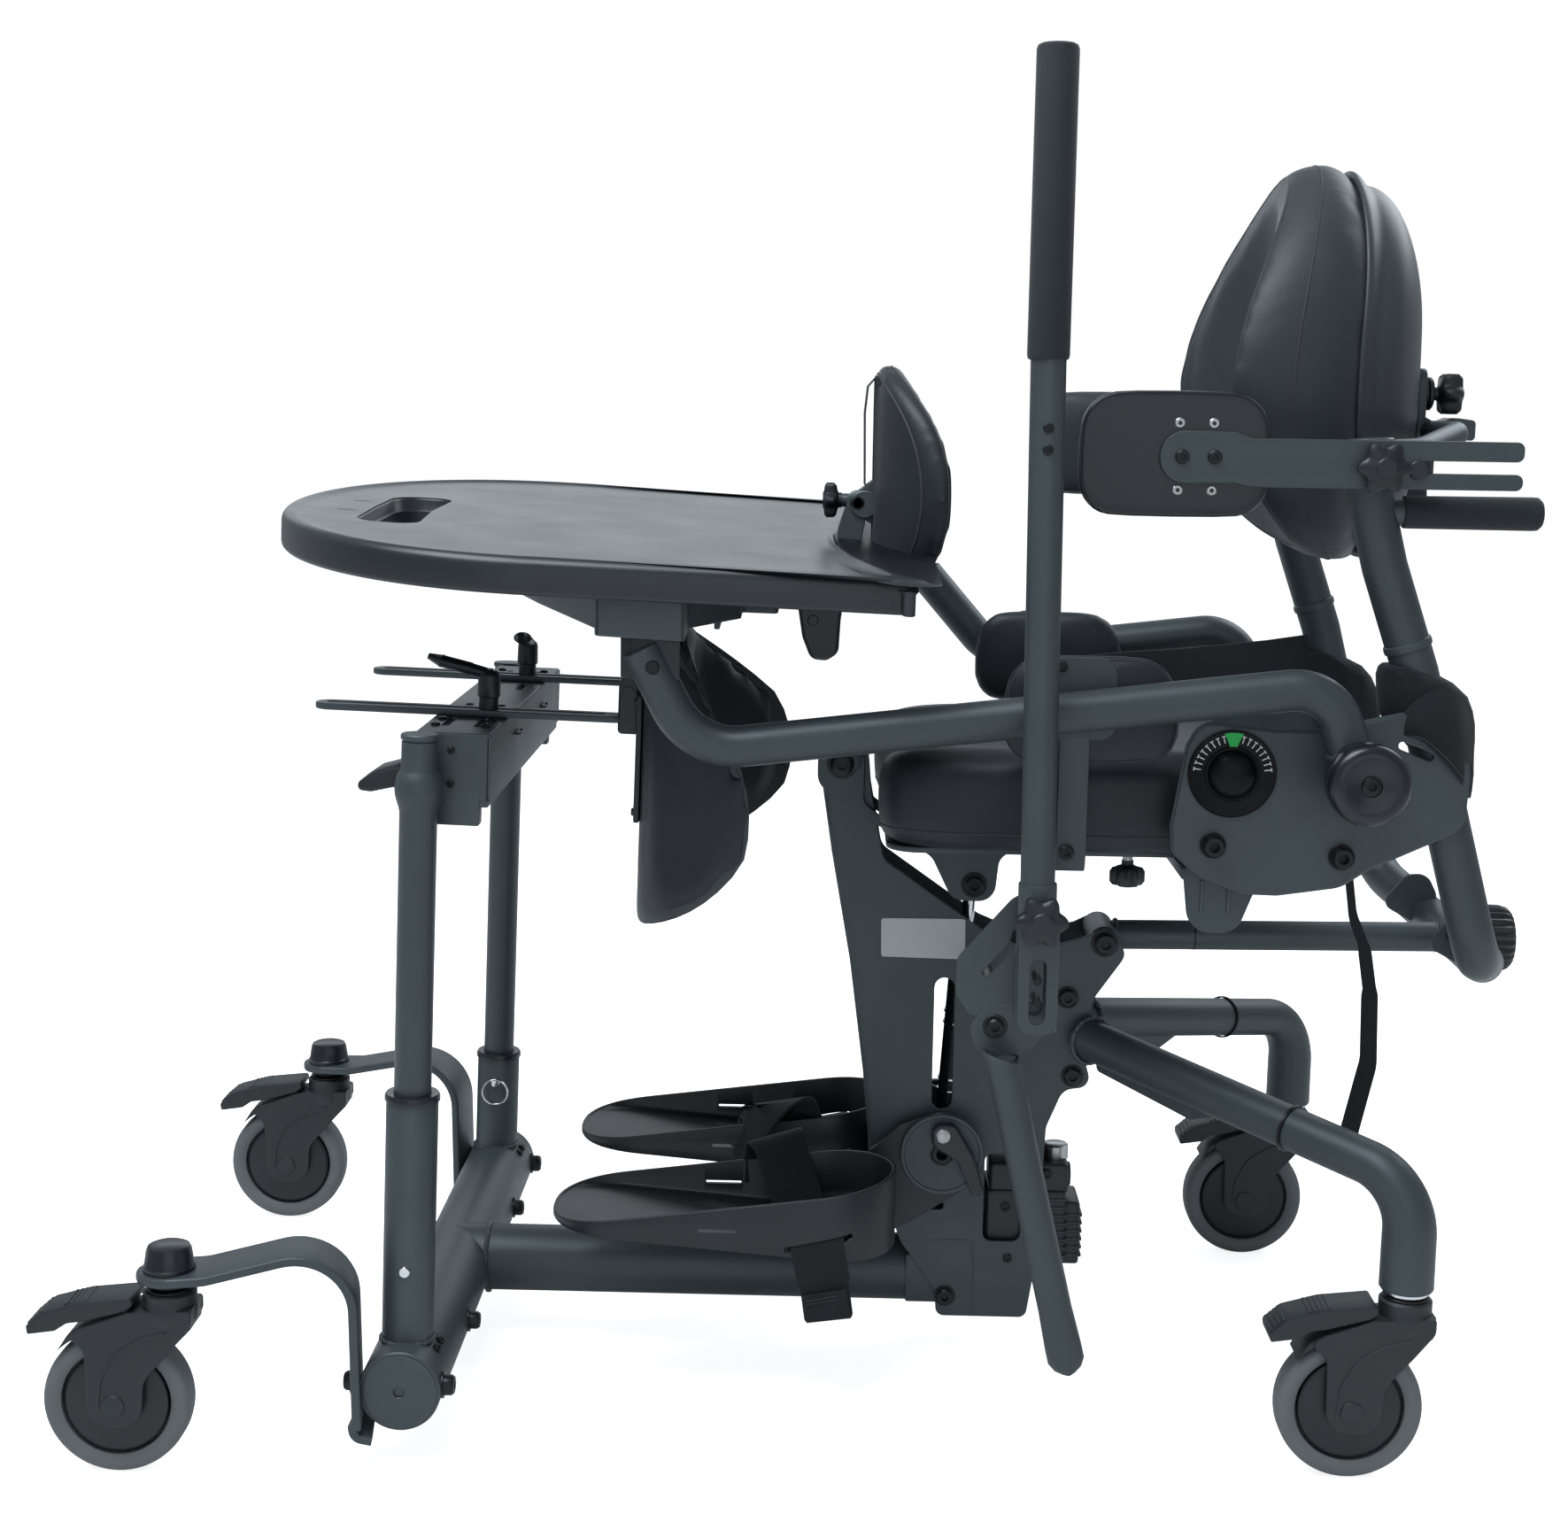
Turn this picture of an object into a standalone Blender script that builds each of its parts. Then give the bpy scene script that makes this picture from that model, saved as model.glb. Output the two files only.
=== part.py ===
"""A sit-to-stand standing frame with a tray, knee pads, sandals and a hydraulic lift.

Metres, +Z up. The user faces -X, so the user's left is -Y. Lengths along X are set out from
the middle of the wheelbase, and one empty then shifts the whole frame so that the origin is
the middle of its footprint on the floor.
"""

import math

import bmesh
import bpy
from mathutils import Matrix, Vector

# Clearances
GAP = 0.0003
RUNNING = 0.0008
SIDES = (("left", -1), ("right", 1))
ORIGIN_SHIFT = -0.0614

# Casters
WHEEL_RADIUS = 0.0625
WHEEL_WIDTH = 0.030
WHEEL_STEPS = 16
HUB_RADIUS = 0.0475
AXLE_RADIUS = 0.0050
TRAIL = 0.045
FORK_CHEEK = 0.0040
FORK_HEAD_TOP = 0.1600
STEM_RADIUS = 0.0060
STEM_HOUSING = 0.0225
PEDAL_WIDTH = 0.040
FRONT_STEM = Vector((-0.4795, 0.3115, 0.0))
REAR_STEM = Vector((0.5685, 0.2660, 0.0))

# Base frame
CROSS_TUBE_RADIUS = 0.0350
CROSS_TUBE_X = -0.287
CROSS_TUBE_Z = 0.0710
CROSS_TUBE_HALF = 0.3100
CENTER_TUBE_RADIUS = 0.03175
CENTER_TUBE_Z = 0.0750
CENTER_TUBE_END = 0.2500
STRAP_WIDTH = 0.056
STRAP_THICK = 0.0080
STRAP_Z = 0.1730
SLEEVE_RADIUS = 0.0222
SLEEVE_TOP = 0.3160
POST_RADIUS = 0.0159
POST_Y = 0.2650
LEAN = math.radians(1.65)
LEAN_BASE = Vector((CROSS_TUBE_X, 0.0, 0.1100))

# Spine channel
SPINE_HALF = 0.0380
SPINE_WALL = 0.0040
KNEE_PIVOT = Vector((0.0800, 0.0, 0.5760))
LINK_PIVOT = Vector((0.3293, 0.0, 0.4098))
LIFT_PIVOT = Vector((0.1840, 0.0, 0.1350))
CROWN_PIVOT = Vector((0.2050, 0.0, 0.4640))
PIN_RADIUS = 0.0060
LEG_RADIUS = 0.0190
LEG_END_RADIUS = 0.0230

# Knee support
POST_TOP = 0.6240
POST_BOTTOM = 0.2000
POST_TRAVEL = 0.0800
BULB_RADIUS = 0.0203
BEAM_X = -0.2630
BEAM_DEPTH = 0.0640
BEAM_BOTTOM = 0.5715
BEAM_TOP = 0.6285
KNEE_Y = 0.1300
BAR_FRONT = -0.4040
BAR_REAR = -0.1300
BAR_WIDTH = 0.0300
BAR_THICK = 0.0060
BAR_SLOT = 0.0100

# Seat and back
HIP_PIVOT = Vector((0.4140, 0.0, 0.5800))
BACK_PIVOT = LINK_PIVOT + HIP_PIVOT - KNEE_PIVOT
SEAT_BOTTOM = 0.5215
SEAT_TOP = 0.6080
SEAT_FRONT = 0.1040
SEAT_REAR = 0.4700
SEAT_HALF = 0.1880
PAN_THICK = 0.0050
SIDE_PLATE_Y = 0.2165
SIDE_PLATE_THICK = 0.0050
BACK_TUBE_RADIUS = 0.0190
BACK_TUBE_Y = SIDE_PLATE_Y - BACK_TUBE_RADIUS - GAP
LINK_RADIUS = 0.0140
DIAL_CENTRE = Vector((0.4086, 0.0, 0.6019))
DIAL_RADIUS = 0.0373

# Tray
ARM_PIVOT = Vector((0.5104, 0.0, 0.6043))
ARM_RADIUS = 0.0175
ARM_Y = 0.2420
KNOB_RADIUS = 0.0340
TRAY_HALF = 0.3000
TRAY_FRONT = -0.4370
TRAY_THICK = 0.0310
TRAY_SKIN = 0.0060
TRAY_TOP = 0.7900
TRAY_PITCH = -0.0475
TRAY_ROLL = 0.0630

# Pump lever
LEVER_PIVOT = Vector((0.2117, 0.0, 0.3903))
LEVER_Y = -0.2850
LEVER_RADIUS = 0.0143
GRIP_RADIUS = 0.0170
SHAFT_RADIUS = 0.0100

# Sandals
FOOT_PIVOT = Vector((0.1810, 0.0, 0.2080))
FOOT_Y = 0.1200
FOOT_HALF = 0.0680
CLAMP_RADIUS = 0.0390

# Colours: red, green and blue in linear light, roughness, metallic
FRAME_GREY = ((0.060, 0.070, 0.073), 0.48, 0.55)
BLACK_PLASTIC = ((0.012, 0.013, 0.014), 0.45, 0.0)
FORK_PLASTIC = ((0.022, 0.026, 0.028), 0.55, 0.0)
TYRE_GREY = ((0.085, 0.092, 0.095), 0.75, 0.0)
BLACK_VINYL = ((0.018, 0.019, 0.022), 0.42, 0.0)
TRAY_PLASTIC = ((0.028, 0.031, 0.033), 0.50, 0.0)
CHROME = ((0.60, 0.60, 0.60), 0.12, 1.0)
SHELL_BLACK = ((0.010, 0.011, 0.012), 0.60, 0.0)

WELD = 0.00002


def start():
    """An empty scene, one collection for the parts and one for what cuts them."""
    for old in list(bpy.data.objects):
        bpy.data.objects.remove(old, do_unlink=True)
    parts = bpy.data.collections.new("standing_frame")
    cutters = bpy.data.collections.new("cutters")
    bpy.context.scene.collection.children.link(parts)
    bpy.context.scene.collection.children.link(cutters)
    origin = bpy.data.objects.new("frame_origin", None)
    origin.location = (ORIGIN_SHIFT, 0.0, 0.0)
    parts.objects.link(origin)
    return parts, cutters, origin


PARTS, CUTTERS, ORIGIN = start()


# Shaping tools

def linked(mesh):
    """A working object for a mesh, kept with the cutters until it becomes a part."""
    obj = bpy.data.objects.new("work", mesh)
    obj.hide_render = True
    obj.display_type = "WIRE"
    CUTTERS.objects.link(obj)
    return obj


def baked(obj):
    """The evaluated shape of an object as a plain closed mesh in world space."""
    bpy.context.view_layer.update()
    graph = bpy.context.evaluated_depsgraph_get()
    mesh = bpy.data.meshes.new_from_object(obj.evaluated_get(graph))
    mesh.transform(obj.matrix_world)
    shape = bmesh.new()
    shape.from_mesh(mesh)
    bmesh.ops.remove_doubles(shape, verts=shape.verts, dist=WELD)
    bmesh.ops.dissolve_degenerate(shape, edges=shape.edges, dist=WELD)
    bmesh.ops.recalc_face_normals(shape, faces=shape.faces)
    shape.to_mesh(mesh)
    shape.free()
    bpy.data.objects.remove(obj)
    return linked(mesh)


def boolean(target, tools, operation):
    for tool in tools:
        step = target.modifiers.new(operation, "BOOLEAN")
        step.operation = operation
        step.solver = "EXACT"
        step.object = tool
    result = baked(target)
    for tool in tools:
        bpy.data.objects.remove(tool)
    return result


def union(target, *tools):
    return boolean(target, tools, "UNION")


def cut(target, *tools):
    return boolean(target, tools, "DIFFERENCE")


def moved(obj, matrix):
    obj.data.transform(matrix)
    return obj


def leaned(obj):
    """Tips a piece that is set out upright to the lean of the two knee posts."""
    turn = Matrix.Rotation(LEAN, 4, "Y")
    return moved(obj, Matrix.Translation(LEAN_BASE) @ turn @ Matrix.Translation(-LEAN_BASE))


def lean_point(point):
    turn = Matrix.Rotation(LEAN, 4, "Y")
    return LEAN_BASE + turn @ (Vector(point) - LEAN_BASE)


def box(low, high):
    shape = bmesh.new()
    bmesh.ops.create_cube(shape, size=1.0)
    low = Vector(low)
    high = Vector(high)
    bmesh.ops.scale(shape, vec=high - low, verts=shape.verts)
    bmesh.ops.translate(shape, vec=(low + high) / 2, verts=shape.verts)
    mesh = bpy.data.meshes.new("box")
    shape.to_mesh(mesh)
    shape.free()
    return linked(mesh)


def along(direction):
    """The turn that takes +Z to a direction."""
    return Vector(direction).to_track_quat("Z", "Y").to_matrix().to_4x4()


def rod(start_point, end_point, radius, steps=12, end_radius=None):
    """A round bar, or a cone where its end has another radius."""
    start_point = Vector(start_point)
    end_point = Vector(end_point)
    shape = bmesh.new()
    bmesh.ops.create_cone(
        shape,
        cap_ends=True,
        segments=steps,
        radius1=radius,
        radius2=radius if end_radius is None else end_radius,
        depth=(end_point - start_point).length,
    )
    middle = Matrix.Translation((start_point + end_point) / 2)
    bmesh.ops.transform(shape, matrix=middle @ along(end_point - start_point), verts=shape.verts)
    mesh = bpy.data.meshes.new("rod")
    shape.to_mesh(mesh)
    shape.free()
    return linked(mesh)


def turned(profile, base, axis, steps=12):
    """A profile of (radius, height) pairs, top to bottom, turned about an axis through base."""
    shape = bmesh.new()
    line = [shape.verts.new((radius, 0.0, height)) for radius, height in profile]
    for first, second in zip(line, line[1:]):
        shape.edges.new((first, second))
    mesh = bpy.data.meshes.new("turned")
    shape.to_mesh(mesh)
    shape.free()
    obj = linked(mesh)
    screw = obj.modifiers.new("Screw", "SCREW")
    screw.angle = math.tau
    screw.axis = "Z"
    screw.steps = steps
    screw.render_steps = steps
    screw.use_merge_vertices = True
    screw.merge_threshold = WELD
    obj.matrix_world = Matrix.Translation(base) @ along(axis)
    return baked(obj)


def arc(centre, radius, first, last, steps):
    """Points on an arc in a plane, with its angles in degrees."""
    angles = [math.radians(first + (last - first) * step / steps) for step in range(steps + 1)]
    return [(centre[0] + radius * math.cos(a), centre[1] + radius * math.sin(a)) for a in angles]


def rounded(points, radius, steps=2, closed=True):
    """The points with each corner as an arc, of its own radius where one follows the point."""
    result = []
    count = len(points)
    for index, entry in enumerate(points):
        size = radius
        here = entry
        if isinstance(entry, tuple) and entry and isinstance(entry[0], (tuple, Vector)):
            here, size = entry
        here = Vector(here)
        is_end = not closed and index in (0, count - 1)
        if is_end or size <= 0.0:
            result.append(here)
            continue
        before = corner_point(points[index - 1])
        after = corner_point(points[(index + 1) % count])
        back = (before - here).normalized()
        ahead = (after - here).normalized()
        turn = math.pi - back.angle(ahead)
        if turn < 0.02:
            result.append(here)
            continue
        reach = size * math.tan(turn / 2)
        limit = 0.49 * min((before - here).length, (after - here).length)
        if reach > limit:
            reach = limit
            size = reach / math.tan(turn / 2)
        centre = here + (back + ahead).normalized() * (size / math.cos(turn / 2))
        first = here + back * reach - centre
        last = here + ahead * reach - centre
        for step in range(steps + 1):
            share = step / steps
            spread = first.angle(last)
            weight = math.sin(spread)
            spoke = first * (math.sin((1 - share) * spread) / weight)
            spoke += last * (math.sin(share * spread) / weight)
            result.append(centre + spoke)
    return result


def corner_point(entry):
    if isinstance(entry, tuple) and entry and isinstance(entry[0], (tuple, Vector)):
        return Vector(entry[0])
    return Vector(entry)


def curve_object(loops, is_flat):
    curve = bpy.data.curves.new("curve", "CURVE")
    curve.dimensions = "2D" if is_flat else "3D"
    for loop in loops:
        spline = curve.splines.new("POLY")
        spline.points.add(len(loop) - 1)
        for place, point in zip(spline.points, loop):
            place.co = (*Vector(point).to_3d(), 1.0)
        spline.use_cyclic_u = is_flat
    obj = bpy.data.objects.new("curve", curve)
    CUTTERS.objects.link(obj)
    return obj


def tube(points, radius, bend=0.0, sides=10, steps=4, end_radius=None):
    """A round tube along a path, its corners bent; its radius may run to another at the end."""
    path = rounded([Vector(point) for point in points], bend, steps, closed=False)
    obj = curve_object([path], False)
    curve = obj.data
    curve.bevel_depth = radius
    curve.bevel_resolution = (sides - 4) // 2
    curve.use_fill_caps = True
    if end_radius is not None:
        last = len(path) - 1
        for index, place in enumerate(curve.splines[0].points):
            share = index / last
            place.radius = 1.0 + (end_radius / radius - 1.0) * share
    return baked(obj)


def flat(loops, thickness, placing):
    """A flat sheet from an outline and any holes in it, as thick as said about its middle."""
    obj = curve_object(loops, True)
    curve = obj.data
    curve.fill_mode = "BOTH"
    curve.extrude = thickness / 2
    obj.matrix_world = placing
    return baked(obj)


def upright(outline, low_y, high_y, holes=()):
    """A plate across Y: its outline is (x, z) points, and each hole is (x, z, radius)."""
    loops = [outline] + [arc((x, z), radius, 0, 324, 9) for x, z, radius in holes]
    placing = Matrix.Translation((0.0, (low_y + high_y) / 2, 0.0)) @ Matrix.Rotation(math.pi / 2, 4, "X")
    return flat(loops, abs(high_y - low_y), placing)


def level(outline, low_z, high_z, holes=()):
    """A plate across Z: its outline is (x, y) points."""
    loops = [outline] + [arc((x, y), radius, 0, 324, 9) for x, y, radius in holes]
    return flat(loops, high_z - low_z, Matrix.Translation((0.0, 0.0, (low_z + high_z) / 2)))


def slot_loop(start_point, end_point, half, steps=3):
    """The outline of a slot with round ends between two points of a plane."""
    start_point = Vector(start_point)
    end_point = Vector(end_point)
    heading = math.degrees(math.atan2(*(end_point - start_point).yx))
    ends = arc(end_point, half, heading - 90, heading + 90, steps)
    return ends + arc(start_point, half, heading + 90, heading + 270, steps)


def slab(outline, low, high):
    """A level outline whose underside and top follow two functions of x and y."""
    obj = level(outline, 0.0, 1.0)
    for vertex in obj.data.vertices:
        x, y, z = vertex.co
        vertex.co.z = high(x, y) if z > 0.5 else low(x, y)
    return obj


def pad(outline, depth, crown, placing, bow=None, levels=1, draw=0.06):
    """A stuffed pad: an outline in the placing's XY plane, its back at 0 and its crown at depth.

    The sides are drawn in between their middle and both faces. A bow moves points along Z by
    a function of x, y and their share of the depth, which curves the whole pad.
    """
    middle = sum((Vector(point).to_2d() for point in outline), Vector((0.0, 0.0))) / len(outline)
    edge = depth - crown
    rings = [
        (1.0 - 1.8 * draw, 0.0),
        (1.0 - draw, 0.10 * edge),
        (1.0, 0.50 * edge),
        (1.0 - draw, 0.88 * edge),
        (1.0 - 3.2 * draw, edge),
        (0.45, depth),
    ]
    if bow is not None:
        rings = [(0.12, 0.0), (0.50, 0.0)] + rings + [(0.12, depth)]
    shape = bmesh.new()
    loops = []
    for size, height in rings:
        loop = []
        for point in outline:
            x, y = middle + (Vector(point).to_2d() - middle) * size
            loop.append(shape.verts.new((x, y, height)))
        loops.append(loop)
    for lower, upper in zip(loops, loops[1:]):
        for index in range(len(outline)):
            after = (index + 1) % len(outline)
            shape.faces.new((lower[index], lower[after], upper[after], upper[index]))
    shape.faces.new(loops[0][::-1])
    shape.faces.new(loops[-1])
    bmesh.ops.recalc_face_normals(shape, faces=shape.faces)
    if bow is not None:
        for vertex in shape.verts:
            vertex.co.z += bow(vertex.co.x, vertex.co.y, vertex.co.z / depth)
    mesh = bpy.data.meshes.new("pad")
    shape.to_mesh(mesh)
    shape.free()
    obj = linked(mesh)
    soft = obj.modifiers.new("Subdivision", "SUBSURF")
    soft.levels = levels
    soft.render_levels = levels
    obj.matrix_world = placing
    return baked(obj)


def finish(name, look):
    """A Principled material of the part's own."""
    colour, roughness, metallic = look
    material = bpy.data.materials.new(name)
    material.use_nodes = True
    shader = material.node_tree.nodes["Principled BSDF"]
    shader.inputs["Base Color"].default_value = (*colour, 1.0)
    shader.inputs["Roughness"].default_value = roughness
    shader.inputs["Metallic"].default_value = metallic
    material.diffuse_color = (*colour, 1.0)
    return material


def part(name, obj, look, pivot=(0.0, 0.0, 0.0)):
    """Makes a working object a named part whose own origin is at its joint."""
    pivot = Vector(pivot)
    obj.data.transform(Matrix.Translation(-pivot))
    obj.name = name
    obj.data.name = name
    obj.data.materials.clear()
    obj.data.materials.append(finish(name, look))
    obj.data.shade_smooth()
    obj.data.set_sharp_from_angle(angle=math.radians(35))
    obj.hide_render = False
    obj.display_type = "TEXTURED"
    CUTTERS.objects.unlink(obj)
    PARTS.objects.link(obj)
    obj.parent = ORIGIN
    obj.location = pivot
    return obj


def bolt(place, direction, radius, height, steps=6):
    """A bolt head standing on a face, sunk a little into it so that the two can be joined."""
    place = Vector(place)
    direction = Vector(direction).normalized()
    return rod(place - direction * 0.0015, place + direction * height, radius, steps)


# Casters

def wheel(name, hub):
    """A wheel with a rounded tyre; a flat of its rim rests on the floor."""
    rim = WHEEL_RADIUS / math.cos(math.pi / WHEEL_STEPS)
    half = WHEEL_WIDTH / 2
    profile = (
        (AXLE_RADIUS + GAP * 2, half - 0.003),
        (HUB_RADIUS - 0.002, half - 0.003),
        (rim - 0.007, half - 0.001),
        (rim, half - 0.009),
        (rim, -half + 0.009),
        (rim - 0.007, -half + 0.001),
        (HUB_RADIUS - 0.002, -half + 0.003),
        (AXLE_RADIUS + GAP * 2, -half + 0.003),
        (AXLE_RADIUS + GAP * 2, half - 0.003),
    )
    obj = turned(profile, (0.0, 0.0, 0.0), (0.0, 0.0, 1.0), WHEEL_STEPS)
    flat_down = Matrix.Rotation(math.pi / WHEEL_STEPS, 4, "Z")
    moved(obj, Matrix.Translation(hub) @ Matrix.Rotation(math.pi / 2, 4, "X") @ flat_down)
    part(name, obj, TYRE_GREY, hub)


def fork(name, stem):
    """The swivel fork: two cheeks, the head over the wheel, the housing, the stem and the axle."""
    hub = stem + Vector((-TRAIL, 0.0, WHEEL_RADIUS))
    inner = WHEEL_WIDTH / 2 + 0.0025
    outer = inner + FORK_CHEEK
    outline = rounded(
        [
            (hub.x - 0.016, hub.z + 0.030),
            ((hub.x - 0.0165, hub.z - 0.017), 0.0165),
            ((hub.x + 0.0165, hub.z - 0.017), 0.0165),
            (hub.x + 0.024, hub.z + 0.022),
            (stem.x + 0.020, hub.z + 0.064),
            (stem.x + STEM_HOUSING, hub.z + 0.076),
            (stem.x + STEM_HOUSING, FORK_HEAD_TOP - 0.012),
            (hub.x + 0.014, FORK_HEAD_TOP - 0.0145),
            (hub.x - 0.024, FORK_HEAD_TOP - 0.0290),
            (hub.x - 0.036, hub.z + 0.060),
            (hub.x - 0.026, hub.z + 0.054),
        ],
        0.0,
    )
    body = upright(outline, stem.y - outer, stem.y + outer)
    clear = WHEEL_RADIUS + 0.004
    slot = rod((hub.x, stem.y - inner, hub.z), (hub.x, stem.y + inner, hub.z), clear, WHEEL_STEPS)
    below = box((hub.x - 0.1, stem.y - inner, 0.0), (hub.x + clear, stem.y + inner, hub.z))
    body = cut(body, slot, below)
    housing = rod((stem.x, stem.y, FORK_HEAD_TOP - 0.026), (stem.x, stem.y, FORK_HEAD_TOP), STEM_HOUSING, 10)
    spindle = rod((stem.x, stem.y, FORK_HEAD_TOP - 0.004), (stem.x, stem.y, STRAP_Z + 0.002), STEM_RADIUS, 8)
    axle = rod((hub.x, stem.y - outer - 0.001, hub.z), (hub.x, stem.y + outer + 0.001, hub.z), AXLE_RADIUS, 8)
    body = union(body, housing, spindle, axle)
    part(name, body, FORK_PLASTIC, (stem.x, stem.y, FORK_HEAD_TOP))
    return hub


def pedal(name, stem):
    """The brake pedal, hinged in front of the stem housing and pressed down to lock."""
    hub = stem + Vector((-TRAIL, 0.0, WHEEL_RADIUS))
    hinge = Vector((hub.x + 0.012, stem.y, FORK_HEAD_TOP - 0.0080))
    outline = rounded(
        [
            (hinge.x, hinge.z - 0.0065),
            (hinge.x + 0.006, hinge.z - 0.0010),
            (hinge.x + 0.006, hinge.z + 0.0060),
            (hub.x - 0.026, FORK_HEAD_TOP - 0.008),
            (hub.x - 0.058, FORK_HEAD_TOP - 0.016),
            (hub.x - 0.072, FORK_HEAD_TOP - 0.030),
            (hub.x - 0.071, FORK_HEAD_TOP - 0.036),
            (hub.x - 0.048, FORK_HEAD_TOP - 0.0335),
            (hub.x - 0.038, FORK_HEAD_TOP - 0.0265),
            (hub.x - 0.0245, FORK_HEAD_TOP - 0.0240),
        ],
        0.0,
    )
    half = PEDAL_WIDTH / 2
    part(name, upright(outline, stem.y - half, stem.y + half), BLACK_PLASTIC, hinge)


def casters():
    for end, place in (("front", FRONT_STEM), ("rear", REAR_STEM)):
        for side, sign in SIDES:
            stem = Vector((place.x, sign * place.y, 0.0))
            hub = fork(f"caster_fork_{end}_{side}", stem)
            wheel(f"caster_wheel_{end}_{side}", hub)
            pedal(f"brake_pedal_{end}_{side}", stem)


# Base frame

def base_frame():
    """The weldment: cross tube, centre tube with its squared end, and the two post sleeves."""
    cross = rod(
        (CROSS_TUBE_X, -CROSS_TUBE_HALF, CROSS_TUBE_Z),
        (CROSS_TUBE_X, CROSS_TUBE_HALF, CROSS_TUBE_Z),
        CROSS_TUBE_RADIUS,
        16,
    )
    centre = rod(
        (CROSS_TUBE_X, 0.0, CENTER_TUBE_Z),
        (CENTER_TUBE_END, 0.0, CENTER_TUBE_Z),
        CENTER_TUBE_RADIUS,
        16,
    )
    inner = SPINE_HALF - SPINE_WALL - GAP
    plug = box((0.150, -inner, CENTER_TUBE_Z - 0.024), (CENTER_TUBE_END, inner, CENTER_TUBE_Z + 0.024))
    pieces = [centre, plug]
    for _, sign in SIDES:
        y = sign * POST_Y
        pieces.append(leaned(rod((CROSS_TUBE_X, y, 0.085), (CROSS_TUBE_X, y, SLEEVE_TOP), SLEEVE_RADIUS)))
        end_y = sign * (CROSS_TUBE_HALF - 0.018)
        rear_face = (CROSS_TUBE_X + CROSS_TUBE_RADIUS - 0.002, end_y, CROSS_TUBE_Z)
        pieces.append(bolt(rear_face, (1, 0, 0), 0.0085, 0.014))
        inboard = (rear_face[0], sign * 0.150, CROSS_TUBE_Z)
        pieces.append(bolt(inboard, (1, 0, 0), 0.0085, 0.014))
    body = union(cross, *pieces)
    bores = []
    for _, sign in SIDES:
        y = sign * POST_Y
        radius = POST_RADIUS + RUNNING
        bore_end = (CROSS_TUBE_X, y, POST_BOTTOM - POST_TRAVEL - 0.008)
        bores.append(leaned(rod(bore_end, (CROSS_TUBE_X, y, SLEEVE_TOP + 0.05), radius)))
    part("base_frame", cut(body, *bores), FRAME_GREY)


def strap_slope(x):
    """How far the strap stands in from the stem's Y at a place along X: it toes out to its caster."""
    return (x - FRONT_STEM.x) / (CROSS_TUBE_X - FRONT_STEM.x) * 0.029


def caster_arms():
    """The bent strap from the cross tube to each front caster, with the cap over the stem bolt."""
    face = CROSS_TUBE_X - CROSS_TUBE_RADIUS - GAP
    half = STRAP_THICK / 2
    tip = FRONT_STEM.x - 0.0275
    line = rounded(
        [
            (tip, STRAP_Z),
            (FRONT_STEM.x + 0.030, STRAP_Z + 0.001),
            ((face - half - 0.003, STRAP_Z + 0.028), 0.050),
            (face - half, 0.038),
        ],
        0.05,
        6,
        closed=False,
    )
    for side, sign in SIDES:
        obj = curve_object([[(x, z, 0.0) for x, z in line]], False)
        obj.data.extrude = STRAP_WIDTH / 2
        obj.matrix_world = Matrix.Rotation(math.pi / 2, 4, "X")
        sheet = baked(obj)
        thick = sheet.modifiers.new("Solidify", "SOLIDIFY")
        thick.thickness = STRAP_THICK
        thick.offset = 0.0
        strap = baked(sheet)
        trim = []
        for corner in (-1, 1):
            wedge = level(
                rounded([(tip - 0.01, 0.0), (tip - 0.01, 0.04), (tip + 0.034, 0.04), (tip, 0.012)], 0.0),
                0.10,
                0.25,
            )
            if corner < 0:
                moved(wedge, Matrix.Scale(-1, 4, (0, 1, 0)))
                wedge.data.flip_normals()
            trim.append(wedge)
        strap = cut(strap, *trim)
        for vertex in strap.data.vertices:
            vertex.co.y += sign * (FRONT_STEM.y - strap_slope(vertex.co.x))
        stem_y = sign * FRONT_STEM.y
        hole_top = STRAP_Z + half + 0.001
        cap = turned(
            ((0.0, 0.0310), (0.0145, 0.0310), (0.0195, 0.0250), (0.0205, 0.0), (0.0, 0.0)),
            (FRONT_STEM.x, stem_y, STRAP_Z + half - 0.001),
            (0, 0, 1),
        )
        seat = sign * (FRONT_STEM.y - strap_slope(face))
        low_bolt = bolt((face - STRAP_THICK, seat, CROSS_TUBE_Z), (-1, 0, 0), 0.0085, 0.008)
        strap = union(strap, cap, low_bolt)
        hole = rod((FRONT_STEM.x, stem_y, 0.10), (FRONT_STEM.x, stem_y, hole_top), STEM_RADIUS + GAP * 2, 12)
        part(f"caster_arm_{side}", cut(strap, hole), FRAME_GREY)


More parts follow.
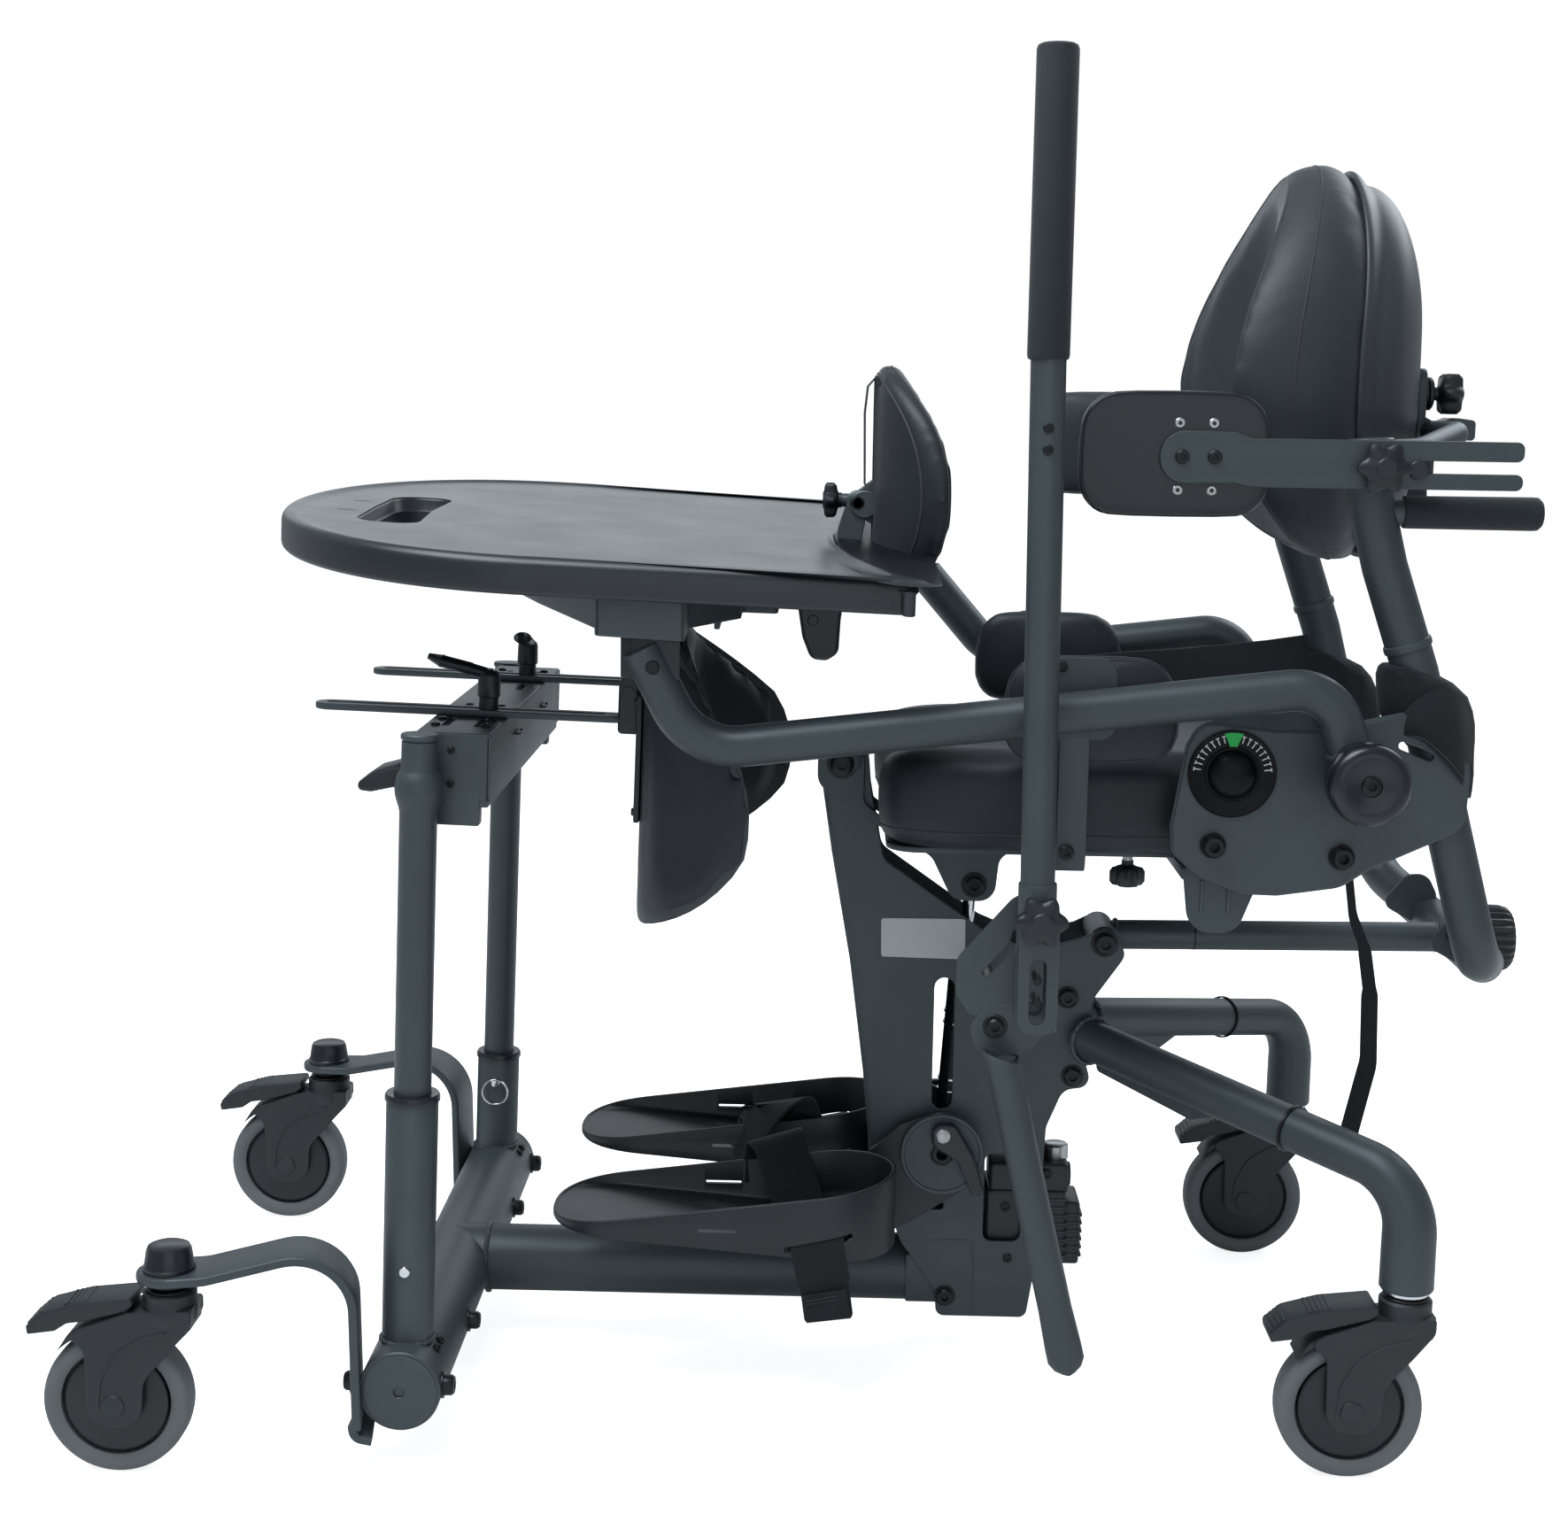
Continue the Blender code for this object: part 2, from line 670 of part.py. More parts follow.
def rear_legs():
    """Each rear leg: a tube out from the spine that turns down into its caster's stem."""
    start_point = Vector((0.3150, 0.0383, 0.3180))
    corner = Vector((REAR_STEM.x, REAR_STEM.y, 0.2620))
    foot_z = FORK_HEAD_TOP + 0.0012
    for side, sign in SIDES:
        mirror = Vector((1.0, sign, 1.0))
        path = [start_point - (corner - start_point) * 0.10, corner, (REAR_STEM.x, REAR_STEM.y, foot_z)]
        path = [Vector(point) * mirror for point in path]
        leg = tube(path, LEG_RADIUS, 0.075, 12, 5, LEG_END_RADIUS)
        side_face = SPINE_HALF + GAP
        inside = box((0.0, -side_face, 0.0), (0.5, side_face, 0.6))
        gusset = upright(
            rounded([(0.020, 0.325), (0.020, 0.292), (0.135, 0.266), (0.170, 0.290)], 0.006),
            -0.003,
            0.003,
        )
        plan = math.atan2((corner - start_point).y * sign, (corner - start_point).x)
        root = Matrix.Translation((start_point.x, sign * start_point.y, 0))
        moved(gusset, root @ Matrix.Rotation(plan, 4, "Z"))
        leg = cut(union(leg, gusset), inside)
        stem_y = sign * REAR_STEM.y
        hole_top = (REAR_STEM.x, stem_y, STRAP_Z + 0.006)
        hole = rod((REAR_STEM.x, stem_y, 0.1), hole_top, STEM_RADIUS + GAP * 2, 12)
        part(f"rear_leg_{side}", cut(leg, hole), FRAME_GREY)


# Spine

def spine():
    """The folded channel that carries the seat, the link, the lift and the pump."""
    outline = rounded(
        [
            ((KNEE_PIVOT.x - 0.0220, KNEE_PIVOT.z + 0.0190), 0.018),
            (0.0620, 0.5560),
            (0.0715, 0.4937),
            (0.0906, 0.3890),
            (0.1050, 0.2820),
            (0.1130, 0.2030),
            (0.1390, 0.1150),
            (0.1740, 0.0660),
            ((0.1760, 0.0400), 0.008),
            ((0.2660, 0.0400), 0.008),
            (0.2750, 0.1000),
            ((0.2800, 0.2300), 0.020),
            ((0.2950, 0.2670), 0.015),
            (0.3220, 0.2700),
            (0.3100, 0.3120),
            (0.3220, 0.3580),
            ((LINK_PIVOT.x + 0.0200, LINK_PIVOT.z - 0.0120), 0.012),
            ((LINK_PIVOT.x + 0.0080, LINK_PIVOT.z + 0.0190), 0.014),
            ((LINK_PIVOT.x - 0.0220, LINK_PIVOT.z + 0.0040), 0.008),
            (0.2600, 0.4010),
            (0.2145, 0.4200),
            (0.1200, 0.4860),
            (0.1080, 0.5500),
            ((KNEE_PIVOT.x + 0.0240, KNEE_PIVOT.z + 0.0200), 0.018),
        ],
        0.0,
    )
    inner = SPINE_HALF - SPINE_WALL
    knee_hole = (KNEE_PIVOT.x, KNEE_PIVOT.z, PIN_RADIUS + GAP * 2)
    link_hole = (LINK_PIVOT.x, LINK_PIVOT.z, PIN_RADIUS + GAP * 2)
    shaft_hole = (LEVER_PIVOT.x, LEVER_PIVOT.z, SHAFT_RADIUS + GAP * 2)
    body = upright(outline, -SPINE_HALF, SPINE_HALF, (knee_hole, link_hole, shaft_hole))
    pocket = upright(
        [
            (0.0760, 0.5250),
            (0.0680, 0.5600),
            (0.0400, 0.6100),
            (0.2000, 0.6400),
            (0.4500, 0.5000),
            (0.4500, 0.0200),
            (0.1000, 0.0200),
            (0.1000, 0.1500),
            (0.1175, 0.2030),
            (0.1095, 0.2820),
            (0.0951, 0.3890),
            (0.0760, 0.4937),
        ],
        -inner,
        inner,
    )
    slot = upright(slot_loop((0.1805, 0.2550), (0.1805, 0.3640), 0.0095), -0.06, 0.06)
    window_outline = rounded([(0.223, 0.116), (0.258, 0.116), (0.262, 0.203), (0.223, 0.203)], 0.008)
    window = upright(window_outline, -0.06, 0.06)
    body = cut(body, pocket, slot, window)
    bosses = []
    for _, sign in SIDES:
        face = sign * (SPINE_HALF - 0.001)
        hub = Vector((FOOT_PIVOT.x, face, FOOT_PIVOT.z))
        bosses.append(rod(hub, hub + Vector((0, sign * 0.011, 0)), 0.0150))
        for x, z, radius in ((0.296, 0.357, 0.0085), (0.303, 0.281, 0.0085), (0.188, 0.0605, 0.0080)):
            bosses.append(bolt((x, sign * SPINE_HALF, z), (0, sign, 0), radius, 0.006))
    part("spine_channel", union(body, *bosses), FRAME_GREY)


def pump_unit():
    """The hydraulic pump block with its cap and round release disc, between the channel's sides."""
    half = SPINE_HALF - SPINE_WALL - 0.003
    block = box((0.226, -half, 0.108), (0.294, half, 0.198))
    cap = rod((0.270, 0.0, 0.197), (0.270, 0.0, 0.212), 0.0125)
    foot = box((0.226, -half, CENTER_TUBE_Z + CENTER_TUBE_RADIUS + GAP), (0.262, half, 0.110))
    disc = rod((0.290, 0.0, 0.150), (0.304, 0.0, 0.150), 0.022, 16)
    part("pump_unit", union(block, cap, foot, disc), BLACK_PLASTIC)


# Knee support

def knee_support():
    """The posts that slide in the sleeves, the beam between them, and its release paddle."""
    for side, sign in SIDES:
        profile = (
            (0.0, POST_TOP),
            (0.0120, POST_TOP),
            (0.0148, POST_TOP - 0.004),
            (0.0148, 0.603),
            (BULB_RADIUS, 0.593),
            (BULB_RADIUS, 0.575),
            (POST_RADIUS, 0.563),
            (POST_RADIUS, POST_BOTTOM),
            (0.0, POST_BOTTOM),
        )
        post = turned(profile, (CROSS_TUBE_X, sign * POST_Y, 0.0), (0, 0, 1))
        part(f"knee_post_{side}", leaned(post), FRAME_GREY)

    half = POST_Y - BULB_RADIUS - GAP
    low_x = BEAM_X - BEAM_DEPTH / 2
    high_x = BEAM_X + BEAM_DEPTH / 2
    beam = box((low_x, -half, BEAM_BOTTOM), (high_x, half, BEAM_TOP))
    hollow = box(
        (low_x + 0.004, -half + 0.004, BEAM_BOTTOM - 0.01),
        (high_x - 0.004, half - 0.004, BEAM_TOP - 0.005),
    )
    rail = box((high_x - 0.014, -half, BEAM_BOTTOM - 0.006), (high_x - 0.001, half, BEAM_BOTTOM + 0.004))
    stub_low = BEAM_BOTTOM - 0.022
    stub_high = BEAM_BOTTOM + 0.002
    stub = box((high_x - 0.050, -half, stub_low), (high_x - 0.008, -half + 0.018, stub_high))
    far_stub = box((high_x - 0.050, half - 0.018, stub_low), (high_x - 0.008, half, stub_high))
    beam = union(cut(beam, hollow), rail, stub, far_stub)
    seats = []
    for _, sign in SIDES:
        y = sign * KNEE_Y
        stud_x = BEAM_X + 0.013
        seats.append(rod((stud_x, y, BEAM_TOP - 0.02), (stud_x, y, BEAM_TOP + 0.02), 0.0043, 12))
        bolts_y = sign * POST_Y
        seats.append(rod((CROSS_TUBE_X, bolts_y, 0.5), (CROSS_TUBE_X, bolts_y, 0.7), BULB_RADIUS + GAP, 16))
    part("knee_beam", leaned(cut(beam, *seats)), FRAME_GREY)

    nose = 0.0110
    hinge = Vector((low_x - GAP * 2 - nose, 0.0, 0.586))
    outline = rounded(
        [
            ((hinge.x + nose, hinge.z - nose), nose),
            ((hinge.x + nose, hinge.z + nose), nose),
            (low_x - 0.026, 0.598),
            ((low_x - 0.050, 0.594), 0.008),
            ((low_x - 0.048, 0.573), 0.008),
            (low_x - 0.026, 0.575),
        ],
        0.0,
    )
    part("knee_release_paddle", leaned(upright(outline, -0.238, -0.190)), BLACK_PLASTIC, lean_point(hinge))


def knee_pads():
    """Each knee pad with its slotted bar, swivel block and the ratchet handle that clamps the bar."""
    bar_low = BEAM_TOP + GAP
    bar_high = bar_low + BAR_THICK
    for side, sign in SIDES:
        y = sign * KNEE_Y
        half = BAR_WIDTH / 2
        outline = rounded(
            [
                ((BAR_FRONT, y - half), half * 0.98),
                (BAR_REAR, y - half),
                (BAR_REAR, y + half),
                ((BAR_FRONT, y + half), half * 0.98),
            ],
            0.0,
        )
        bar = level(outline, bar_low, bar_high)
        slot = level(slot_loop((BAR_FRONT + 0.022, y), (BAR_REAR - 0.028, y), BAR_SLOT / 2), 0.5, 0.7)
        block_low = (BAR_REAR - 0.004, y - 0.012, bar_low - 0.010)
        block = box(block_low, (BAR_REAR + 0.014, y + 0.012, bar_low + 0.046))
        plate_x = BAR_REAR + 0.0140
        plate = box((plate_x - 0.001, y - 0.020, 0.540), (plate_x + 0.004, y + 0.020, bar_low + 0.030))
        bar = union(cut(bar, slot), block, plate)
        part(f"knee_bar_{side}", leaned(bar), FRAME_GREY)

        base = Vector((BEAM_X + 0.013, y, bar_high + GAP))
        hub = turned(
            (
                (0.0, 0.034), (0.008, 0.034), (0.0105, 0.028), (0.0105, 0.0),
                (0.0040, 0.0), (0.0040, -0.016), (0.0, -0.016),
            ),
            base,
            (0, 0, 1),
            12,
        )
        heading = Vector((-1.0, 0.0, 0.0)) if sign < 0 else Vector((0.0, -1.0, 0.0))
        tip = base + heading * 0.056 + Vector((0, 0, 0.044))
        lever = tube(
            [base + Vector((0, 0, 0.026)), base + heading * 0.018 + Vector((0, 0, 0.032)), tip],
            0.0055,
            0.01,
            8,
            2,
            0.0075,
        )
        part(f"ratchet_handle_{side}", leaned(union(hub, lever)), BLACK_PLASTIC, lean_point(base))

        knee_pad(side, sign, plate_x + 0.004 + GAP)


def knee_pad(side, sign, back_x):
    """A pad cupped round the knee: a flat back, and two wings of which the outer is deeper."""
    y = sign * KNEE_Y
    outline = [
        (-0.122, -0.044), (-0.084, -0.074), (0.060, -0.076), (0.128, -0.034),
        (0.128, 0.034), (0.060, 0.076), (-0.084, 0.078), (-0.122, 0.048),
    ]
    placing = Matrix.Translation((back_x, y, 0.570)) @ Matrix(
        ((0, 0, 1, 0), (0, -1, 0, 0), (1, 0, 0, 0), (0, 0, 0, 1))
    )

    def cup(along_z, across, _):
        outer = max(0.0, -across * sign - 0.012)
        inner = max(0.0, across * sign - 0.020)
        taper = 1.0 - 0.30 * max(0.0, abs(along_z) - 0.05) / 0.07
        return (28.0 * outer ** 2 + 16.0 * inner ** 2) * taper

    body = pad(outline, 0.028, 0.006, placing, cup)
    part(f"knee_pad_{side}", leaned(body), BLACK_VINYL, lean_point((back_x, y, 0.600)))


# Seat

def seat_frame():
    """The lift brackets, the pan under the cushion, the depth rails and the arms up to the hips."""
    face = SPINE_HALF + 0.0005
    plate = 0.0040
    pan_top = SEAT_BOTTOM - GAP
    pan_low = pan_top - PAN_THICK
    outline = rounded(
        [
            ((KNEE_PIVOT.x - 0.0225, KNEE_PIVOT.z + 0.0210), 0.020),
            ((KNEE_PIVOT.x - 0.0225, KNEE_PIVOT.z - 0.0200), 0.018),
            (0.1150, 0.5180),
            (0.1650, 0.4900),
            ((CROWN_PIVOT.x - 0.0200, CROWN_PIVOT.z - 0.0150), 0.016),
            ((CROWN_PIVOT.x + 0.0190, CROWN_PIVOT.z - 0.0160), 0.016),
            (0.2280, 0.4900),
            (0.2800, pan_low + 0.001),
            (0.1300, pan_low + 0.001),
            (0.1010, 0.5400),
            ((KNEE_PIVOT.x + 0.0215, KNEE_PIVOT.z + 0.0210), 0.020),
        ],
        0.0,
    )
    pan = level(
        rounded([(0.1200, -0.160), (0.4550, -0.160), (0.4550, 0.160), (0.1200, 0.160)], 0.030),
        pan_low,
        pan_top,
    )
    bar = box((0.372, -0.2060, pan_low - 0.010), (0.414, 0.2060, pan_low + 0.001))
    pieces = [bar]
    for _, sign in SIDES:
        inner = sign * face
        pieces.append(upright(outline, *sorted((inner, sign * (face + plate)))))
        rail = rounded(
            [
                (0.288, 0.4590), (0.405, 0.4590), (0.405, pan_low + 0.001), (0.390, pan_low + 0.001),
                (0.388, 0.4700), (0.306, 0.4700), (0.304, pan_low + 0.001), (0.288, pan_low + 0.001),
            ],
            0.004,
        )
        pieces.append(upright(rail, *sorted((sign * 0.0790, sign * 0.0850))))
        arm = rounded(
            [
                ((0.3800, 0.4600), 0.0205),
                ((0.4210, 0.4600), 0.0205),
                (0.4400, 0.5100),
                ((HIP_PIVOT.x + 0.0240, HIP_PIVOT.z + 0.0240), 0.022),
                ((HIP_PIVOT.x - 0.0240, HIP_PIVOT.z + 0.0240), 0.022),
                (0.3740, 0.5100),
            ],
            0.0,
        )
        pieces.append(upright(arm, *sorted((sign * 0.1990, sign * 0.2060))))
        hip = Vector((HIP_PIVOT.x, sign * 0.2050, HIP_PIVOT.z))
        end_y = sign * (SIDE_PLATE_Y + SIDE_PLATE_THICK)
        pieces.append(rod(hip, (hip.x, end_y, hip.z), 0.0100, 12))
        stub = Vector((CROWN_PIVOT.x, sign * (face + 0.001), CROWN_PIVOT.z))
        pieces.append(rod(stub, (stub.x, sign * 0.0165, stub.z), 0.0080, 12))
        pieces.append(bolt((stub.x, sign * (face + plate), stub.z), (0, sign, 0), 0.0090, 0.006))
        pieces.append(bolt((KNEE_PIVOT.x, sign * (face + plate), KNEE_PIVOT.z), (0, sign, 0), 0.0110, 0.006))
    pin = rod(
        (KNEE_PIVOT.x, -face - 0.001, KNEE_PIVOT.z),
        (KNEE_PIVOT.x, face + 0.001, KNEE_PIVOT.z),
        PIN_RADIUS,
        12,
    )
    part("seat_frame", union(pan, pin, *pieces), FRAME_GREY, KNEE_PIVOT)


def seat_cushion():
    """The crowned seat cushion, its front edge rolled over the knee pivot."""
    outline = [
        (SEAT_FRONT, -0.120), (SEAT_FRONT + 0.016, -0.172), (SEAT_FRONT + 0.070, -SEAT_HALF),
        (0.290, -SEAT_HALF - 0.002), (0.420, -SEAT_HALF + 0.001),
        (SEAT_REAR - 0.012, -0.160), (SEAT_REAR, -0.060), (SEAT_REAR, 0.060), (SEAT_REAR - 0.012, 0.160),
        (0.420, SEAT_HALF - 0.001), (0.290, SEAT_HALF + 0.002),
        (SEAT_FRONT + 0.070, SEAT_HALF), (SEAT_FRONT + 0.016, 0.172), (SEAT_FRONT, 0.120),
        (SEAT_FRONT + 0.026, 0.066), (SEAT_FRONT + 0.026, -0.066),
    ]
    placing = Matrix.Translation((0.0, 0.0, SEAT_BOTTOM))
    cushion = pad(outline, SEAT_TOP - SEAT_BOTTOM, 0.012, placing, levels=1, draw=0.03)
    part("seat_cushion", cushion, BLACK_VINYL, KNEE_PIVOT)


def hip_supports():
    """Each hip pad on its upright strap, which slides in across the seat."""
    pan_low = SEAT_BOTTOM - GAP - PAN_THICK
    strap_inner = SIDE_PLATE_Y - 0.0005
    pad_depth = 0.0235
    outline = rounded(
        [
            ((0.212, 0.6040), 0.030), ((0.368, 0.6040), 0.030),
            ((0.364, 0.7000), 0.040), ((0.216, 0.7000), 0.034),
        ],
        0.0,
        1,
    )
    for side, sign in SIDES:
        faces = sorted((sign * strap_inner, sign * (strap_inner + 0.0030)))
        strap = box((0.2630, faces[0], pan_low - 0.0035), (0.2880, faces[1], 0.6300))
        foot_ends = sorted((sign * 0.1300, sign * (strap_inner + 0.0010)))
        foot = box((0.2630, foot_ends[0], pan_low - 0.0035), (0.2880, foot_ends[1], pan_low - GAP))
        head = bolt((0.2715, sign * (strap_inner + 0.0030), 0.5310), (0, sign, 0), 0.0060, 0.004)
        part(f"hip_bracket_{side}", union(strap, foot, head), FRAME_GREY)
        placing = Matrix.Translation((0.0, sign * (strap_inner - GAP), 0.0)) @ Matrix(
            ((1, 0, 0, 0), (0, 0, -sign, 0), (0, 1, 0, 0), (0, 0, 0, 1))
        )
        part(f"hip_pad_{side}", pad(outline, pad_depth, 0.005, placing), BLACK_VINYL)

    centre = Vector((0.3380, -0.1100, pan_low - GAP))
    knob = turned(
        ((0.0, 0.0), (0.0060, 0.0), (0.0060, -0.0140), (0.0150, -0.0160), (0.0160, -0.0340), (0.0, -0.0360)),
        centre,
        (0, 0, 1),
        12,
    )
    part("seat_depth_knob", knob, BLACK_PLASTIC, centre)


def actuator():
    """The hydraulic cylinder between the channel's sides, and its chromed rod up to the seat."""
    direction = (CROWN_PIVOT - LIFT_PIVOT).normalized()
    length = (CROWN_PIVOT - LIFT_PIVOT).length
    barrel_end = 0.250
    bore = 0.0068
    barrel = rod(LIFT_PIVOT + direction * 0.004, LIFT_PIVOT + direction * barrel_end, 0.0140, 16)
    half = SPINE_HALF - SPINE_WALL - GAP
    eye = rod((LIFT_PIVOT.x, -half, LIFT_PIVOT.z), (LIFT_PIVOT.x, half, LIFT_PIVOT.z), 0.0090, 12)
    hole = rod(LIFT_PIVOT + direction * 0.028, LIFT_PIVOT + direction * (barrel_end + 0.02), bore, 12)
    part("actuator_cylinder", cut(union(barrel, eye), hole), BLACK_PLASTIC, LIFT_PIVOT)
    shaft = rod(LIFT_PIVOT + direction * 0.034, LIFT_PIVOT + direction * length, 0.0060, 12)
    ball = rod((CROWN_PIVOT.x, -0.0160, CROWN_PIVOT.z), (CROWN_PIVOT.x, 0.0160, CROWN_PIVOT.z), 0.0110, 12)
    part("actuator_rod", union(shaft, ball), CHROME, CROWN_PIVOT)


# Back

def side_plates():
    """The hip side plates, each with its pivot holes and the slit for the belt."""
    outline = rounded(
        [
            (0.3620, 0.5330), (0.3600, 0.5560), (0.3710, 0.6250), ((0.3820, 0.6450), 0.018), (0.4450, 0.6385),
            (0.4820, 0.6390), ((0.5560, 0.6560), 0.020), ((0.6090, 0.6150), 0.030), ((0.6060, 0.5580), 0.020),
            (0.5270, 0.5210), (0.5050, 0.5060), (0.4520, 0.4980), (0.4215, 0.4987), (0.3830, 0.5140),
        ],
        0.006,
    )
    holes = (
        (HIP_PIVOT.x, HIP_PIVOT.z, 0.0100 + RUNNING),
        (ARM_PIVOT.x, ARM_PIVOT.z, 0.0080 + RUNNING),
    )
    outer = SIDE_PLATE_Y + SIDE_PLATE_THICK
    for side, sign in SIDES:
        plate = upright(outline, *sorted((sign * SIDE_PLATE_Y, sign * outer)), holes)
        slit_loop = slot_loop((0.548, 0.6290), (0.576, 0.6180), 0.0035)
        slit = upright(slit_loop, *sorted((sign * 0.20, sign * 0.24)))
        heads = []
        for x, z in ((0.3950, 0.5400), (0.5040, 0.5320)):
            heads.append(bolt((x, sign * outer, z), (0, sign, 0), 0.0100, 0.0070))
        part(f"side_plate_{side}", union(cut(plate, slit), *heads), FRAME_GREY, HIP_PIVOT)

    face = -outer - GAP
    dial = turned(
        (
            (0.0, 0.0120), (0.0110, 0.0110), (0.0190, 0.0050), (0.0200, 0.0030),
            (DIAL_RADIUS - 0.001, 0.0030), (DIAL_RADIUS, 0.0020), (DIAL_RADIUS, 0.0), (0.0, 0.0),
        ),
        (DIAL_CENTRE.x, face, DIAL_CENTRE.z),
        (0, -1, 0),
        18,
    )
    part("angle_dial", dial, BLACK_PLASTIC, HIP_PIVOT)


def back_tube():
    """The U tube behind the hips, its push grips, the crossbar behind the shell and the end knob."""
    y = BACK_TUBE_Y
    half_path = [
        (0.5150, y, 0.9050), (0.5190, y, 0.8300), (0.5330, y, 0.7770), (0.5640, y, 0.6880),
        (0.5980, y, 0.5580), (0.6300, y, 0.4410), (BACK_PIVOT.x, 0.1000, BACK_PIVOT.z),
    ]
    near = [Vector((px, -py, pz)) for px, py, pz in half_path]
    far = [Vector(point) for point in half_path[::-1]]
    frame = tube(near + far, BACK_TUBE_RADIUS, 0.050, 8, 2)
    bar_z = 0.8950
    bar = tube(
        [(0.515, -y, bar_z), (0.612, -0.150, bar_z), (0.612, 0.150, bar_z), (0.515, y, bar_z)],
        0.0110,
        0.030,
        8,
        3,
    )
    plate = box((0.5943, -0.030, 0.880), (0.6020, 0.030, 0.945))
    knob = turned(
        (
            (0.0, 0.0560), (0.0300, 0.0540), (0.0320, 0.0500), (0.0320, 0.0280),
            (0.0200, 0.0260), (0.0200, 0.0), (0.0, 0.0),
        ),
        (BACK_PIVOT.x, 0.0, BACK_PIVOT.z - 0.002),
        (1, 0, 0),
        12,
    )
    pieces = [bar, plate, knob]
    for _, sign in SIDES:
        grip_start = (0.5190, sign * y, 0.8230)
        pieces.append(rod(grip_start, (0.6610, sign * y, 0.8230), 0.0140, 8))
        block_ends = sorted((sign * (y + 0.012), sign * 0.2282))
        pieces.append(box((0.5050, block_ends[0], 0.8480), (0.5620, block_ends[1], 0.8750)))
        pieces.append(rod((0.5535, sign * 0.2250, 0.8615), (0.5535, sign * 0.2350, 0.8615), 0.0040, 8))
    part("back_tube", union(frame, *pieces), FRAME_GREY, HIP_PIVOT)

    knob_x = 0.6020 + GAP
    star = turned(
        (
            (0.0, 0.0380), (0.0190, 0.0370), (0.0205, 0.0330), (0.0195, 0.0220),
            (0.0080, 0.0215), (0.0060, 0.0), (0.0, 0.0),
        ),
        (knob_x, 0.0, 0.9225),
        (1, 0, 0),
        12,
    )
    part("back_knob", star, BLACK_PLASTIC, (knob_x, 0.0, 0.9225))


def back_support():
    """The wrap-round back cushion and the moulded shell behind it."""
    outline = [
        (0.768, 0.050), (0.800, 0.122), (0.900, 0.166), (1.010, 0.150), (1.085, 0.100), (1.126, 0.036),
        (1.126, -0.036), (1.085, -0.100), (1.010, -0.150), (0.900, -0.166), (0.800, -0.122), (0.768, -0.050),
    ]
    turn = Matrix(((0, 0, -1, 0), (0, 1, 0, 0), (1, 0, 0, 0), (0, 0, 0, 1)))
    back_x = 0.5460

    def wrap(up, across, share):
        top = max(0.0, up - 0.98)
        return (1.65 + 2.3 * share) * across ** 2 + 1.3 * top ** 2

    cushion = pad(outline, 0.070, 0.014, Matrix.Translation((back_x, 0, 0)) @ turn, wrap, draw=0.05)
    part("back_cushion", cushion, BLACK_VINYL, HIP_PIVOT)

    small = [(0.935 + (up - 0.935) * 0.94, across * 0.90) for up, across in outline]
    rear = Matrix(((0, 0, 1, 0), (0, 1, 0, 0), (1, 0, 0, 0), (0, 0, 0, 1)))

    def follow(up, across, _):
        return -wrap(up, across, 0.0)

    shell = pad(small, 0.0474, 0.016, Matrix.Translation((back_x + 0.0006, 0, 0)) @ rear, follow, draw=0.05)
    part("back_shell", shell, SHELL_BLACK, HIP_PIVOT)


def laterals():
    """Each lateral pad on its forked strap, which slides in the clamp on the back tube."""
    inner = 0.2282 + GAP
    outer = inner + 0.0040
    outline = rounded(
        [
            ((0.3170, 0.8450), 0.020), ((0.3170, 0.8870), 0.020), (0.4050, 0.8870), (0.4300, 0.8830),
            ((0.6345, 0.8830), 0.007), ((0.6345, 0.8665), 0.007), (0.5480, 0.8665), (0.5480, 0.8565),
            ((0.6340, 0.8565), 0.006), ((0.6340, 0.8430), 0.006), (0.4300, 0.8420), (0.4050, 0.8450),
        ],
        0.0,
    )
    pad_outline = rounded(
        [
            ((0.270, 0.8170), 0.030), ((0.428, 0.8170), 0.030),
            ((0.428, 0.9210), 0.034), ((0.270, 0.9210), 0.034),
        ],
        0.0,
        1,
    )
    for side, sign in SIDES:
        strap = upright(outline, *sorted((sign * inner, sign * outer)))
        star = turned(
            (
                (0.0, 0.0190), (0.0200, 0.0180), (0.0225, 0.0140), (0.0210, 0.0050),
                (0.0080, 0.0040), (0.0080, -0.0012), (0.0, -0.0012),
            ),
            (0.5180, sign * outer, 0.8605),
            (0, sign, 0),
            10,
        )
        heads = [bolt((x, sign * outer, 0.8670), (0, sign, 0), 0.0060, 0.003) for x in (0.354, 0.381)]
        part(f"lateral_arm_{side}", union(strap, star, *heads), FRAME_GREY)
        placing = Matrix.Translation((0.0, sign * (inner - GAP), 0.0)) @ Matrix(
            ((1, 0, 0, 0), (0, 0, -sign, 0), (0, 1, 0, 0), (0, 0, 0, 1))
        )
        part(f"lateral_pad_{side}", pad(pad_outline, 0.0275, 0.006, placing), BLACK_VINYL)


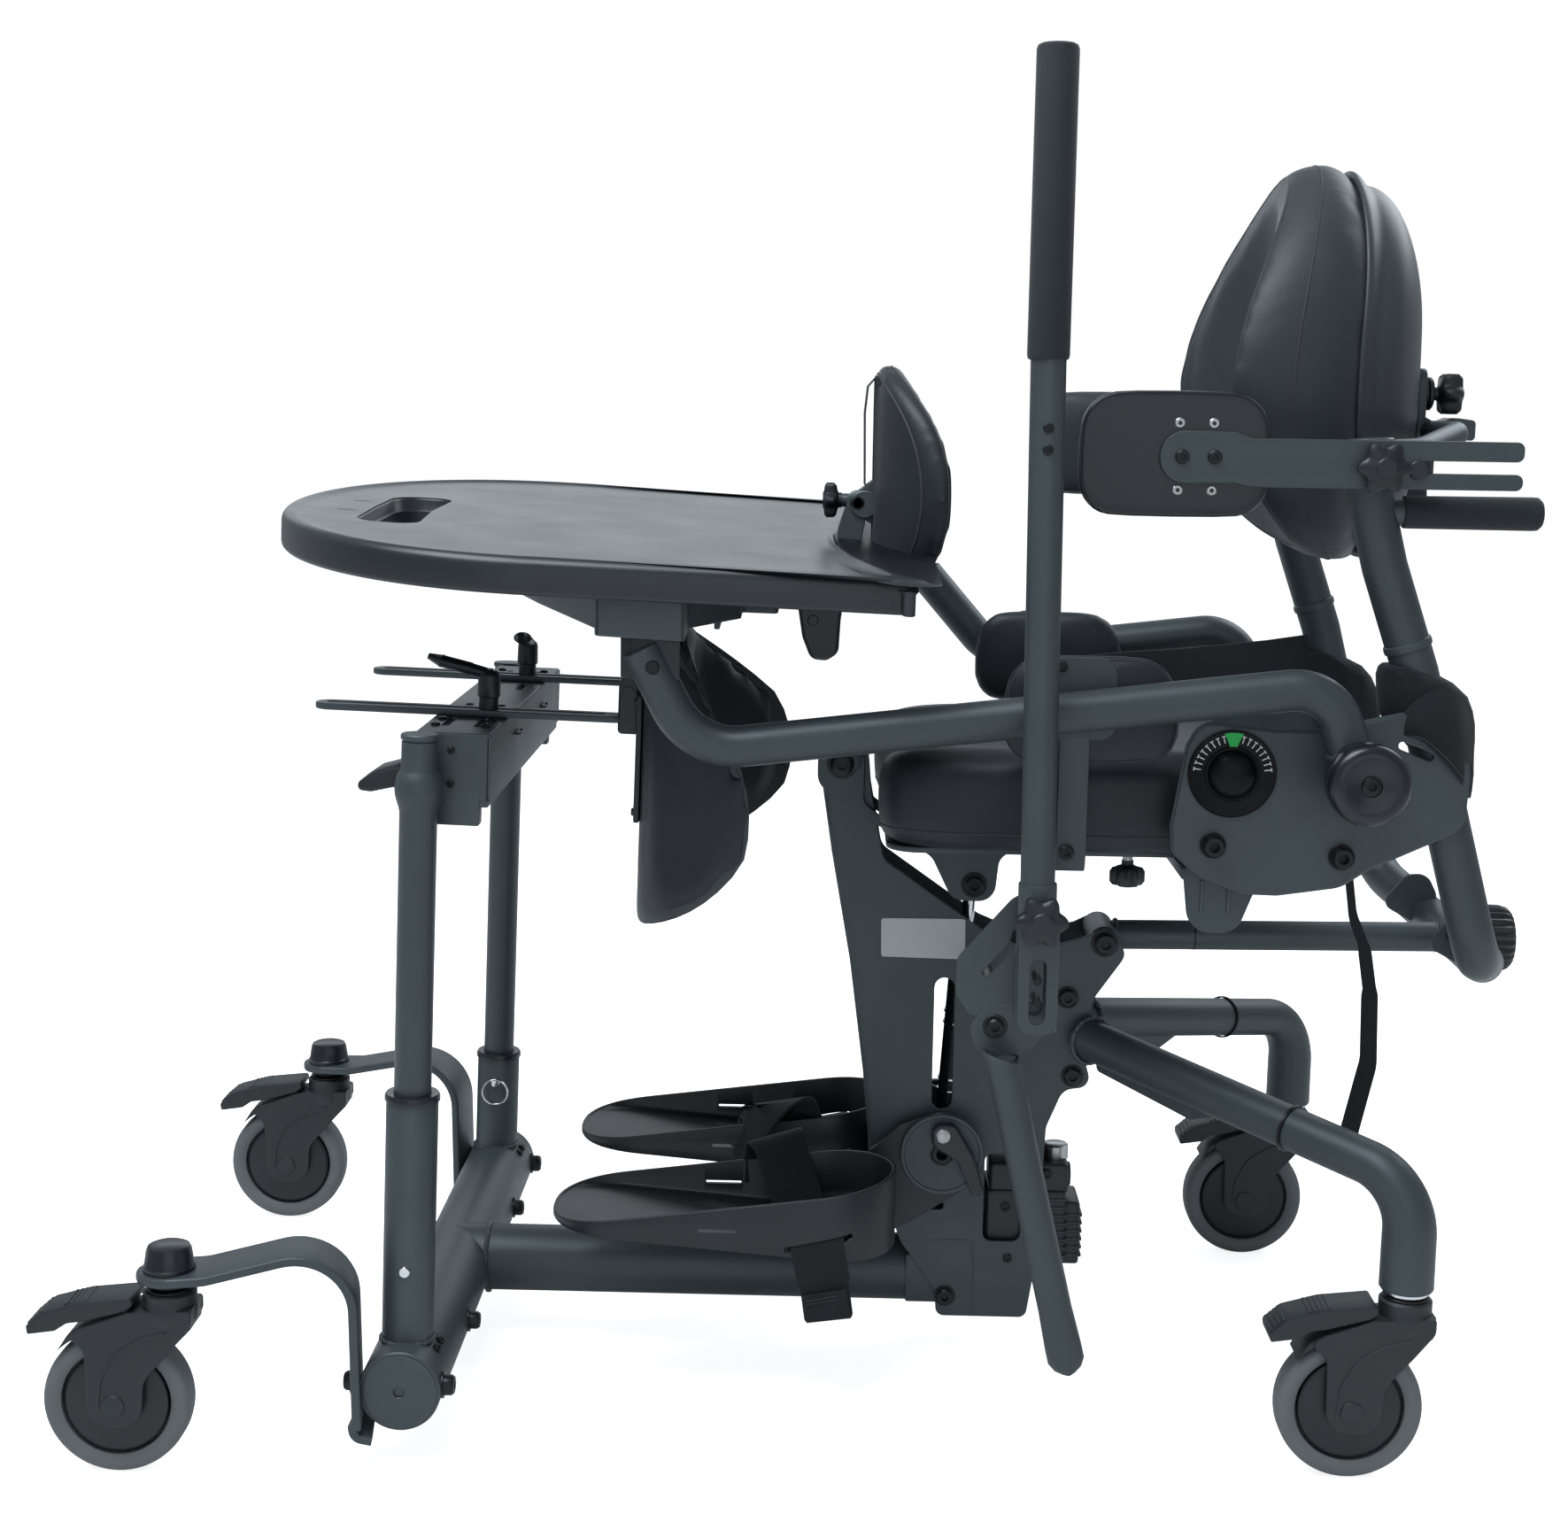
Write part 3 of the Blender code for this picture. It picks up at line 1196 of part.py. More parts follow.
def link_tube():
    """The lower link of the parallelogram, with its pin through the channel's ears."""
    direction = (BACK_PIVOT - LINK_PIVOT).normalized()
    end_point = BACK_PIVOT - direction * (BACK_TUBE_RADIUS + 0.0015)
    bar = rod(LINK_PIVOT + direction * 0.004, end_point, LINK_RADIUS, 12)
    half = SPINE_HALF - SPINE_WALL - GAP
    eye = rod((LINK_PIVOT.x, -half, LINK_PIVOT.z), (LINK_PIVOT.x, half, LINK_PIVOT.z), 0.0150, 16)
    face = SPINE_HALF + GAP
    pin_end = face + 0.007
    pin = rod((LINK_PIVOT.x, -pin_end, LINK_PIVOT.z), (LINK_PIVOT.x, pin_end, LINK_PIVOT.z), PIN_RADIUS, 12)
    pieces = [eye, pin]
    for _, sign in SIDES:
        head = Vector((LINK_PIVOT.x, sign * face, LINK_PIVOT.z))
        pieces.append(rod(head, head + Vector((0, sign * 0.007, 0)), 0.0105, 12))
    part("link_tube", union(bar, *pieces), FRAME_GREY, LINK_PIVOT)


# Tray

def tray_top(x, y):
    return TRAY_TOP + TRAY_PITCH * x + TRAY_ROLL * y


def under_tray(drop):
    return lambda x, y: tray_top(x, y) - drop


def arm_end(sign, path, bend):
    """One tray arm with its pivot boss, the pin into the side plate and the big clamp knob."""
    outer = SIDE_PLATE_Y + SIDE_PLATE_THICK
    arm = tube(path, ARM_RADIUS, bend, 10, 3)
    pivot = Vector((ARM_PIVOT.x, sign * (outer + GAP), ARM_PIVOT.z))
    boss = rod(pivot, (pivot.x, sign * (ARM_Y + ARM_RADIUS + 0.001), pivot.z), 0.0240, 12)
    pin_start = (pivot.x, sign * (SIDE_PLATE_Y + 0.0005), pivot.z)
    pin = rod(pin_start, (pivot.x, sign * ARM_Y, pivot.z), 0.0080, 12)
    knob = turned(
        (
            (0.0, 0.0360), (0.0120, 0.0355), (0.0300, 0.0320), (KNOB_RADIUS, 0.0270),
            (KNOB_RADIUS, 0.0080), (0.0290, 0.0030), (0.0290, 0.0), (0.0, 0.0),
        ),
        (pivot.x, sign * (ARM_Y + ARM_RADIUS), pivot.z),
        (0, sign, 0),
        12,
    )
    return union(arm, boss, pin, knob)


def tray_arms():
    """The near arm reaches forward under the tray; the far one rises to it at the rear."""
    rise = 0.121
    rear = Vector((0.4840, 0.6800))
    front_x = -0.0456
    near = [
        (-0.0840, -ARM_Y, 0.6895),
        (front_x, -ARM_Y, rear.y + (front_x - rear.x) * rise),
        (rear.x, -ARM_Y, rear.y),
        (ARM_PIVOT.x, -ARM_Y, ARM_PIVOT.z),
    ]
    part("tray_arm_left", arm_end(-1, near, 0.060), FRAME_GREY, ARM_PIVOT)
    far = [
        (0.1770, ARM_Y, 0.7190),
        (0.2350, ARM_Y, 0.6500),
        (rear.x, ARM_Y, rear.y),
        (ARM_PIVOT.x, ARM_Y, ARM_PIVOT.z),
    ]
    part("tray_arm_right", arm_end(1, far, 0.050), FRAME_GREY, ARM_PIVOT)

    pan = rounded(
        [
            (-0.232, -0.030), (-0.194, -0.110), (-0.128, -0.2300), ((-0.128, -0.2600), 0.012),
            ((-0.054, -0.2600), 0.012), (-0.054, -0.190), (0.020, -0.120), (0.020, 0.120),
            (0.100, 0.2240), ((0.200, 0.2240), 0.010), ((0.200, 0.2600), 0.010), (-0.054, 0.2600),
            (-0.128, 0.2300), (-0.194, 0.110), (-0.232, 0.030),
        ],
        0.004,
    )
    low = under_tray(TRAY_THICK + 0.0400)
    high = under_tray(TRAY_THICK + GAP)
    pan = slab(pan, low, high)
    core = slab([(-0.150, -0.140), (-0.030, -0.140), (-0.030, 0.140), (-0.150, 0.140)],
                under_tray(TRAY_THICK + 0.004), under_tray(TRAY_SKIN + GAP))
    body = union(pan, core)
    arm_seats = [
        rod((-0.0840 - 0.0204, -ARM_Y, 0.6895 + 0.0390), (-0.0456, -ARM_Y, 0.6158), ARM_RADIUS + RUNNING, 12),
        rod((0.1513, ARM_Y, 0.7495), (0.2350, ARM_Y, 0.6500), ARM_RADIUS + RUNNING, 12),
    ]
    part("tray_carrier", cut(body, *arm_seats), FRAME_GREY, ARM_PIVOT)


def tray_outline(inset=0.0):
    """The tray in plan: a round front, straight sides, two horns and the cut-out for the body."""
    half = TRAY_HALF - inset
    front = TRAY_FRONT + inset
    straight = -0.190
    points = []
    for step in range(15):
        angle = math.pi * step / 14
        points.append((straight - (straight - front) * math.sin(angle) ** 0.9, -half * math.cos(angle)))
    horn_x = 0.131 - inset
    far_side = [
        (0.095, half), (horn_x - 0.004, half - 0.012), (horn_x, half - 0.030), (horn_x - 0.010, 0.250),
        (0.093 - inset, 0.160), (0.077 - inset, 0.080),
    ]
    middle = [(0.072 - inset, 0.0)]
    near_side = [(x, -y) for x, y in far_side[::-1]]
    return points + far_side + middle + near_side


def tray():
    """The moulded tray with its rim, hand slot and the bars that carry the chest pad."""
    body = slab(tray_outline(), under_tray(TRAY_THICK), under_tray(0.0))
    hollow = slab(tray_outline(0.006), under_tray(TRAY_THICK + 0.02), under_tray(TRAY_SKIN))
    slot = level(slot_loop((-0.331, -0.055), (-0.331, 0.055), 0.0260, 6), 0.5, 1.0)
    body = cut(body, hollow, slot)
    bars = []
    for _, sign in SIDES:
        outline = rounded(
            [
                (0.0700, 0.7620), (0.0860, 0.7620), (0.0860, 0.8000), ((0.1000, 0.8240), 0.006),
                ((0.0860, 0.8240), 0.006), (0.0740, 0.8050), (0.0700, 0.7800),
            ],
            0.0,
        )
        bars.append(upright(outline, *sorted((sign * 0.0165, sign * 0.0200)), ((0.0900, 0.8150, 0.0056),)))
    part("tray", union(body, *bars), TRAY_PLASTIC)


def chest_pad():
    """The curved chest pad with its hinge barrel, pin and clamp knob."""
    hinge = Vector((0.0900, 0.0, 0.8150))
    outline = [
        (0.720, 0.040), (0.770, 0.108), (0.876, 0.108), (0.938, 0.040),
        (0.938, -0.040), (0.876, -0.108), (0.770, -0.108), (0.720, -0.040),
    ]
    turn = Matrix(((0, 0, 1, 0), (0, 1, 0, 0), (1, 0, 0, 0), (0, 0, 0, 1)))

    def wrap(_, across, __):
        return 4.0 * across ** 2

    body = pad(outline, 0.034, 0.008, Matrix.Translation((0.1040, 0, 0)) @ turn, wrap)
    barrel = rod((hinge.x, -0.0160, hinge.z), (hinge.x, 0.0160, hinge.z), 0.0110, 12)
    web = box((hinge.x, -0.0150, hinge.z - 0.009), (0.1080, 0.0150, hinge.z + 0.009))
    pin = rod((hinge.x, -0.0230, hinge.z), (hinge.x, 0.0230, hinge.z), 0.0050, 12)
    stem = rod((0.0700, 0.0, hinge.z + 0.002), (hinge.x, 0.0, hinge.z + 0.002), 0.0050, 8)
    knob = turned(
        (
            (0.0, 0.0160), (0.0120, 0.0160), (0.0150, 0.0130), (0.0150, 0.0050), (0.0120, 0.0010), (0.0, 0.0),
        ),
        (0.0590, 0.0, hinge.z + 0.002),
        (1, 0, 0),
        12,
    )
    part("chest_pad", union(body, barrel, web, pin, stem, knob), BLACK_VINYL, hinge)


# Pump lever

def pump_lever():
    """The tall pump handle, its bracket and catch plate, the lower tube and the shaft to the pump."""
    y = LEVER_Y
    upper = tube([(0.2430, y, 0.4000), (0.2420, y, 0.5200), (0.2370, y, 0.9440)], LEVER_RADIUS)
    grip_path = [(0.2370, y, 0.9430), (0.2370, y, 1.1800), (0.2371, y, 1.1870)]
    grip = tube(grip_path, GRIP_RADIUS, 0.0, 10, 1, 0.0150)
    bracket = box((0.2270, y - 0.0165, 0.3920), (0.2600, y + 0.0165, 0.4690))
    lower_start = Vector((0.2160, y, 0.3700))
    lower_end = Vector((0.2820, y, 0.0920))
    lower = tube([lower_start, lower_end], LEVER_RADIUS)
    foot = rod(lower_end - Vector((0, 0.006, 0)), lower_end + Vector((0, 0.006, 0)), 0.0143, 12)
    inner = y + 0.0165
    lobe_outline = rounded(
        [
            ((0.1930, 0.3720), 0.016), ((0.2050, 0.3560), 0.010), ((0.2330, 0.3600), 0.010),
            (0.2440, 0.4000), (0.2400, 0.4200), ((0.2000, 0.4100), 0.016),
        ],
        0.0,
    )
    lobe = upright(lobe_outline, inner - 0.018, inner + 0.001)
    catch_outline = rounded(
        [
            (0.1890, 0.3890), (0.2620, 0.3890), (0.2645, 0.4930), (0.2530, 0.5040),
            (0.2257, 0.4950), (0.1840, 0.4465), (0.1800, 0.4375),
        ],
        0.003,
    )
    catch = upright(catch_outline, inner - 0.001, inner + 0.004)
    slot = upright(slot_loop((0.1990, 0.4250), (0.2060, 0.4620), 0.0030), inner - 0.01, inner + 0.02)
    shaft = rod(
        (LEVER_PIVOT.x, inner + 0.003, LEVER_PIVOT.z),
        (LEVER_PIVOT.x, -SPINE_HALF + SPINE_WALL + 0.002, LEVER_PIVOT.z),
        SHAFT_RADIUS,
        12,
    )
    head = bolt((LEVER_PIVOT.x, inner - 0.018, LEVER_PIVOT.z), (0, -1, 0), 0.0090, 0.006)
    star = turned(
        (
            (0.0, 0.0200), (0.0190, 0.0190), (0.0220, 0.0150), (0.0210, 0.0060),
            (0.0090, 0.0050), (0.0090, -0.002), (0.0, -0.002),
        ),
        (0.2440, y - 0.0140, 0.4900),
        (0, -1, 0),
        10,
    )
    body = union(upper, grip, bracket, lower, foot, lobe, cut(catch, slot), shaft, head, star)
    part("pump_lever", body, FRAME_GREY, LEVER_PIVOT)


# Sandals

def foot_low(x, _):
    """The underside of a sandal."""
    return 0.1546 - 0.0817 * x


def foot_high(x, _):
    """The rim of a sandal, higher at the heel."""
    return 0.1980 + 0.1290 * x


def foot_outline(side_y, inset):
    """A sandal's outline, round at both ends, drawn in by the inset."""
    half = FOOT_HALF - inset
    heel_x = 0.1363 - inset - half
    toe_x = -0.1775 + inset + half
    heel = [(heel_x + half * math.cos(math.radians(a)), side_y + half * math.sin(math.radians(a)))
            for a in range(-90, 91, 30)]
    toe = [(toe_x + half * math.cos(math.radians(a)), side_y + half * math.sin(math.radians(a)))
           for a in range(90, 271, 30)]
    return heel + toe


def sandals():
    """Each sandal with its heel arm, the clamp disc on the channel and the cam lever."""
    for side, sign in SIDES:
        y = sign * FOOT_Y
        shell = slab(foot_outline(y, 0.0), foot_low, foot_high)
        inside = slab(foot_outline(y, 0.004), lambda x, y: foot_low(x, y) + 0.006, lambda x, y: 0.30)
        reach = FOOT_HALF + 0.010
        strap_hole = box((0.0360, y - reach, 0.1600), (0.0970, y + reach, 0.1670))
        shell = cut(shell, inside, strap_hole)
        boss = SPINE_HALF + 0.010 + GAP
        arm_ends = sorted((sign * boss, sign * (boss + 0.006)))
        outline = rounded(
            [
                (0.1130, 0.1600), (0.1130, 0.2090), (0.1415, 0.2350),
                ((FOOT_PIVOT.x - 0.0100, FOOT_PIVOT.z + 0.0380), 0.020),
                ((FOOT_PIVOT.x + 0.0320, FOOT_PIVOT.z + 0.0200), 0.025),
                ((FOOT_PIVOT.x + 0.0220, FOOT_PIVOT.z - 0.0360), 0.020),
                (0.1540, 0.1400), (0.1350, 0.1300),
            ],
            0.004,
        )
        arm = upright(outline, *arm_ends)
        block_ends = sorted((sign * (boss + 0.001), sign * (FOOT_Y - FOOT_HALF * 0.60)))
        block = box((0.1150, block_ends[0], 0.1500), (0.1280, block_ends[1], 0.1980))
        heel_ends = sorted((sign * (boss + 0.001), sign * FOOT_Y))
        heel = box((0.1315, heel_ends[0], 0.1450), (0.1365, heel_ends[1], 0.1900))
        disc_y = sign * (boss + 0.005)
        disc = rod(
            (FOOT_PIVOT.x, disc_y, FOOT_PIVOT.z),
            (FOOT_PIVOT.x, sign * (boss + 0.012), FOOT_PIVOT.z),
            CLAMP_RADIUS,
            20,
        )
        body = union(shell, arm, block, heel, disc)
        part(f"footplate_{side}", body, BLACK_PLASTIC, FOOT_PIVOT)

        face = boss + 0.012 + GAP
        hinge = Vector((0.1810, sign * face, 0.2290))
        lever_outline = rounded(
            [
                ((hinge.x - 0.0110, hinge.z + 0.0100), 0.010), ((hinge.x + 0.0110, hinge.z + 0.0110), 0.010),
                (0.2100, 0.2100), ((0.2215, 0.1750), 0.006), ((0.2105, 0.1680), 0.006), (0.1950, 0.2040),
                ((hinge.x - 0.0100, hinge.z - 0.0100), 0.010),
            ],
            0.004,
        )
        lever = upright(lever_outline, *sorted((hinge.y, hinge.y + sign * 0.009)))
        screw = bolt((hinge.x, hinge.y + sign * 0.009, hinge.z), (0, sign, 0), 0.0050, 0.003)
        part(f"foot_lever_{side}", union(lever, screw), BLACK_PLASTIC, hinge)


def main():
    casters()
    base_frame()
    caster_arms()
    rear_legs()
    spine()
    pump_unit()
    knee_support()
    knee_pads()
    seat_frame()
    seat_cushion()
    hip_supports()
    actuator()
    side_plates()
    back_tube()
    back_support()
    laterals()
    link_tube()
    tray_arms()
    tray()
    chest_pad()
    pump_lever()
    sandals()


main()
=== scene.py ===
"""The looks of the standing frame: camera, light, materials and a detailed mesh for every piece.

Metres, +Z up, the user faces -X. Lengths along X are set out from the middle of the wheelbase, as
in the construction, and SHIFT takes them to the frame's own origin.
"""

import math

import bmesh
import bpy
from mathutils import Matrix, Vector, noise
from mathutils.bvhtree import BVHTree


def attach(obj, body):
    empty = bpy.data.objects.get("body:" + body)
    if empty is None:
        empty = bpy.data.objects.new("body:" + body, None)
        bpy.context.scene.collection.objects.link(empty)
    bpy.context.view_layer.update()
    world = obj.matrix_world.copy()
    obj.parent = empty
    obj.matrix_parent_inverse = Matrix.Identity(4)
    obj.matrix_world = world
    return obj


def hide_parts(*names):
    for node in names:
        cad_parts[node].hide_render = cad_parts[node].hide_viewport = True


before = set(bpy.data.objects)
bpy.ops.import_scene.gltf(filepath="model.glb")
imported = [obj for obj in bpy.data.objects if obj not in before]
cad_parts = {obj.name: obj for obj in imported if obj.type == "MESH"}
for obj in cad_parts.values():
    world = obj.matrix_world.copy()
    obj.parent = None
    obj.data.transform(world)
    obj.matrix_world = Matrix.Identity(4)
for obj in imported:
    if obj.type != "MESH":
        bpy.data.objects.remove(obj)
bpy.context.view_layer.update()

SHIFT = Matrix.Translation((-0.0614, 0.0, 0.0))
SIDES = (("left", -1), ("right", 1))
GAP = 0.0003


def linked(name, data):
    """A new object of the scene."""
    obj = bpy.data.objects.new(name, data)
    bpy.context.scene.collection.objects.link(obj)
    return obj


def evaluated(obj):
    """The mesh of an object after its modifiers."""
    bpy.context.view_layer.update()
    return bpy.data.meshes.new_from_object(obj.evaluated_get(bpy.context.evaluated_depsgraph_get()))


# Camera: fitted to the photograph

def set_camera():
    position = SHIFT @ Vector((0.0704, -2.1732, 0.9107))
    yaw, pitch, roll = -0.0207934, 0.1533478, -0.0154334
    ahead = Vector((math.sin(yaw) * math.cos(pitch), math.cos(yaw) * math.cos(pitch), -math.sin(pitch)))
    right = Vector((math.cos(yaw), -math.sin(yaw), 0.0))
    down = ahead.cross(right)
    across = math.cos(roll) * right + math.sin(roll) * down
    below = -math.sin(roll) * right + math.cos(roll) * down
    data = bpy.data.cameras.new("camera")
    data.sensor_width = 36.0
    data.lens = 53.49
    data.clip_start = 0.05
    camera = linked("camera", data)
    turn = Matrix((across, -below, -ahead)).transposed().to_4x4()
    camera.matrix_world = Matrix.Translation(position) @ turn
    bpy.context.scene.camera = camera


set_camera()


# Light and floor

LAMP_COLOUR = (0.86, 0.94, 1.0)


def lamp(name, place, target, size, power):
    data = bpy.data.lights.new(name, "AREA")
    data.shape = "RECTANGLE"
    data.size, data.size_y = size
    data.energy = power
    data.color = LAMP_COLOUR
    obj = linked(name, data)
    place = Vector(place)
    turn = (Vector(target) - place).to_track_quat("-Z", "Y").to_matrix().to_4x4()
    obj.matrix_world = Matrix.Translation(place) @ turn


def camera_white(tree, shader, output, white):
    """Mixes a plain white, for camera and transmission rays, over what lights the scene."""
    path = tree.nodes.new("ShaderNodeLightPath")
    either = tree.nodes.new("ShaderNodeMath")
    either.operation = "MAXIMUM"
    tree.links.new(path.outputs["Is Camera Ray"], either.inputs[0])
    tree.links.new(path.outputs["Is Transmission Ray"], either.inputs[1])
    mix = tree.nodes.new("ShaderNodeMixShader")
    tree.links.new(either.outputs[0], mix.inputs[0])
    tree.links.new(shader.outputs[0], mix.inputs[1])
    tree.links.new(white.outputs[0], mix.inputs[2])
    tree.links.new(mix.outputs[0], output.inputs["Surface"])


def set_light():
    scene = bpy.context.scene
    scene.view_settings.view_transform = "Standard"
    world = bpy.data.worlds.new("studio")
    scene.world = world
    world.use_nodes = True
    tree = world.node_tree
    light = tree.nodes["Background"]
    light.inputs["Color"].default_value = (*LAMP_COLOUR, 1.0)
    light.inputs["Strength"].default_value = 0.4
    white = tree.nodes.new("ShaderNodeBackground")
    white.inputs["Color"].default_value = (1.0, 1.0, 1.0, 1.0)
    white.inputs["Strength"].default_value = 1.0
    camera_white(tree, light, tree.nodes["World Output"], white)
    lamp("key", (-0.9, -0.9, 3.1), (0.0, 0.0, 0.5), (2.2, 1.6), 88)
    lamp("rim", (1.9, 1.6, 2.4), (0.0, 0.0, 0.6), (1.6, 1.6), 30)
    lamp("behind", (-0.3, 3.2, 1.75), (-0.1, 0.0, 0.75), (3.6, 1.1), 13)
    lamp("front", (0.4, -3.4, 1.1), (0.0, 0.0, 0.5), (2.6, 1.4), 9)


def set_floor():
    shape = bmesh.new()
    bmesh.ops.create_grid(shape, x_segments=1, y_segments=1, size=30.0)
    floor = linked("floor", mesh_from(shape, "floor"))
    material = bpy.data.materials.new("floor")
    material.use_nodes = True
    tree = material.node_tree
    shader = tree.nodes["Principled BSDF"]
    shader.inputs["Base Color"].default_value = (0.9, 0.9, 0.9, 1.0)
    shader.inputs["Roughness"].default_value = 0.9
    shader.inputs["Specular IOR Level"].default_value = 0.1
    path = tree.nodes.new("ShaderNodeLightPath")
    glow = tree.nodes.new("ShaderNodeMath")
    glow.operation = "MULTIPLY"
    glow.inputs[1].default_value = 0.8
    tree.links.new(path.outputs["Is Camera Ray"], glow.inputs[0])
    tree.links.new(glow.outputs[0], shader.inputs["Emission Strength"])
    shader.inputs["Emission Color"].default_value = (1.0, 1.0, 1.0, 1.0)
    floor.data.materials.append(material)


# Materials

def surface(name, colour, roughness, metallic=0.0, grain=900.0, bump=0.12, mottle=0.1, edge_wear_and_highlight=0.0, sheen=0.0,
            specular=0.5, pattern="noise"):
    """A node material: fine grain in its relief, soft mottling of its colour, and paler sharp edges, partly
    rubbed wear and partly a painted highlight.
    """
    material = bpy.data.materials.new(name)
    material.use_nodes = True
    nodes, join = material.node_tree.nodes, material.node_tree.links.new
    shader = nodes["Principled BSDF"]

    def fill(node, **values):
        for key, value in values.items():
            node.inputs[key.replace("_", " ")].default_value = value

    def add(kind, source=None, socket="Vector", **values):
        node = nodes.new("ShaderNode" + kind)
        fill(node, **values)
        if source is not None:
            join(source, node.inputs[socket])
        return node

    fill(shader, Metallic=metallic, Specular_IOR_Level=specular, Sheen_Weight=sheen, Coat_Weight=0.0)
    place = add("TexCoord").outputs["Object"]
    broad = add("TexNoise", place, Scale=14.0, Detail=4.0).outputs["Fac"]
    ramp = add("ValToRGB", broad, "Fac")
    for end, position, share in ((0, 0.32, 1.0 - mottle), (1, 0.68, 1.0 + mottle)):
        ramp.color_ramp.elements[end].position = position
        ramp.color_ramp.elements[end].color = (*[min(1.0, c * share) for c in colour], 1.0)
    tint = ramp.outputs["Color"]
    # Sharp edges painted paler: partly rubbed wear, partly a painted highlight along them.
    if edge_wear_and_highlight > 0.0:
        pointed = add("NewGeometry").outputs["Pointiness"]
        level = add("MapRange", pointed, "Value", From_Min=0.52, From_Max=0.64, To_Max=edge_wear_and_highlight)
        mix = nodes.new("ShaderNodeMix")
        mix.data_type = "RGBA"
        mix.inputs[7].default_value = (*[min(1.0, c * 1.9 + 0.02) for c in colour], 1.0)
        join(level.outputs["Result"], mix.inputs[0])
        join(tint, mix.inputs[6])
        tint = mix.outputs[2]
    join(tint, shader.inputs["Base Color"])

    spread = add("MapRange", broad, "Value", To_Min=max(0.04, roughness - 0.07),
                 To_Max=min(1.0, roughness + 0.07))
    join(spread.outputs["Result"], shader.inputs["Roughness"])

    relief = add("Bump", Strength=bump, Distance=0.0006)
    if pattern == "weave":
        height = nodes.new("ShaderNodeMath")
        height.operation = "MULTIPLY"
        for socket, direction in enumerate(("X", "Z")):
            wave = add("TexWave", place, Scale=grain, Distortion=0.6)
            wave.bands_direction = direction
            join(wave.outputs["Fac"], height.inputs[socket])
        height = height.outputs[0]
    elif pattern == "hide":
        height = add("TexVoronoi", place, Scale=grain).outputs["Distance"]
    else:
        height = add("TexNoise", place, Scale=grain, Detail=3.0).outputs["Fac"]
    join(height, relief.inputs["Height"])
    join(relief.outputs["Normal"], shader.inputs["Normal"])
    return material


PAINT = surface("frame_paint", (0.045, 0.058, 0.064), 0.44, 0.3, 1500.0, 0.16, 0.07, 0.35)
PLASTIC = surface("black_plastic", (0.0066, 0.0088, 0.0112), 0.42, 0.0, 1300.0, 0.14, 0.12, 0.25)
SATIN = surface("satin_plastic", (0.0064, 0.0084, 0.011), 0.28, 0.0, 700.0, 0.05, 0.1, 0.2)
NYLON = surface("fork_nylon", (0.0118, 0.015, 0.0172), 0.5, 0.0, 1100.0, 0.18, 0.1, 0.3)
TREAD = surface("tyre_grey", (0.115, 0.123, 0.128), 0.62, 0.0, 900.0, 0.2, 0.12, 0.2)
TRAY_SKIN = surface("tray_plastic", (0.01, 0.0132, 0.0162), 0.34, 0.0, 1900.0, 0.14, 0.1, 0.5, 0.0, 0.55)
VINYL = surface("black_vinyl", (0.0098, 0.0132, 0.0175), 0.48, 0.0, 620.0, 0.16, 0.14, 0.15, 0.05, 0.4, "hide")
SOFT_VINYL = surface("body_vinyl", (0.0215, 0.027, 0.033), 0.52, 0.0, 620.0, 0.16, 0.14, 0.15, 0.05, 0.42,
                     "hide")
SEAM = surface("seam_thread", (0.03, 0.032, 0.035), 0.65, 0.0, 1500.0, 0.3, 0.1)
WEBBING = surface("webbing", (0.0085, 0.0108, 0.013), 0.8, 0.0, 330.0, 0.6, 0.15, 0.0, 0.08, 0.3, "weave")
FUZZ = surface("loop_fabric", (0.01, 0.013, 0.017), 0.95, 0.0, 1400.0, 0.95, 0.35, 0.0, 0.06, 0.1)
FOAM = surface("grip_foam", (0.019, 0.023, 0.027), 0.78, 0.0, 1600.0, 0.4, 0.12, 0.0, 0.1, 0.3)
SHELL = surface("shell_black", (0.029, 0.034, 0.0385), 0.42, 0.0, 1500.0, 0.22, 0.1, 0.2)
CHROME = surface("chrome", (0.66, 0.66, 0.67), 0.12, 1.0, 300.0, 0.02, 0.04)
ZINC = surface("zinc", (0.42, 0.42, 0.41), 0.32, 1.0, 500.0, 0.08, 0.12)
BLACK_STEEL = surface("blackened_steel", (0.018, 0.019, 0.02), 0.34, 0.75, 600.0, 0.08, 0.15, 0.3)
LABEL = surface("blank_plate", (0.46, 0.47, 0.48), 0.4, 0.0, 400.0, 0.03, 0.04)
INK = surface("dial_black", (0.0022, 0.0027, 0.0033), 0.34, 0.0, 900.0, 0.03, 0.05, 0.0, 0.0, 0.16)
MARK_WHITE = surface("mark_white", (0.7, 0.71, 0.7), 0.55, 0.0, 900.0, 0.02, 0.03)
MARK_GREEN = surface("mark_green", (0.01, 0.42, 0.075), 0.5, 0.0, 900.0, 0.02, 0.05)


# Shaping tools: each gives a mesh

def mesh_from(shape, name):
    mesh = bpy.data.meshes.new(name)
    shape.to_mesh(mesh)
    shape.free()
    return mesh


def finished(shape, name, placing=None):
    """The mesh of a closed shape whose faces all look outwards."""
    bmesh.ops.recalc_face_normals(shape, faces=shape.faces)
    if placing is not None:
        shape.transform(placing)
    return mesh_from(shape, name)


def bridge(shape, rings):
    """Faces between each ring of vertices and the next one."""
    for upper, lower in zip(rings, rings[1:]):
        for index in range(len(upper)):
            after = (index + 1) % len(upper)
            shape.faces.new((upper[index], upper[after], lower[after], lower[index]))


def skirt(rings, close=True):
    """A surface through rings of equal count; the first and last are filled when it is closed."""
    shape = bmesh.new()
    loops = [[shape.verts.new(point) for point in points] for points in rings]
    bridge(shape, loops)
    if close:
        shape.faces.new(loops[0])
        shape.faces.new(loops[-1][::-1])
    return finished(shape, "skirt")


def joined(meshes):
    shape = bmesh.new()
    for mesh in meshes:
        shape.from_mesh(mesh)
        bpy.data.meshes.remove(mesh)
    return mesh_from(shape, "joined")


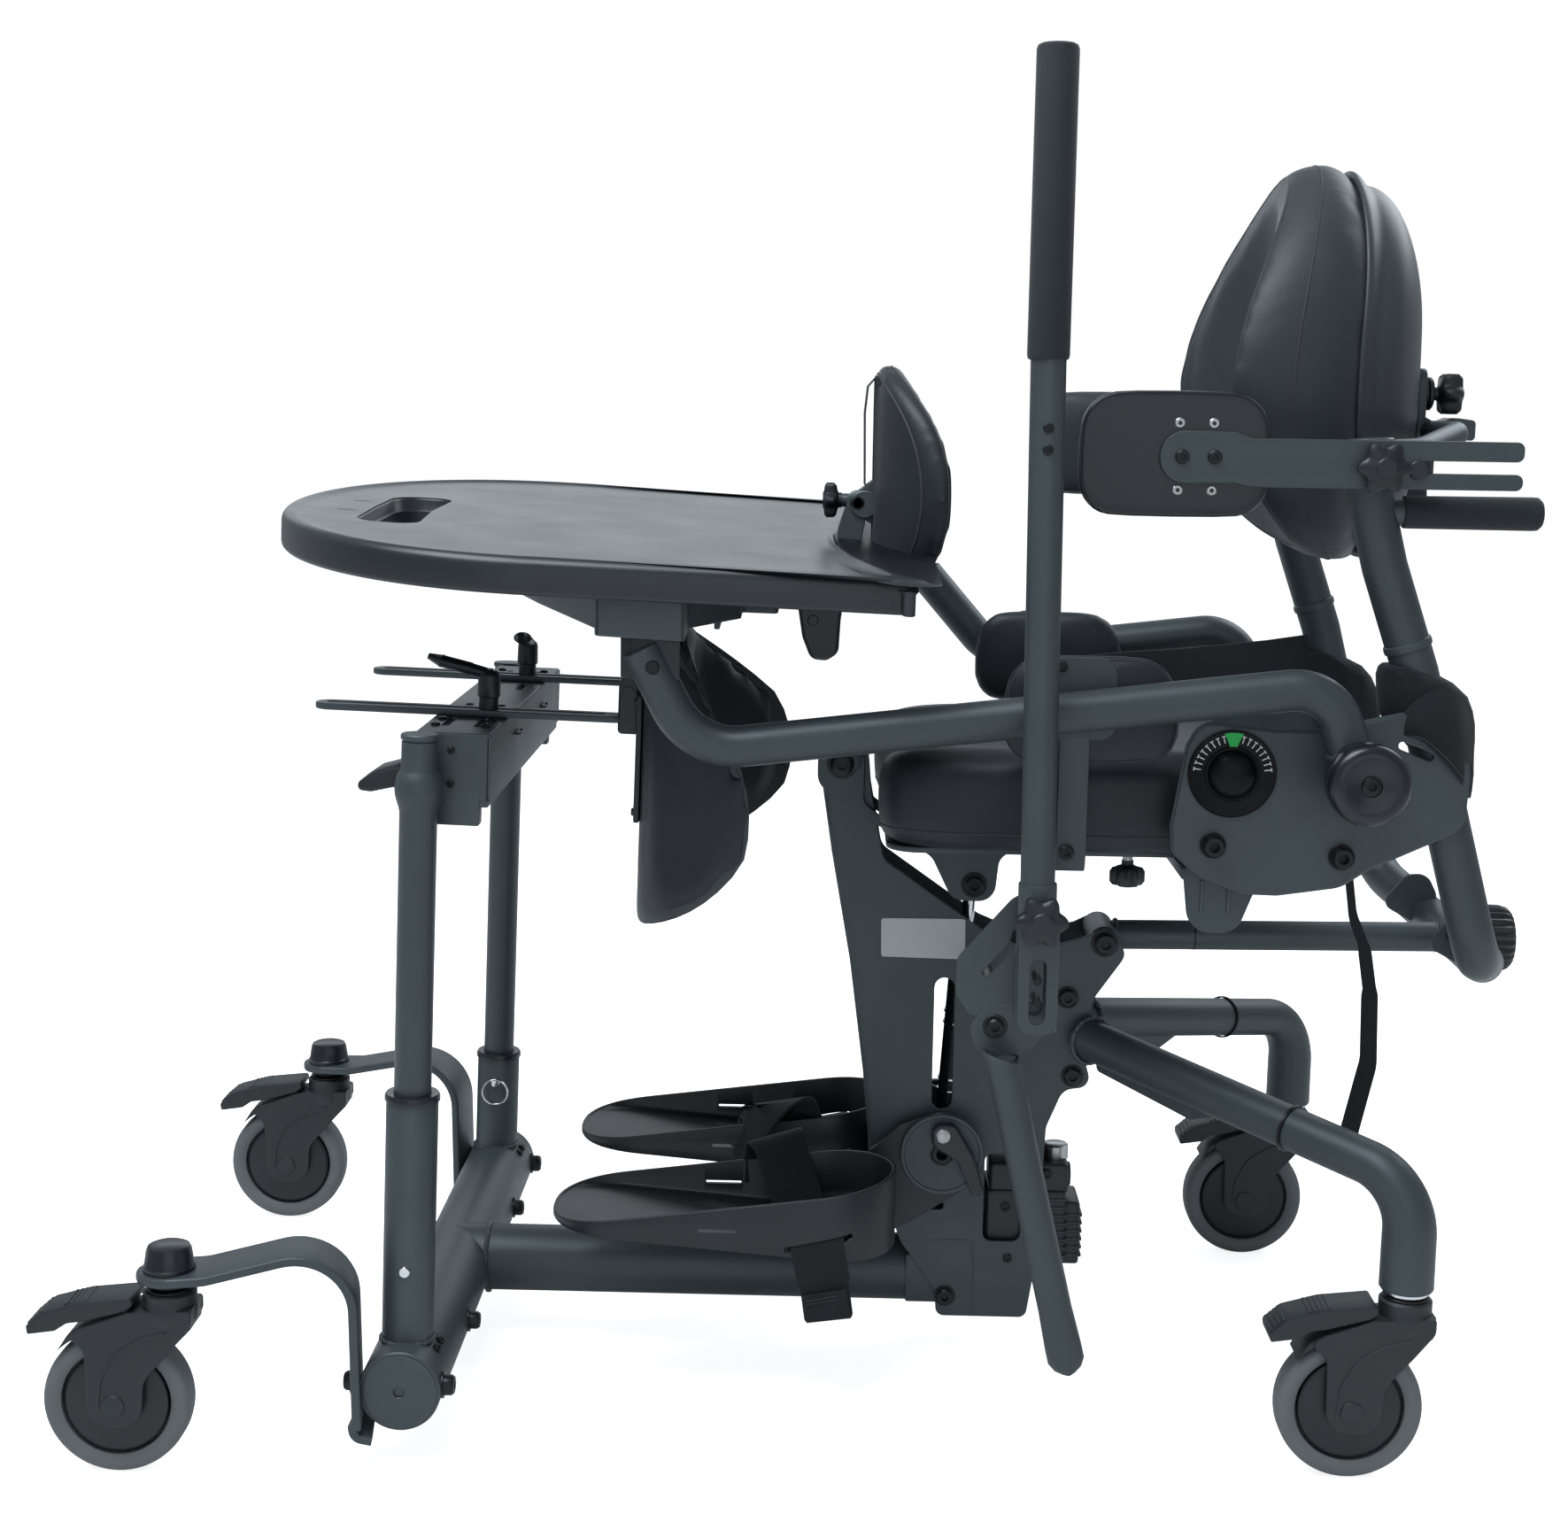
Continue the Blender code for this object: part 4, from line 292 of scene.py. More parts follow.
def piece(name, body, material, meshes, replaces=(), angle=38, placing=None):
    """One shown object made of these meshes, which rides on a body."""
    mesh = joined(meshes)
    if placing is not None:
        mesh.transform(placing)
    mesh.transform(SHIFT)
    mesh.materials.append(material)
    mesh.shade_smooth()
    mesh.set_sharp_from_angle(angle=math.radians(angle))
    obj = linked(name, mesh)
    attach(obj, body)
    if replaces:
        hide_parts(*replaces)
    return obj


def facing(direction):
    """The turn that takes +Z to a direction."""
    return Vector(direction).to_track_quat("Z", "Y").to_matrix().to_4x4()


def turned(profile, base, axis, steps=40, lobes=0, depth=0.0, core=0.0):
    """A (radius, height) profile turned about an axis; lobes draw its rim in between them."""
    shape = bmesh.new()
    rim = max(radius for radius, _ in profile)
    rings = []
    for radius, height in profile:
        if radius < 1e-6:
            rings.append([shape.verts.new((0.0, 0.0, height))])
            continue
        around = []
        for index in range(steps):
            angle = math.tau * index / steps
            size = radius
            if lobes and radius > core:
                share = (radius - core) / (rim - core)
                size -= rim * depth * share * (0.5 - 0.5 * math.cos(lobes * angle))
            around.append(shape.verts.new((size * math.cos(angle), size * math.sin(angle), height)))
        rings.append(around)
    for upper, lower in zip(rings, rings[1:]):
        for index in range(steps):
            after = (index + 1) % steps
            face = (upper[index % len(upper)], upper[after % len(upper)], lower[after % len(lower)],
                    lower[index % len(lower)])
            face = list(dict.fromkeys(face))
            if len(face) > 2:
                shape.faces.new(face)
    return finished(shape, "turned", Matrix.Translation(base) @ facing(axis))


def rod(start, end, radius, edge=0.0008, steps=36, end_radius=None):
    """A round bar with softened ends."""
    start, end = Vector(start), Vector(end)
    length = (end - start).length
    tip = radius if end_radius is None else end_radius
    profile = [(0.0, length), (tip - edge, length), (tip, length - edge), (radius, edge), (radius - edge, 0.0),
               (0.0, 0.0)]
    return turned(profile, start, end - start, steps)


def bent(points, radius, steps=8):
    """A path whose inner corners are arcs; a corner may bring its own radius."""
    places = [Vector(point[0]) if len(point) == 2 else Vector(point) for point in points]
    result = [places[0]]
    for index in range(1, len(places) - 1):
        size = points[index][1] if len(points[index]) == 2 else radius
        before, here, after = places[index - 1:index + 2]
        back, ahead = (before - here).normalized(), (after - here).normalized()
        turn = math.pi - back.angle(ahead)
        if size <= 0.0 or turn < 0.03:
            result.append(here)
            continue
        reach = min(size * math.tan(turn / 2), 0.48 * (before - here).length, 0.48 * (after - here).length)
        size = reach / math.tan(turn / 2)
        centre = here + (back + ahead).normalized() * (size / math.cos(turn / 2))
        first, last = here + back * reach - centre, here + ahead * reach - centre
        spread = first.angle(last)
        for step in range(steps + 1):
            share = step / steps
            spoke = first * math.sin((1 - share) * spread) + last * math.sin(share * spread)
            result.append(centre + spoke / math.sin(spread))
    return result + [places[-1]]


def sweep(path, section, up=(0.0, 0.0, 1.0), sizes=None, loop=False):
    """A section of (across, up) points drawn along a path, with closed ends unless it is a loop."""
    path = [Vector(point) for point in path]
    shape = bmesh.new()
    rings = []
    normal = Vector(up)
    count = len(path)
    for index, point in enumerate(path):
        if loop:
            heading = path[(index + 1) % count] - path[index - 1]
        else:
            heading = path[min(index + 1, count - 1)] - path[max(index - 1, 0)]
        heading.normalize()
        normal = (normal - heading * normal.dot(heading)).normalized()
        side = heading.cross(normal)
        size = sizes[index] if sizes else 1.0
        rings.append([shape.verts.new(point + (side * across + normal * height) * size)
                      for across, height in section])
    bridge(shape, rings + rings[:1] if loop else rings)
    if not loop:
        shape.faces.new(rings[0][::-1])
        shape.faces.new(rings[-1])
    return finished(shape, "sweep")


def ring(x, z, radius, steps=20):
    turns = [math.tau * i / steps for i in range(steps)]
    return [(x + radius * math.cos(turn), z + radius * math.sin(turn)) for turn in turns]


def circle(radius, sides=28):
    return ring(0.0, 0.0, radius, sides)


def strip(width, thick, edge=None, steps=3):
    """A flat section with rounded edges."""
    edge = thick * 0.45 if edge is None else edge
    points = []
    for cx, cy, first in ((1, 1, 0), (-1, 1, 90), (-1, -1, 180), (1, -1, 270)):
        for step in range(steps + 1):
            angle = math.radians(first + 90 * step / steps)
            points.append((cx * (width / 2 - edge) + edge * math.cos(angle),
                           cy * (thick / 2 - edge) + edge * math.sin(angle)))
    return points


def tube(points, radius, bend=0.0, sides=32, end_radius=None, steps=10, soft_end=0.0012):
    """A bent round tube whose ends are a little rounded."""
    path = bent(points, bend, steps)
    first = path[0] + (path[1] - path[0]).normalized() * soft_end
    last = path[-1] + (path[-2] - path[-1]).normalized() * soft_end
    path = [path[0], first] + path[1:-1] + [last, path[-1]]
    count = len(path)
    tip = radius if end_radius is None else end_radius
    sizes = [1.0 + (tip / radius - 1.0) * index / (count - 1) for index in range(count)]
    sizes[0] -= soft_end / radius
    sizes[-1] -= soft_end / radius
    return sweep(path, circle(radius, sides), sizes=sizes, up=(0.03, 0.02, 1.0))


def block(one, other, edge=0.0012, segments=2):
    """A box between two opposite corners, with softened edges."""
    shape = bmesh.new()
    bmesh.ops.create_cube(shape, size=1.0)
    low, high = Vector(map(min, one, other)), Vector(map(max, one, other))
    bmesh.ops.scale(shape, vec=high - low, verts=shape.verts)
    bmesh.ops.translate(shape, vec=(low + high) / 2, verts=shape.verts)
    bmesh.ops.bevel(shape, geom=shape.edges[:], offset=edge, segments=segments, profile=0.6, affect="EDGES")
    return mesh_from(shape, "block")


def corners(points, radius, steps=6):
    """A closed outline in a plane with rounded corners; a corner may bring its own radius."""
    flat = []
    for point in points:
        if isinstance(point[0], (tuple, Vector)):
            flat.append((Vector((*point[0], 0.0)), point[1]))
        else:
            flat.append((Vector((*point, 0.0)), radius))
    result = []
    for index in range(len(flat)):
        run = [flat[index - 1], flat[index], flat[(index + 1) % len(flat)]]
        part = bent([(run[0][0], 0.0), run[1], (run[2][0], 0.0)], radius, steps)
        result += [(p.x, p.y) for p in part[1:-1]]
    return result


def rectangle(left, low, right, high, radius):
    return corners([(left, low), (right, low), (right, high), (left, high)], radius)


def slot_ring(start, end, half, steps=8):
    start, end = Vector(start), Vector(end)
    heading = math.atan2(end.y - start.y, end.x - start.x)
    points = []
    for centre, first in ((end, heading - math.pi / 2), (start, heading + math.pi / 2)):
        for step in range(steps + 1):
            angle = first + math.pi * step / steps
            points.append((centre.x + half * math.cos(angle), centre.y + half * math.sin(angle)))
    return points


def sheet_of(loops, thick, placing, edge):
    """A flat plate with softened edges, from an outline and the holes in it."""
    curve = bpy.data.curves.new("plate", "CURVE")
    curve.dimensions = "2D"
    curve.fill_mode = "BOTH"
    for loop in loops:
        spline = curve.splines.new("POLY")
        spline.points.add(len(loop) - 1)
        for place, point in zip(spline.points, loop):
            place.co = (point[0], point[1], 0.0, 1.0)
        spline.use_cyclic_u = True
    edge = min(edge, thick * 0.45)
    curve.extrude = thick / 2 - edge
    curve.bevel_depth = edge
    curve.bevel_resolution = 1
    curve.offset = -edge
    obj = linked("plate", curve)
    obj.matrix_world = placing
    mesh = evaluated(obj)
    mesh.transform(placing)
    bpy.data.objects.remove(obj)
    return mesh


def placed(origin, rows):
    """A placing from its origin and the rows of its turn."""
    return Matrix.Translation(origin) @ Matrix(rows).to_4x4()


def upright(outline, one_y, other_y, holes=(), edge=0.0007):
    """A plate across Y from (x, z) points."""
    placing = Matrix.Translation((0.0, (one_y + other_y) / 2, 0.0)) @ Matrix.Rotation(math.pi / 2, 4, "X")
    return sheet_of([outline, *holes], abs(other_y - one_y), placing, edge)


def level(outline, low_z, high_z, holes=(), edge=0.0007):
    """A plate across Z from (x, y) points."""
    placing = Matrix.Translation((0.0, 0.0, (low_z + high_z) / 2))
    return sheet_of([outline, *holes], high_z - low_z, placing, edge)


def at(pivot, y=0.0):
    """The point of a pivot, given as (x, z), at a distance from the middle plane."""
    return Vector((pivot[0], y, pivot[1]))


def cut(mesh, tools):
    """The mesh without the space of the tools."""
    target = linked("target", mesh)
    tool = linked("tool", joined(tools))
    change = target.modifiers.new("cut", "BOOLEAN")
    change.operation = "DIFFERENCE"
    change.solver = "EXACT"
    change.object = tool
    result = evaluated(target)
    for obj in (target, tool):
        old = obj.data
        bpy.data.objects.remove(obj)
        bpy.data.meshes.remove(old)
    return result


def socket_bolt(place, direction, radius, height):
    """A domed socket bolt that stands on a face."""
    profile = ((0.0, height * 0.45), (radius * 0.42, height * 0.45), (radius * 0.46, height),
               (radius * 0.8, height), (radius, height * 0.72), (radius, 0.0), (0.0, 0.0))
    return turned(profile, place, direction, 24)


def washer(place, direction, radius, thick, hole):
    """A flat ring that lies on a face."""
    profile = ((hole, thick), (radius - 0.0003, thick), (radius, thick - 0.0003), (radius, 0.0), (hole, 0.0),
               (hole, thick))
    return turned(profile, place, direction, 32)


def button(radius, height, chamfer):
    """The profile of a plain disc with a chamfered edge."""
    return ((0.0, height), (radius - chamfer, height), (radius, height - chamfer), (radius, 0.0), (0.0, 0.0))


def bolt_on_washer(place, direction, radius, height, wide, thick=0.0014, lift=0.0012):
    """A washer on a face and the socket bolt that stands on it."""
    place, direction = Vector(place), Vector(direction)
    return [washer(place, direction, wide, thick, 0.003), socket_bolt(place + direction * lift, direction,
                                                                      radius, height)]


def star_knob(base, direction, radius, height, lobes=6, stem=0.008):
    """A lobed hand knob on a short boss."""
    profile = ((0.0, height), (radius * 0.42, height), (radius * 0.5, height - 0.001),
               (radius * 0.84, height - 0.0016), (radius, height * 0.8), (radius, height * 0.42),
               (radius * 0.86, height * 0.28), (stem * 1.5, height * 0.22), (stem, height * 0.16), (stem, 0.0),
               (0.0, 0.0))
    return turned(profile, base, direction, lobes * 12, lobes, 0.24, radius * 0.4)


set_light()
set_floor()


# Casters

TRAIL = 0.045
WHEEL_RADIUS = 0.0625
WHEEL_HALF = 0.0148
HEAD = 0.16  # the height of the fork's head, under the strap or leg it carries
FRONT_STEM = (-0.4795, 0.3115)
REAR_STEM = (0.5685, 0.266)


def caster_wheel(name, end_side, hub):
    """Tyre, the dark groove inside it, and the dished hub disc, seen from both sides."""
    half = WHEEL_HALF
    tread = ((0.047, 0.0035), (0.05, 0.0012), (0.056, 0.0), (0.0598, 0.0016), (0.0618, 0.0045),
             (WHEEL_RADIUS, 0.0085))
    tyre = [(radius, half - inset) for radius, inset in tread]
    tyre += [(radius, inset - half) for radius, inset in tread[::-1]] + tyre[:1]
    axis = (0, 1, 0)
    piece(f"tyre_{end_side}", name, TREAD, [turned(tyre, hub, axis, 72)], [f"caster_wheel_{end_side}"])
    face = ((0.006, 0.0025), (0.02, 0.0025), (0.04, 0.0032), (0.0436, 0.004), (0.0446, 0.0052),
            (0.0448, 0.0098), (0.0478, 0.01))
    disc = [(radius, half - inset) for radius, inset in face]
    disc += [(radius, inset - half) for radius, inset in face[::-1]] + disc[:1]
    piece(f"wheel_hub_{end_side}", name, PLASTIC, [turned(disc, hub, axis, 72)])


def caster_fork(body, end_side, stem, hub):
    """Two cheeks joined by a crown over the wheel, the round housing of the swivel and its bearing rings."""
    inner, outer = 0.0172, 0.0215
    cheek = corners([((hub.x - 0.0215, hub.z - 0.019), 0.02), ((hub.x + 0.0235, hub.z - 0.019), 0.02),
                     ((hub.x + 0.0265, hub.z + 0.023), 0.02), ((hub.x + 0.05, hub.z + 0.05), 0.03),
                     ((stem.x + 0.0225, hub.z + 0.072), 0.01), ((stem.x + 0.0225, HEAD - 0.012), 0.003),
                     ((hub.x + 0.014, HEAD - 0.015), 0.003), ((hub.x - 0.026, HEAD - 0.0295), 0.006),
                     ((hub.x - 0.0385, hub.z + 0.06), 0.008), ((hub.x - 0.0235, hub.z + 0.05), 0.016)], 0.01)
    meshes = []
    for sign in (-1, 1):
        meshes.append(upright(cheek, stem.y + sign * inner, stem.y + sign * outer, edge=0.0012))
        face = Vector((hub.x, stem.y + sign * outer, hub.z))
        meshes.append(turned(((0.0, 0.0012), (0.0094, 0.0012), (0.01, 0.0005), (0.0104, -0.001), (0.0, -0.001)),
                             face, (0, sign, 0), 32))
        line = [(hub.x - 0.013, hub.z - 0.002), (hub.x - 0.01, hub.z + 0.024), (hub.x + 0.002, hub.z + 0.046),
                (hub.x + 0.024, hub.z + 0.06), (hub.x + 0.046, hub.z + 0.066)]
        path = [(x, face.y, z) for x, z in line]
        meshes.append(sweep(bent(path, 0.02, 5), circle(0.0013, 8), up=(0, sign, 0)))
    clear = WHEEL_RADIUS + 0.0035
    crown = []
    for step in range(22):
        angle = math.radians(165 - 120 * step / 21)
        crown.append((hub.x + clear * math.cos(angle), hub.z + clear * math.sin(angle)))
    roof = [(stem.x + 0.0215, hub.z + 0.068), (stem.x + 0.0225, HEAD - 0.012), (hub.x + 0.014, HEAD - 0.015),
            (hub.x - 0.026, HEAD - 0.0295), (hub.x - 0.0385, hub.z + 0.06)]
    keep = [point for point in crown if hub.x - 0.05 < point[0] < stem.x + 0.0215]
    meshes.append(upright(keep + roof, stem.y - inner - 0.001, stem.y + inner + 0.001))
    housing = ((0.0, HEAD), (0.0205, HEAD), (0.0225, HEAD - 0.002), (0.0225, HEAD - 0.012),
               (0.0232, HEAD - 0.0135), (0.0232, HEAD - 0.024), (0.0215, HEAD - 0.028), (0.0, HEAD - 0.028))
    meshes.append(turned(housing, (stem.x, stem.y, 0.0), (0, 0, 1), 48))
    piece(f"fork_{end_side}_shape", body, NYLON, meshes, [f"caster_fork_{end_side}"])
    steel = [rod((stem.x, stem.y, HEAD - 0.001), (stem.x, stem.y, 0.168), 0.006, 0.0004)]
    for z, radius in ((HEAD, 0.0198), (HEAD + 0.0034, 0.0165)):
        steel.append(turned(((0.004, 0.0026), (radius - 0.001, 0.0026), (radius, 0.0016), (radius, 0.0008),
                             (radius - 0.0012, 0.0), (0.004, 0.0), (0.004, 0.0026)), (stem.x, stem.y, z),
                            (0, 0, 1), 48))
    piece(f"fork_bearing_{end_side}", body, BLACK_STEEL, steel)


def brake_pedal(body, end_side, stem, hub):
    """The pedal over the wheel, with raised bars on it."""
    outline = corners([((hub.x + 0.012, HEAD - 0.0145), 0.002), ((hub.x + 0.0185, HEAD - 0.009), 0.003),
                       ((hub.x + 0.018, HEAD - 0.0022), 0.003), ((hub.x - 0.026, HEAD - 0.007), 0.01),
                       ((hub.x - 0.058, HEAD - 0.016), 0.01), ((hub.x - 0.0725, HEAD - 0.029), 0.003),
                       ((hub.x - 0.0715, HEAD - 0.0365), 0.002), ((hub.x - 0.048, HEAD - 0.033), 0.008),
                       ((hub.x - 0.038, HEAD - 0.0262), 0.003), ((hub.x - 0.0245, HEAD - 0.0242), 0.004)],
                      0.003)
    meshes = [upright(outline, stem.y - 0.02, stem.y + 0.02, edge=0.0018)]
    ribs = [(hub.x - 0.022 - 0.0042 * i, HEAD - 0.0068 - 0.0009 * i) for i in range(5)]
    ribs += [(hub.x - 0.06 - 0.0034 * i, HEAD - 0.0178 - 0.003 * i) for i in range(4)]
    for x, z in ribs:
        path = [(x, stem.y - 0.0165, z), (x, stem.y + 0.0165, z)]
        meshes.append(sweep(path, circle(0.0012, 8)))
    piece(f"pedal_{end_side}", body, NYLON, meshes, [f"brake_pedal_{end_side}"])


def casters():
    for end, (x, y) in (("front", FRONT_STEM), ("rear", REAR_STEM)):
        for side, sign in SIDES:
            stem = Vector((x, sign * y, 0.0))
            hub = stem + Vector((-TRAIL, 0.0, WHEEL_RADIUS))
            end_side = f"{end}_{side}"
            caster_wheel(f"wheel_{end_side}", end_side, hub)
            caster_fork(f"fork_{end_side}", end_side, stem, hub)
            brake_pedal(f"pedal_{end_side}", end_side, stem, hub)


# Base

CROSS_X, CROSS_Z, CROSS_RADIUS = -0.287, 0.071, 0.035
POST_Y = 0.265
LEAN = math.radians(1.65)
LEAN_BASE = Vector((CROSS_X, 0.0, 0.11))
# The knee posts and what they carry are built upright and then leaned with the sleeves.
LEANED = Matrix.Translation(LEAN_BASE) @ Matrix.Rotation(LEAN, 4, "Y") @ Matrix.Translation(-LEAN_BASE)


def weld(centre, axis, radius, size=0.0022, steps=56, squash=1.0):
    """A bead of weld: a ring whose thickness ripples."""
    turn = Matrix.Translation(centre) @ facing(axis)
    path, sizes = [], []
    for step in range(steps):
        angle = math.tau * step / steps
        path.append(turn @ Vector((radius * math.cos(angle), radius * squash * math.sin(angle), 0.0)))
        sizes.append(1.0 + 0.22 * math.sin(step * 2.4) + 0.1 * math.sin(step * 5.1))
    return sweep(path, circle(size, 8), up=axis, sizes=sizes, loop=True)


SLEEVE_TOP = {"left": 0.316, "right": 0.202}


def base():
    """The cross tube, the centre tube and the two sleeves, with their welds, caps, bolts, bushes and pins."""
    half = 0.3085
    meshes = [rod((CROSS_X, -half, CROSS_Z), (CROSS_X, half, CROSS_Z), CROSS_RADIUS, 0.0012, 72),
              tube([(CROSS_X, 0, 0.075), (0.25, 0, 0.075)], 0.03175, sides=64)]
    meshes.append(block((0.15, -0.0335, 0.051), (0.25, 0.0335, 0.099), 0.003))
    meshes.append(weld((CROSS_X + CROSS_RADIUS - 0.003, 0, 0.075), (1, 0, 0), 0.0325))
    for side, sign in SIDES:
        top = SLEEVE_TOP[side]
        sleeve = ((0.0162, top), (0.0216, top), (0.0222, top - 0.001), (0.0222, 0.085), (0.0, 0.085))
        post = turned(sleeve, (CROSS_X, sign * POST_Y, 0.0), (0, 0, 1), 56)
        post.transform(LEANED)
        meshes.append(post)
        meshes.append(weld((CROSS_X, sign * POST_Y, CROSS_Z + CROSS_RADIUS - 0.003), (0, 0, 1), 0.0228))
    piece("base_tubes", "base", PAINT, meshes, ["base_frame"])

    caps, bolts, bushes, pins = [], [], [], []
    for side, sign in SIDES:
        top = SLEEVE_TOP[side]
        cap = ((0.0045, 0.0014), (0.0052, 0.0022), (0.03, 0.0022), (0.0322, 0.0008), (0.0322, -0.002),
               (0.0, -0.002), (0.0, 0.0))
        caps.append(turned(cap, (CROSS_X, sign * half, CROSS_Z), (0, sign, 0), 56))
        face = CROSS_X + CROSS_RADIUS - 0.0006
        for y, radius in ((sign * 0.292, 0.0088), (sign * 0.15, 0.008)):
            bolts += bolt_on_washer((face, y, CROSS_Z), (1, 0, 0), radius, 0.009, radius + 0.0025, 0.0016,
                                    0.0014)
        for y in (sign * 0.272, sign * 0.255):
            bolts.append(socket_bolt((CROSS_X + 0.026, y, CROSS_Z + 0.0235), (0.7, 0, 0.71), 0.0042, 0.003))
        collar = ((0.0163, top + 0.0055), (0.0224, top + 0.0055), (0.0236, top + 0.0035),
                  (0.0236, top - 0.0005), (0.0163, top - 0.0005), (0.0163, top + 0.0055))
        bush = turned(collar, (CROSS_X, sign * POST_Y, 0.0), (0, 0, 1), 56)
        bush.transform(LEANED)
        bushes.append(bush)
    near = LEANED @ Vector((CROSS_X, -POST_Y - 0.0218, 0.169))
    pins.append(turned(((0.0, 0.0026), (0.0042, 0.0022), (0.0052, 0.0008), (0.0052, -0.001), (0.0, -0.001)),
                       near, (0, -1, 0), 28))
    far = LEANED @ Vector((CROSS_X, POST_Y - 0.0218, 0.177))
    pins.append(turned(((0.0, 0.004), (0.004, 0.0036), (0.0052, 0.0016), (0.0052, -0.001), (0.0, -0.001)), far,
                       (0, -1, 0), 28))
    loop = [far + Vector((x, -0.003, z - 0.01)) for x, z in circle(0.0135, 40)]
    pins.append(sweep(loop, circle(0.0011, 10), up=(0, 1, 0), loop=True))
    piece("cross_tube_caps", "base", PAINT, caps)
    piece("base_bolts", "base", BLACK_STEEL, bolts)
    piece("sleeve_bushes", "base", SATIN, bushes)
    piece("sleeve_pins", "base", CHROME, pins)


def caster_straps():
    """The bent straps, the stem caps on them and the bolts that hold them to the cross tube."""
    thick = 0.008
    face = CROSS_X - CROSS_RADIUS - GAP
    (stem_x, stem_y), strap_z = FRONT_STEM, 0.173
    for side, sign in SIDES:
        def drift(x):
            return sign * (stem_y - (x - stem_x) / (CROSS_X - stem_x) * 0.029)

        profile = bent([(stem_x, 0, strap_z), ((stem_x + 0.03, 0, strap_z + 0.001), 0.05),
                        ((face - thick / 2 - 0.003, 0, strap_z + 0.028), 0.05), (face - thick / 2, 0, 0.038)],
                       0.05, 14)
        path = [Vector((p.x, drift(p.x), p.z)) for p in profile]
        arm = sweep(path, strip(0.055, thick, 0.0022))
        centre = Vector((stem_x, sign * stem_y, 0.0))
        eye = [(centre.x + 0.0275 * math.cos(math.radians(a)), centre.y + 0.0275 * math.sin(math.radians(a)))
               for a in range(78, 283, 6)]
        tongue = level(eye, strap_z - thick / 2, strap_z + thick / 2, edge=0.0022)
        wrap = [(face - thick / 2, 0.042), (face - thick / 2 + 0.001, 0.034), (CROSS_X - 0.026, 0.031)]
        hook = sweep(bent([(x, drift(x), z) for x, z in wrap], 0.01, 6), strip(0.055, thick, 0.0022),
                     up=(-1, 0, 0))
        piece(f"caster_strap_{side}", "base", PAINT, [arm, tongue, hook], [f"caster_arm_{side}"])
        cap = ((0.0, 0.0225), (0.015, 0.0223), (0.0175, 0.0212), (0.019, 0.018), (0.0208, 0.0055),
               (0.0218, 0.0044), (0.0218, 0.0), (0.0, 0.0))
        top = strap_z + thick / 2 - 0.0004
        piece(f"stem_cap_{side}", "base", SATIN, [turned(cap, (centre.x, centre.y, top), (0, 0, 1), 48)])
        low = socket_bolt((face - thick + 0.0006, drift(face), CROSS_Z), (-1, 0, 0), 0.0085, 0.008)
        plate = washer((face - thick + 0.0002, drift(face), CROSS_Z), (-1, 0, 0), 0.0115, 0.0014, 0.003)
        piece(f"strap_bolts_{side}", "base", BLACK_STEEL, [low, plate])


def legs():
    """The rear legs: a tube out from the spine, its joint line, the bend and the end over the caster."""
    start = Vector((0.315, 0.0383, 0.318))
    corner = Vector((*REAR_STEM, 0.262))
    end_z = HEAD + 0.008
    for side, sign in SIDES:
        flip = Vector((1.0, sign, 1.0))
        heading = (corner - start).normalized()
        first = start - heading * 0.004
        path = [first * flip, (corner * flip, 0.075), Vector((corner.x, corner.y, end_z)) * flip]
        meshes = [tube(path, 0.019, 0.075, 48, 0.0232, 18)]
        joint = (start + heading * 0.225) * flip
        groove = turned(((0.0198, 0.0016), (0.0215, 0.0012), (0.0215, -0.0012), (0.0198, -0.0016)), joint,
                        heading * flip, 48)
        meshes.append(weld(start * flip + Vector((0.004, sign * 0.004, -0.001)), (0.55, sign, 0.0), 0.0215,
                           0.0026))
        gusset = upright(corners([((0.014, 0.318), 0.003), ((0.014, 0.29), 0.006), ((0.12, 0.266), 0.012),
                                  ((0.178, 0.286), 0.01)], 0.006), -0.003, 0.003)
        plan = math.atan2(heading.y * sign, heading.x)
        gusset.transform(Matrix.Translation((start.x, sign * start.y, 0)) @ Matrix.Rotation(plan, 4, "Z"))
        meshes.append(gusset)
        piece(f"leg_{side}", "base", PAINT, meshes, [f"rear_leg_{side}"])
        piece(f"leg_joint_{side}", "base", BLACK_STEEL, [groove])
        rings = []
        for z, radius in ((HEAD + 0.0066, 0.0212), (HEAD + 0.0046, 0.019)):
            rings.append(washer((corner.x, sign * corner.y, z - 0.0002), (0, 0, 1), radius, 0.0014, 0.006))
        piece(f"leg_washers_{side}", "base", CHROME, rings)


casters()
base()
caster_straps()
legs()


# Spine and pump

FOOT_PIVOT = (0.181, 0.208)
CROWN_PIVOT = (0.205, 0.464)
LIFT_PIVOT = (0.184, 0.135)
SPINE_HALF = 0.038


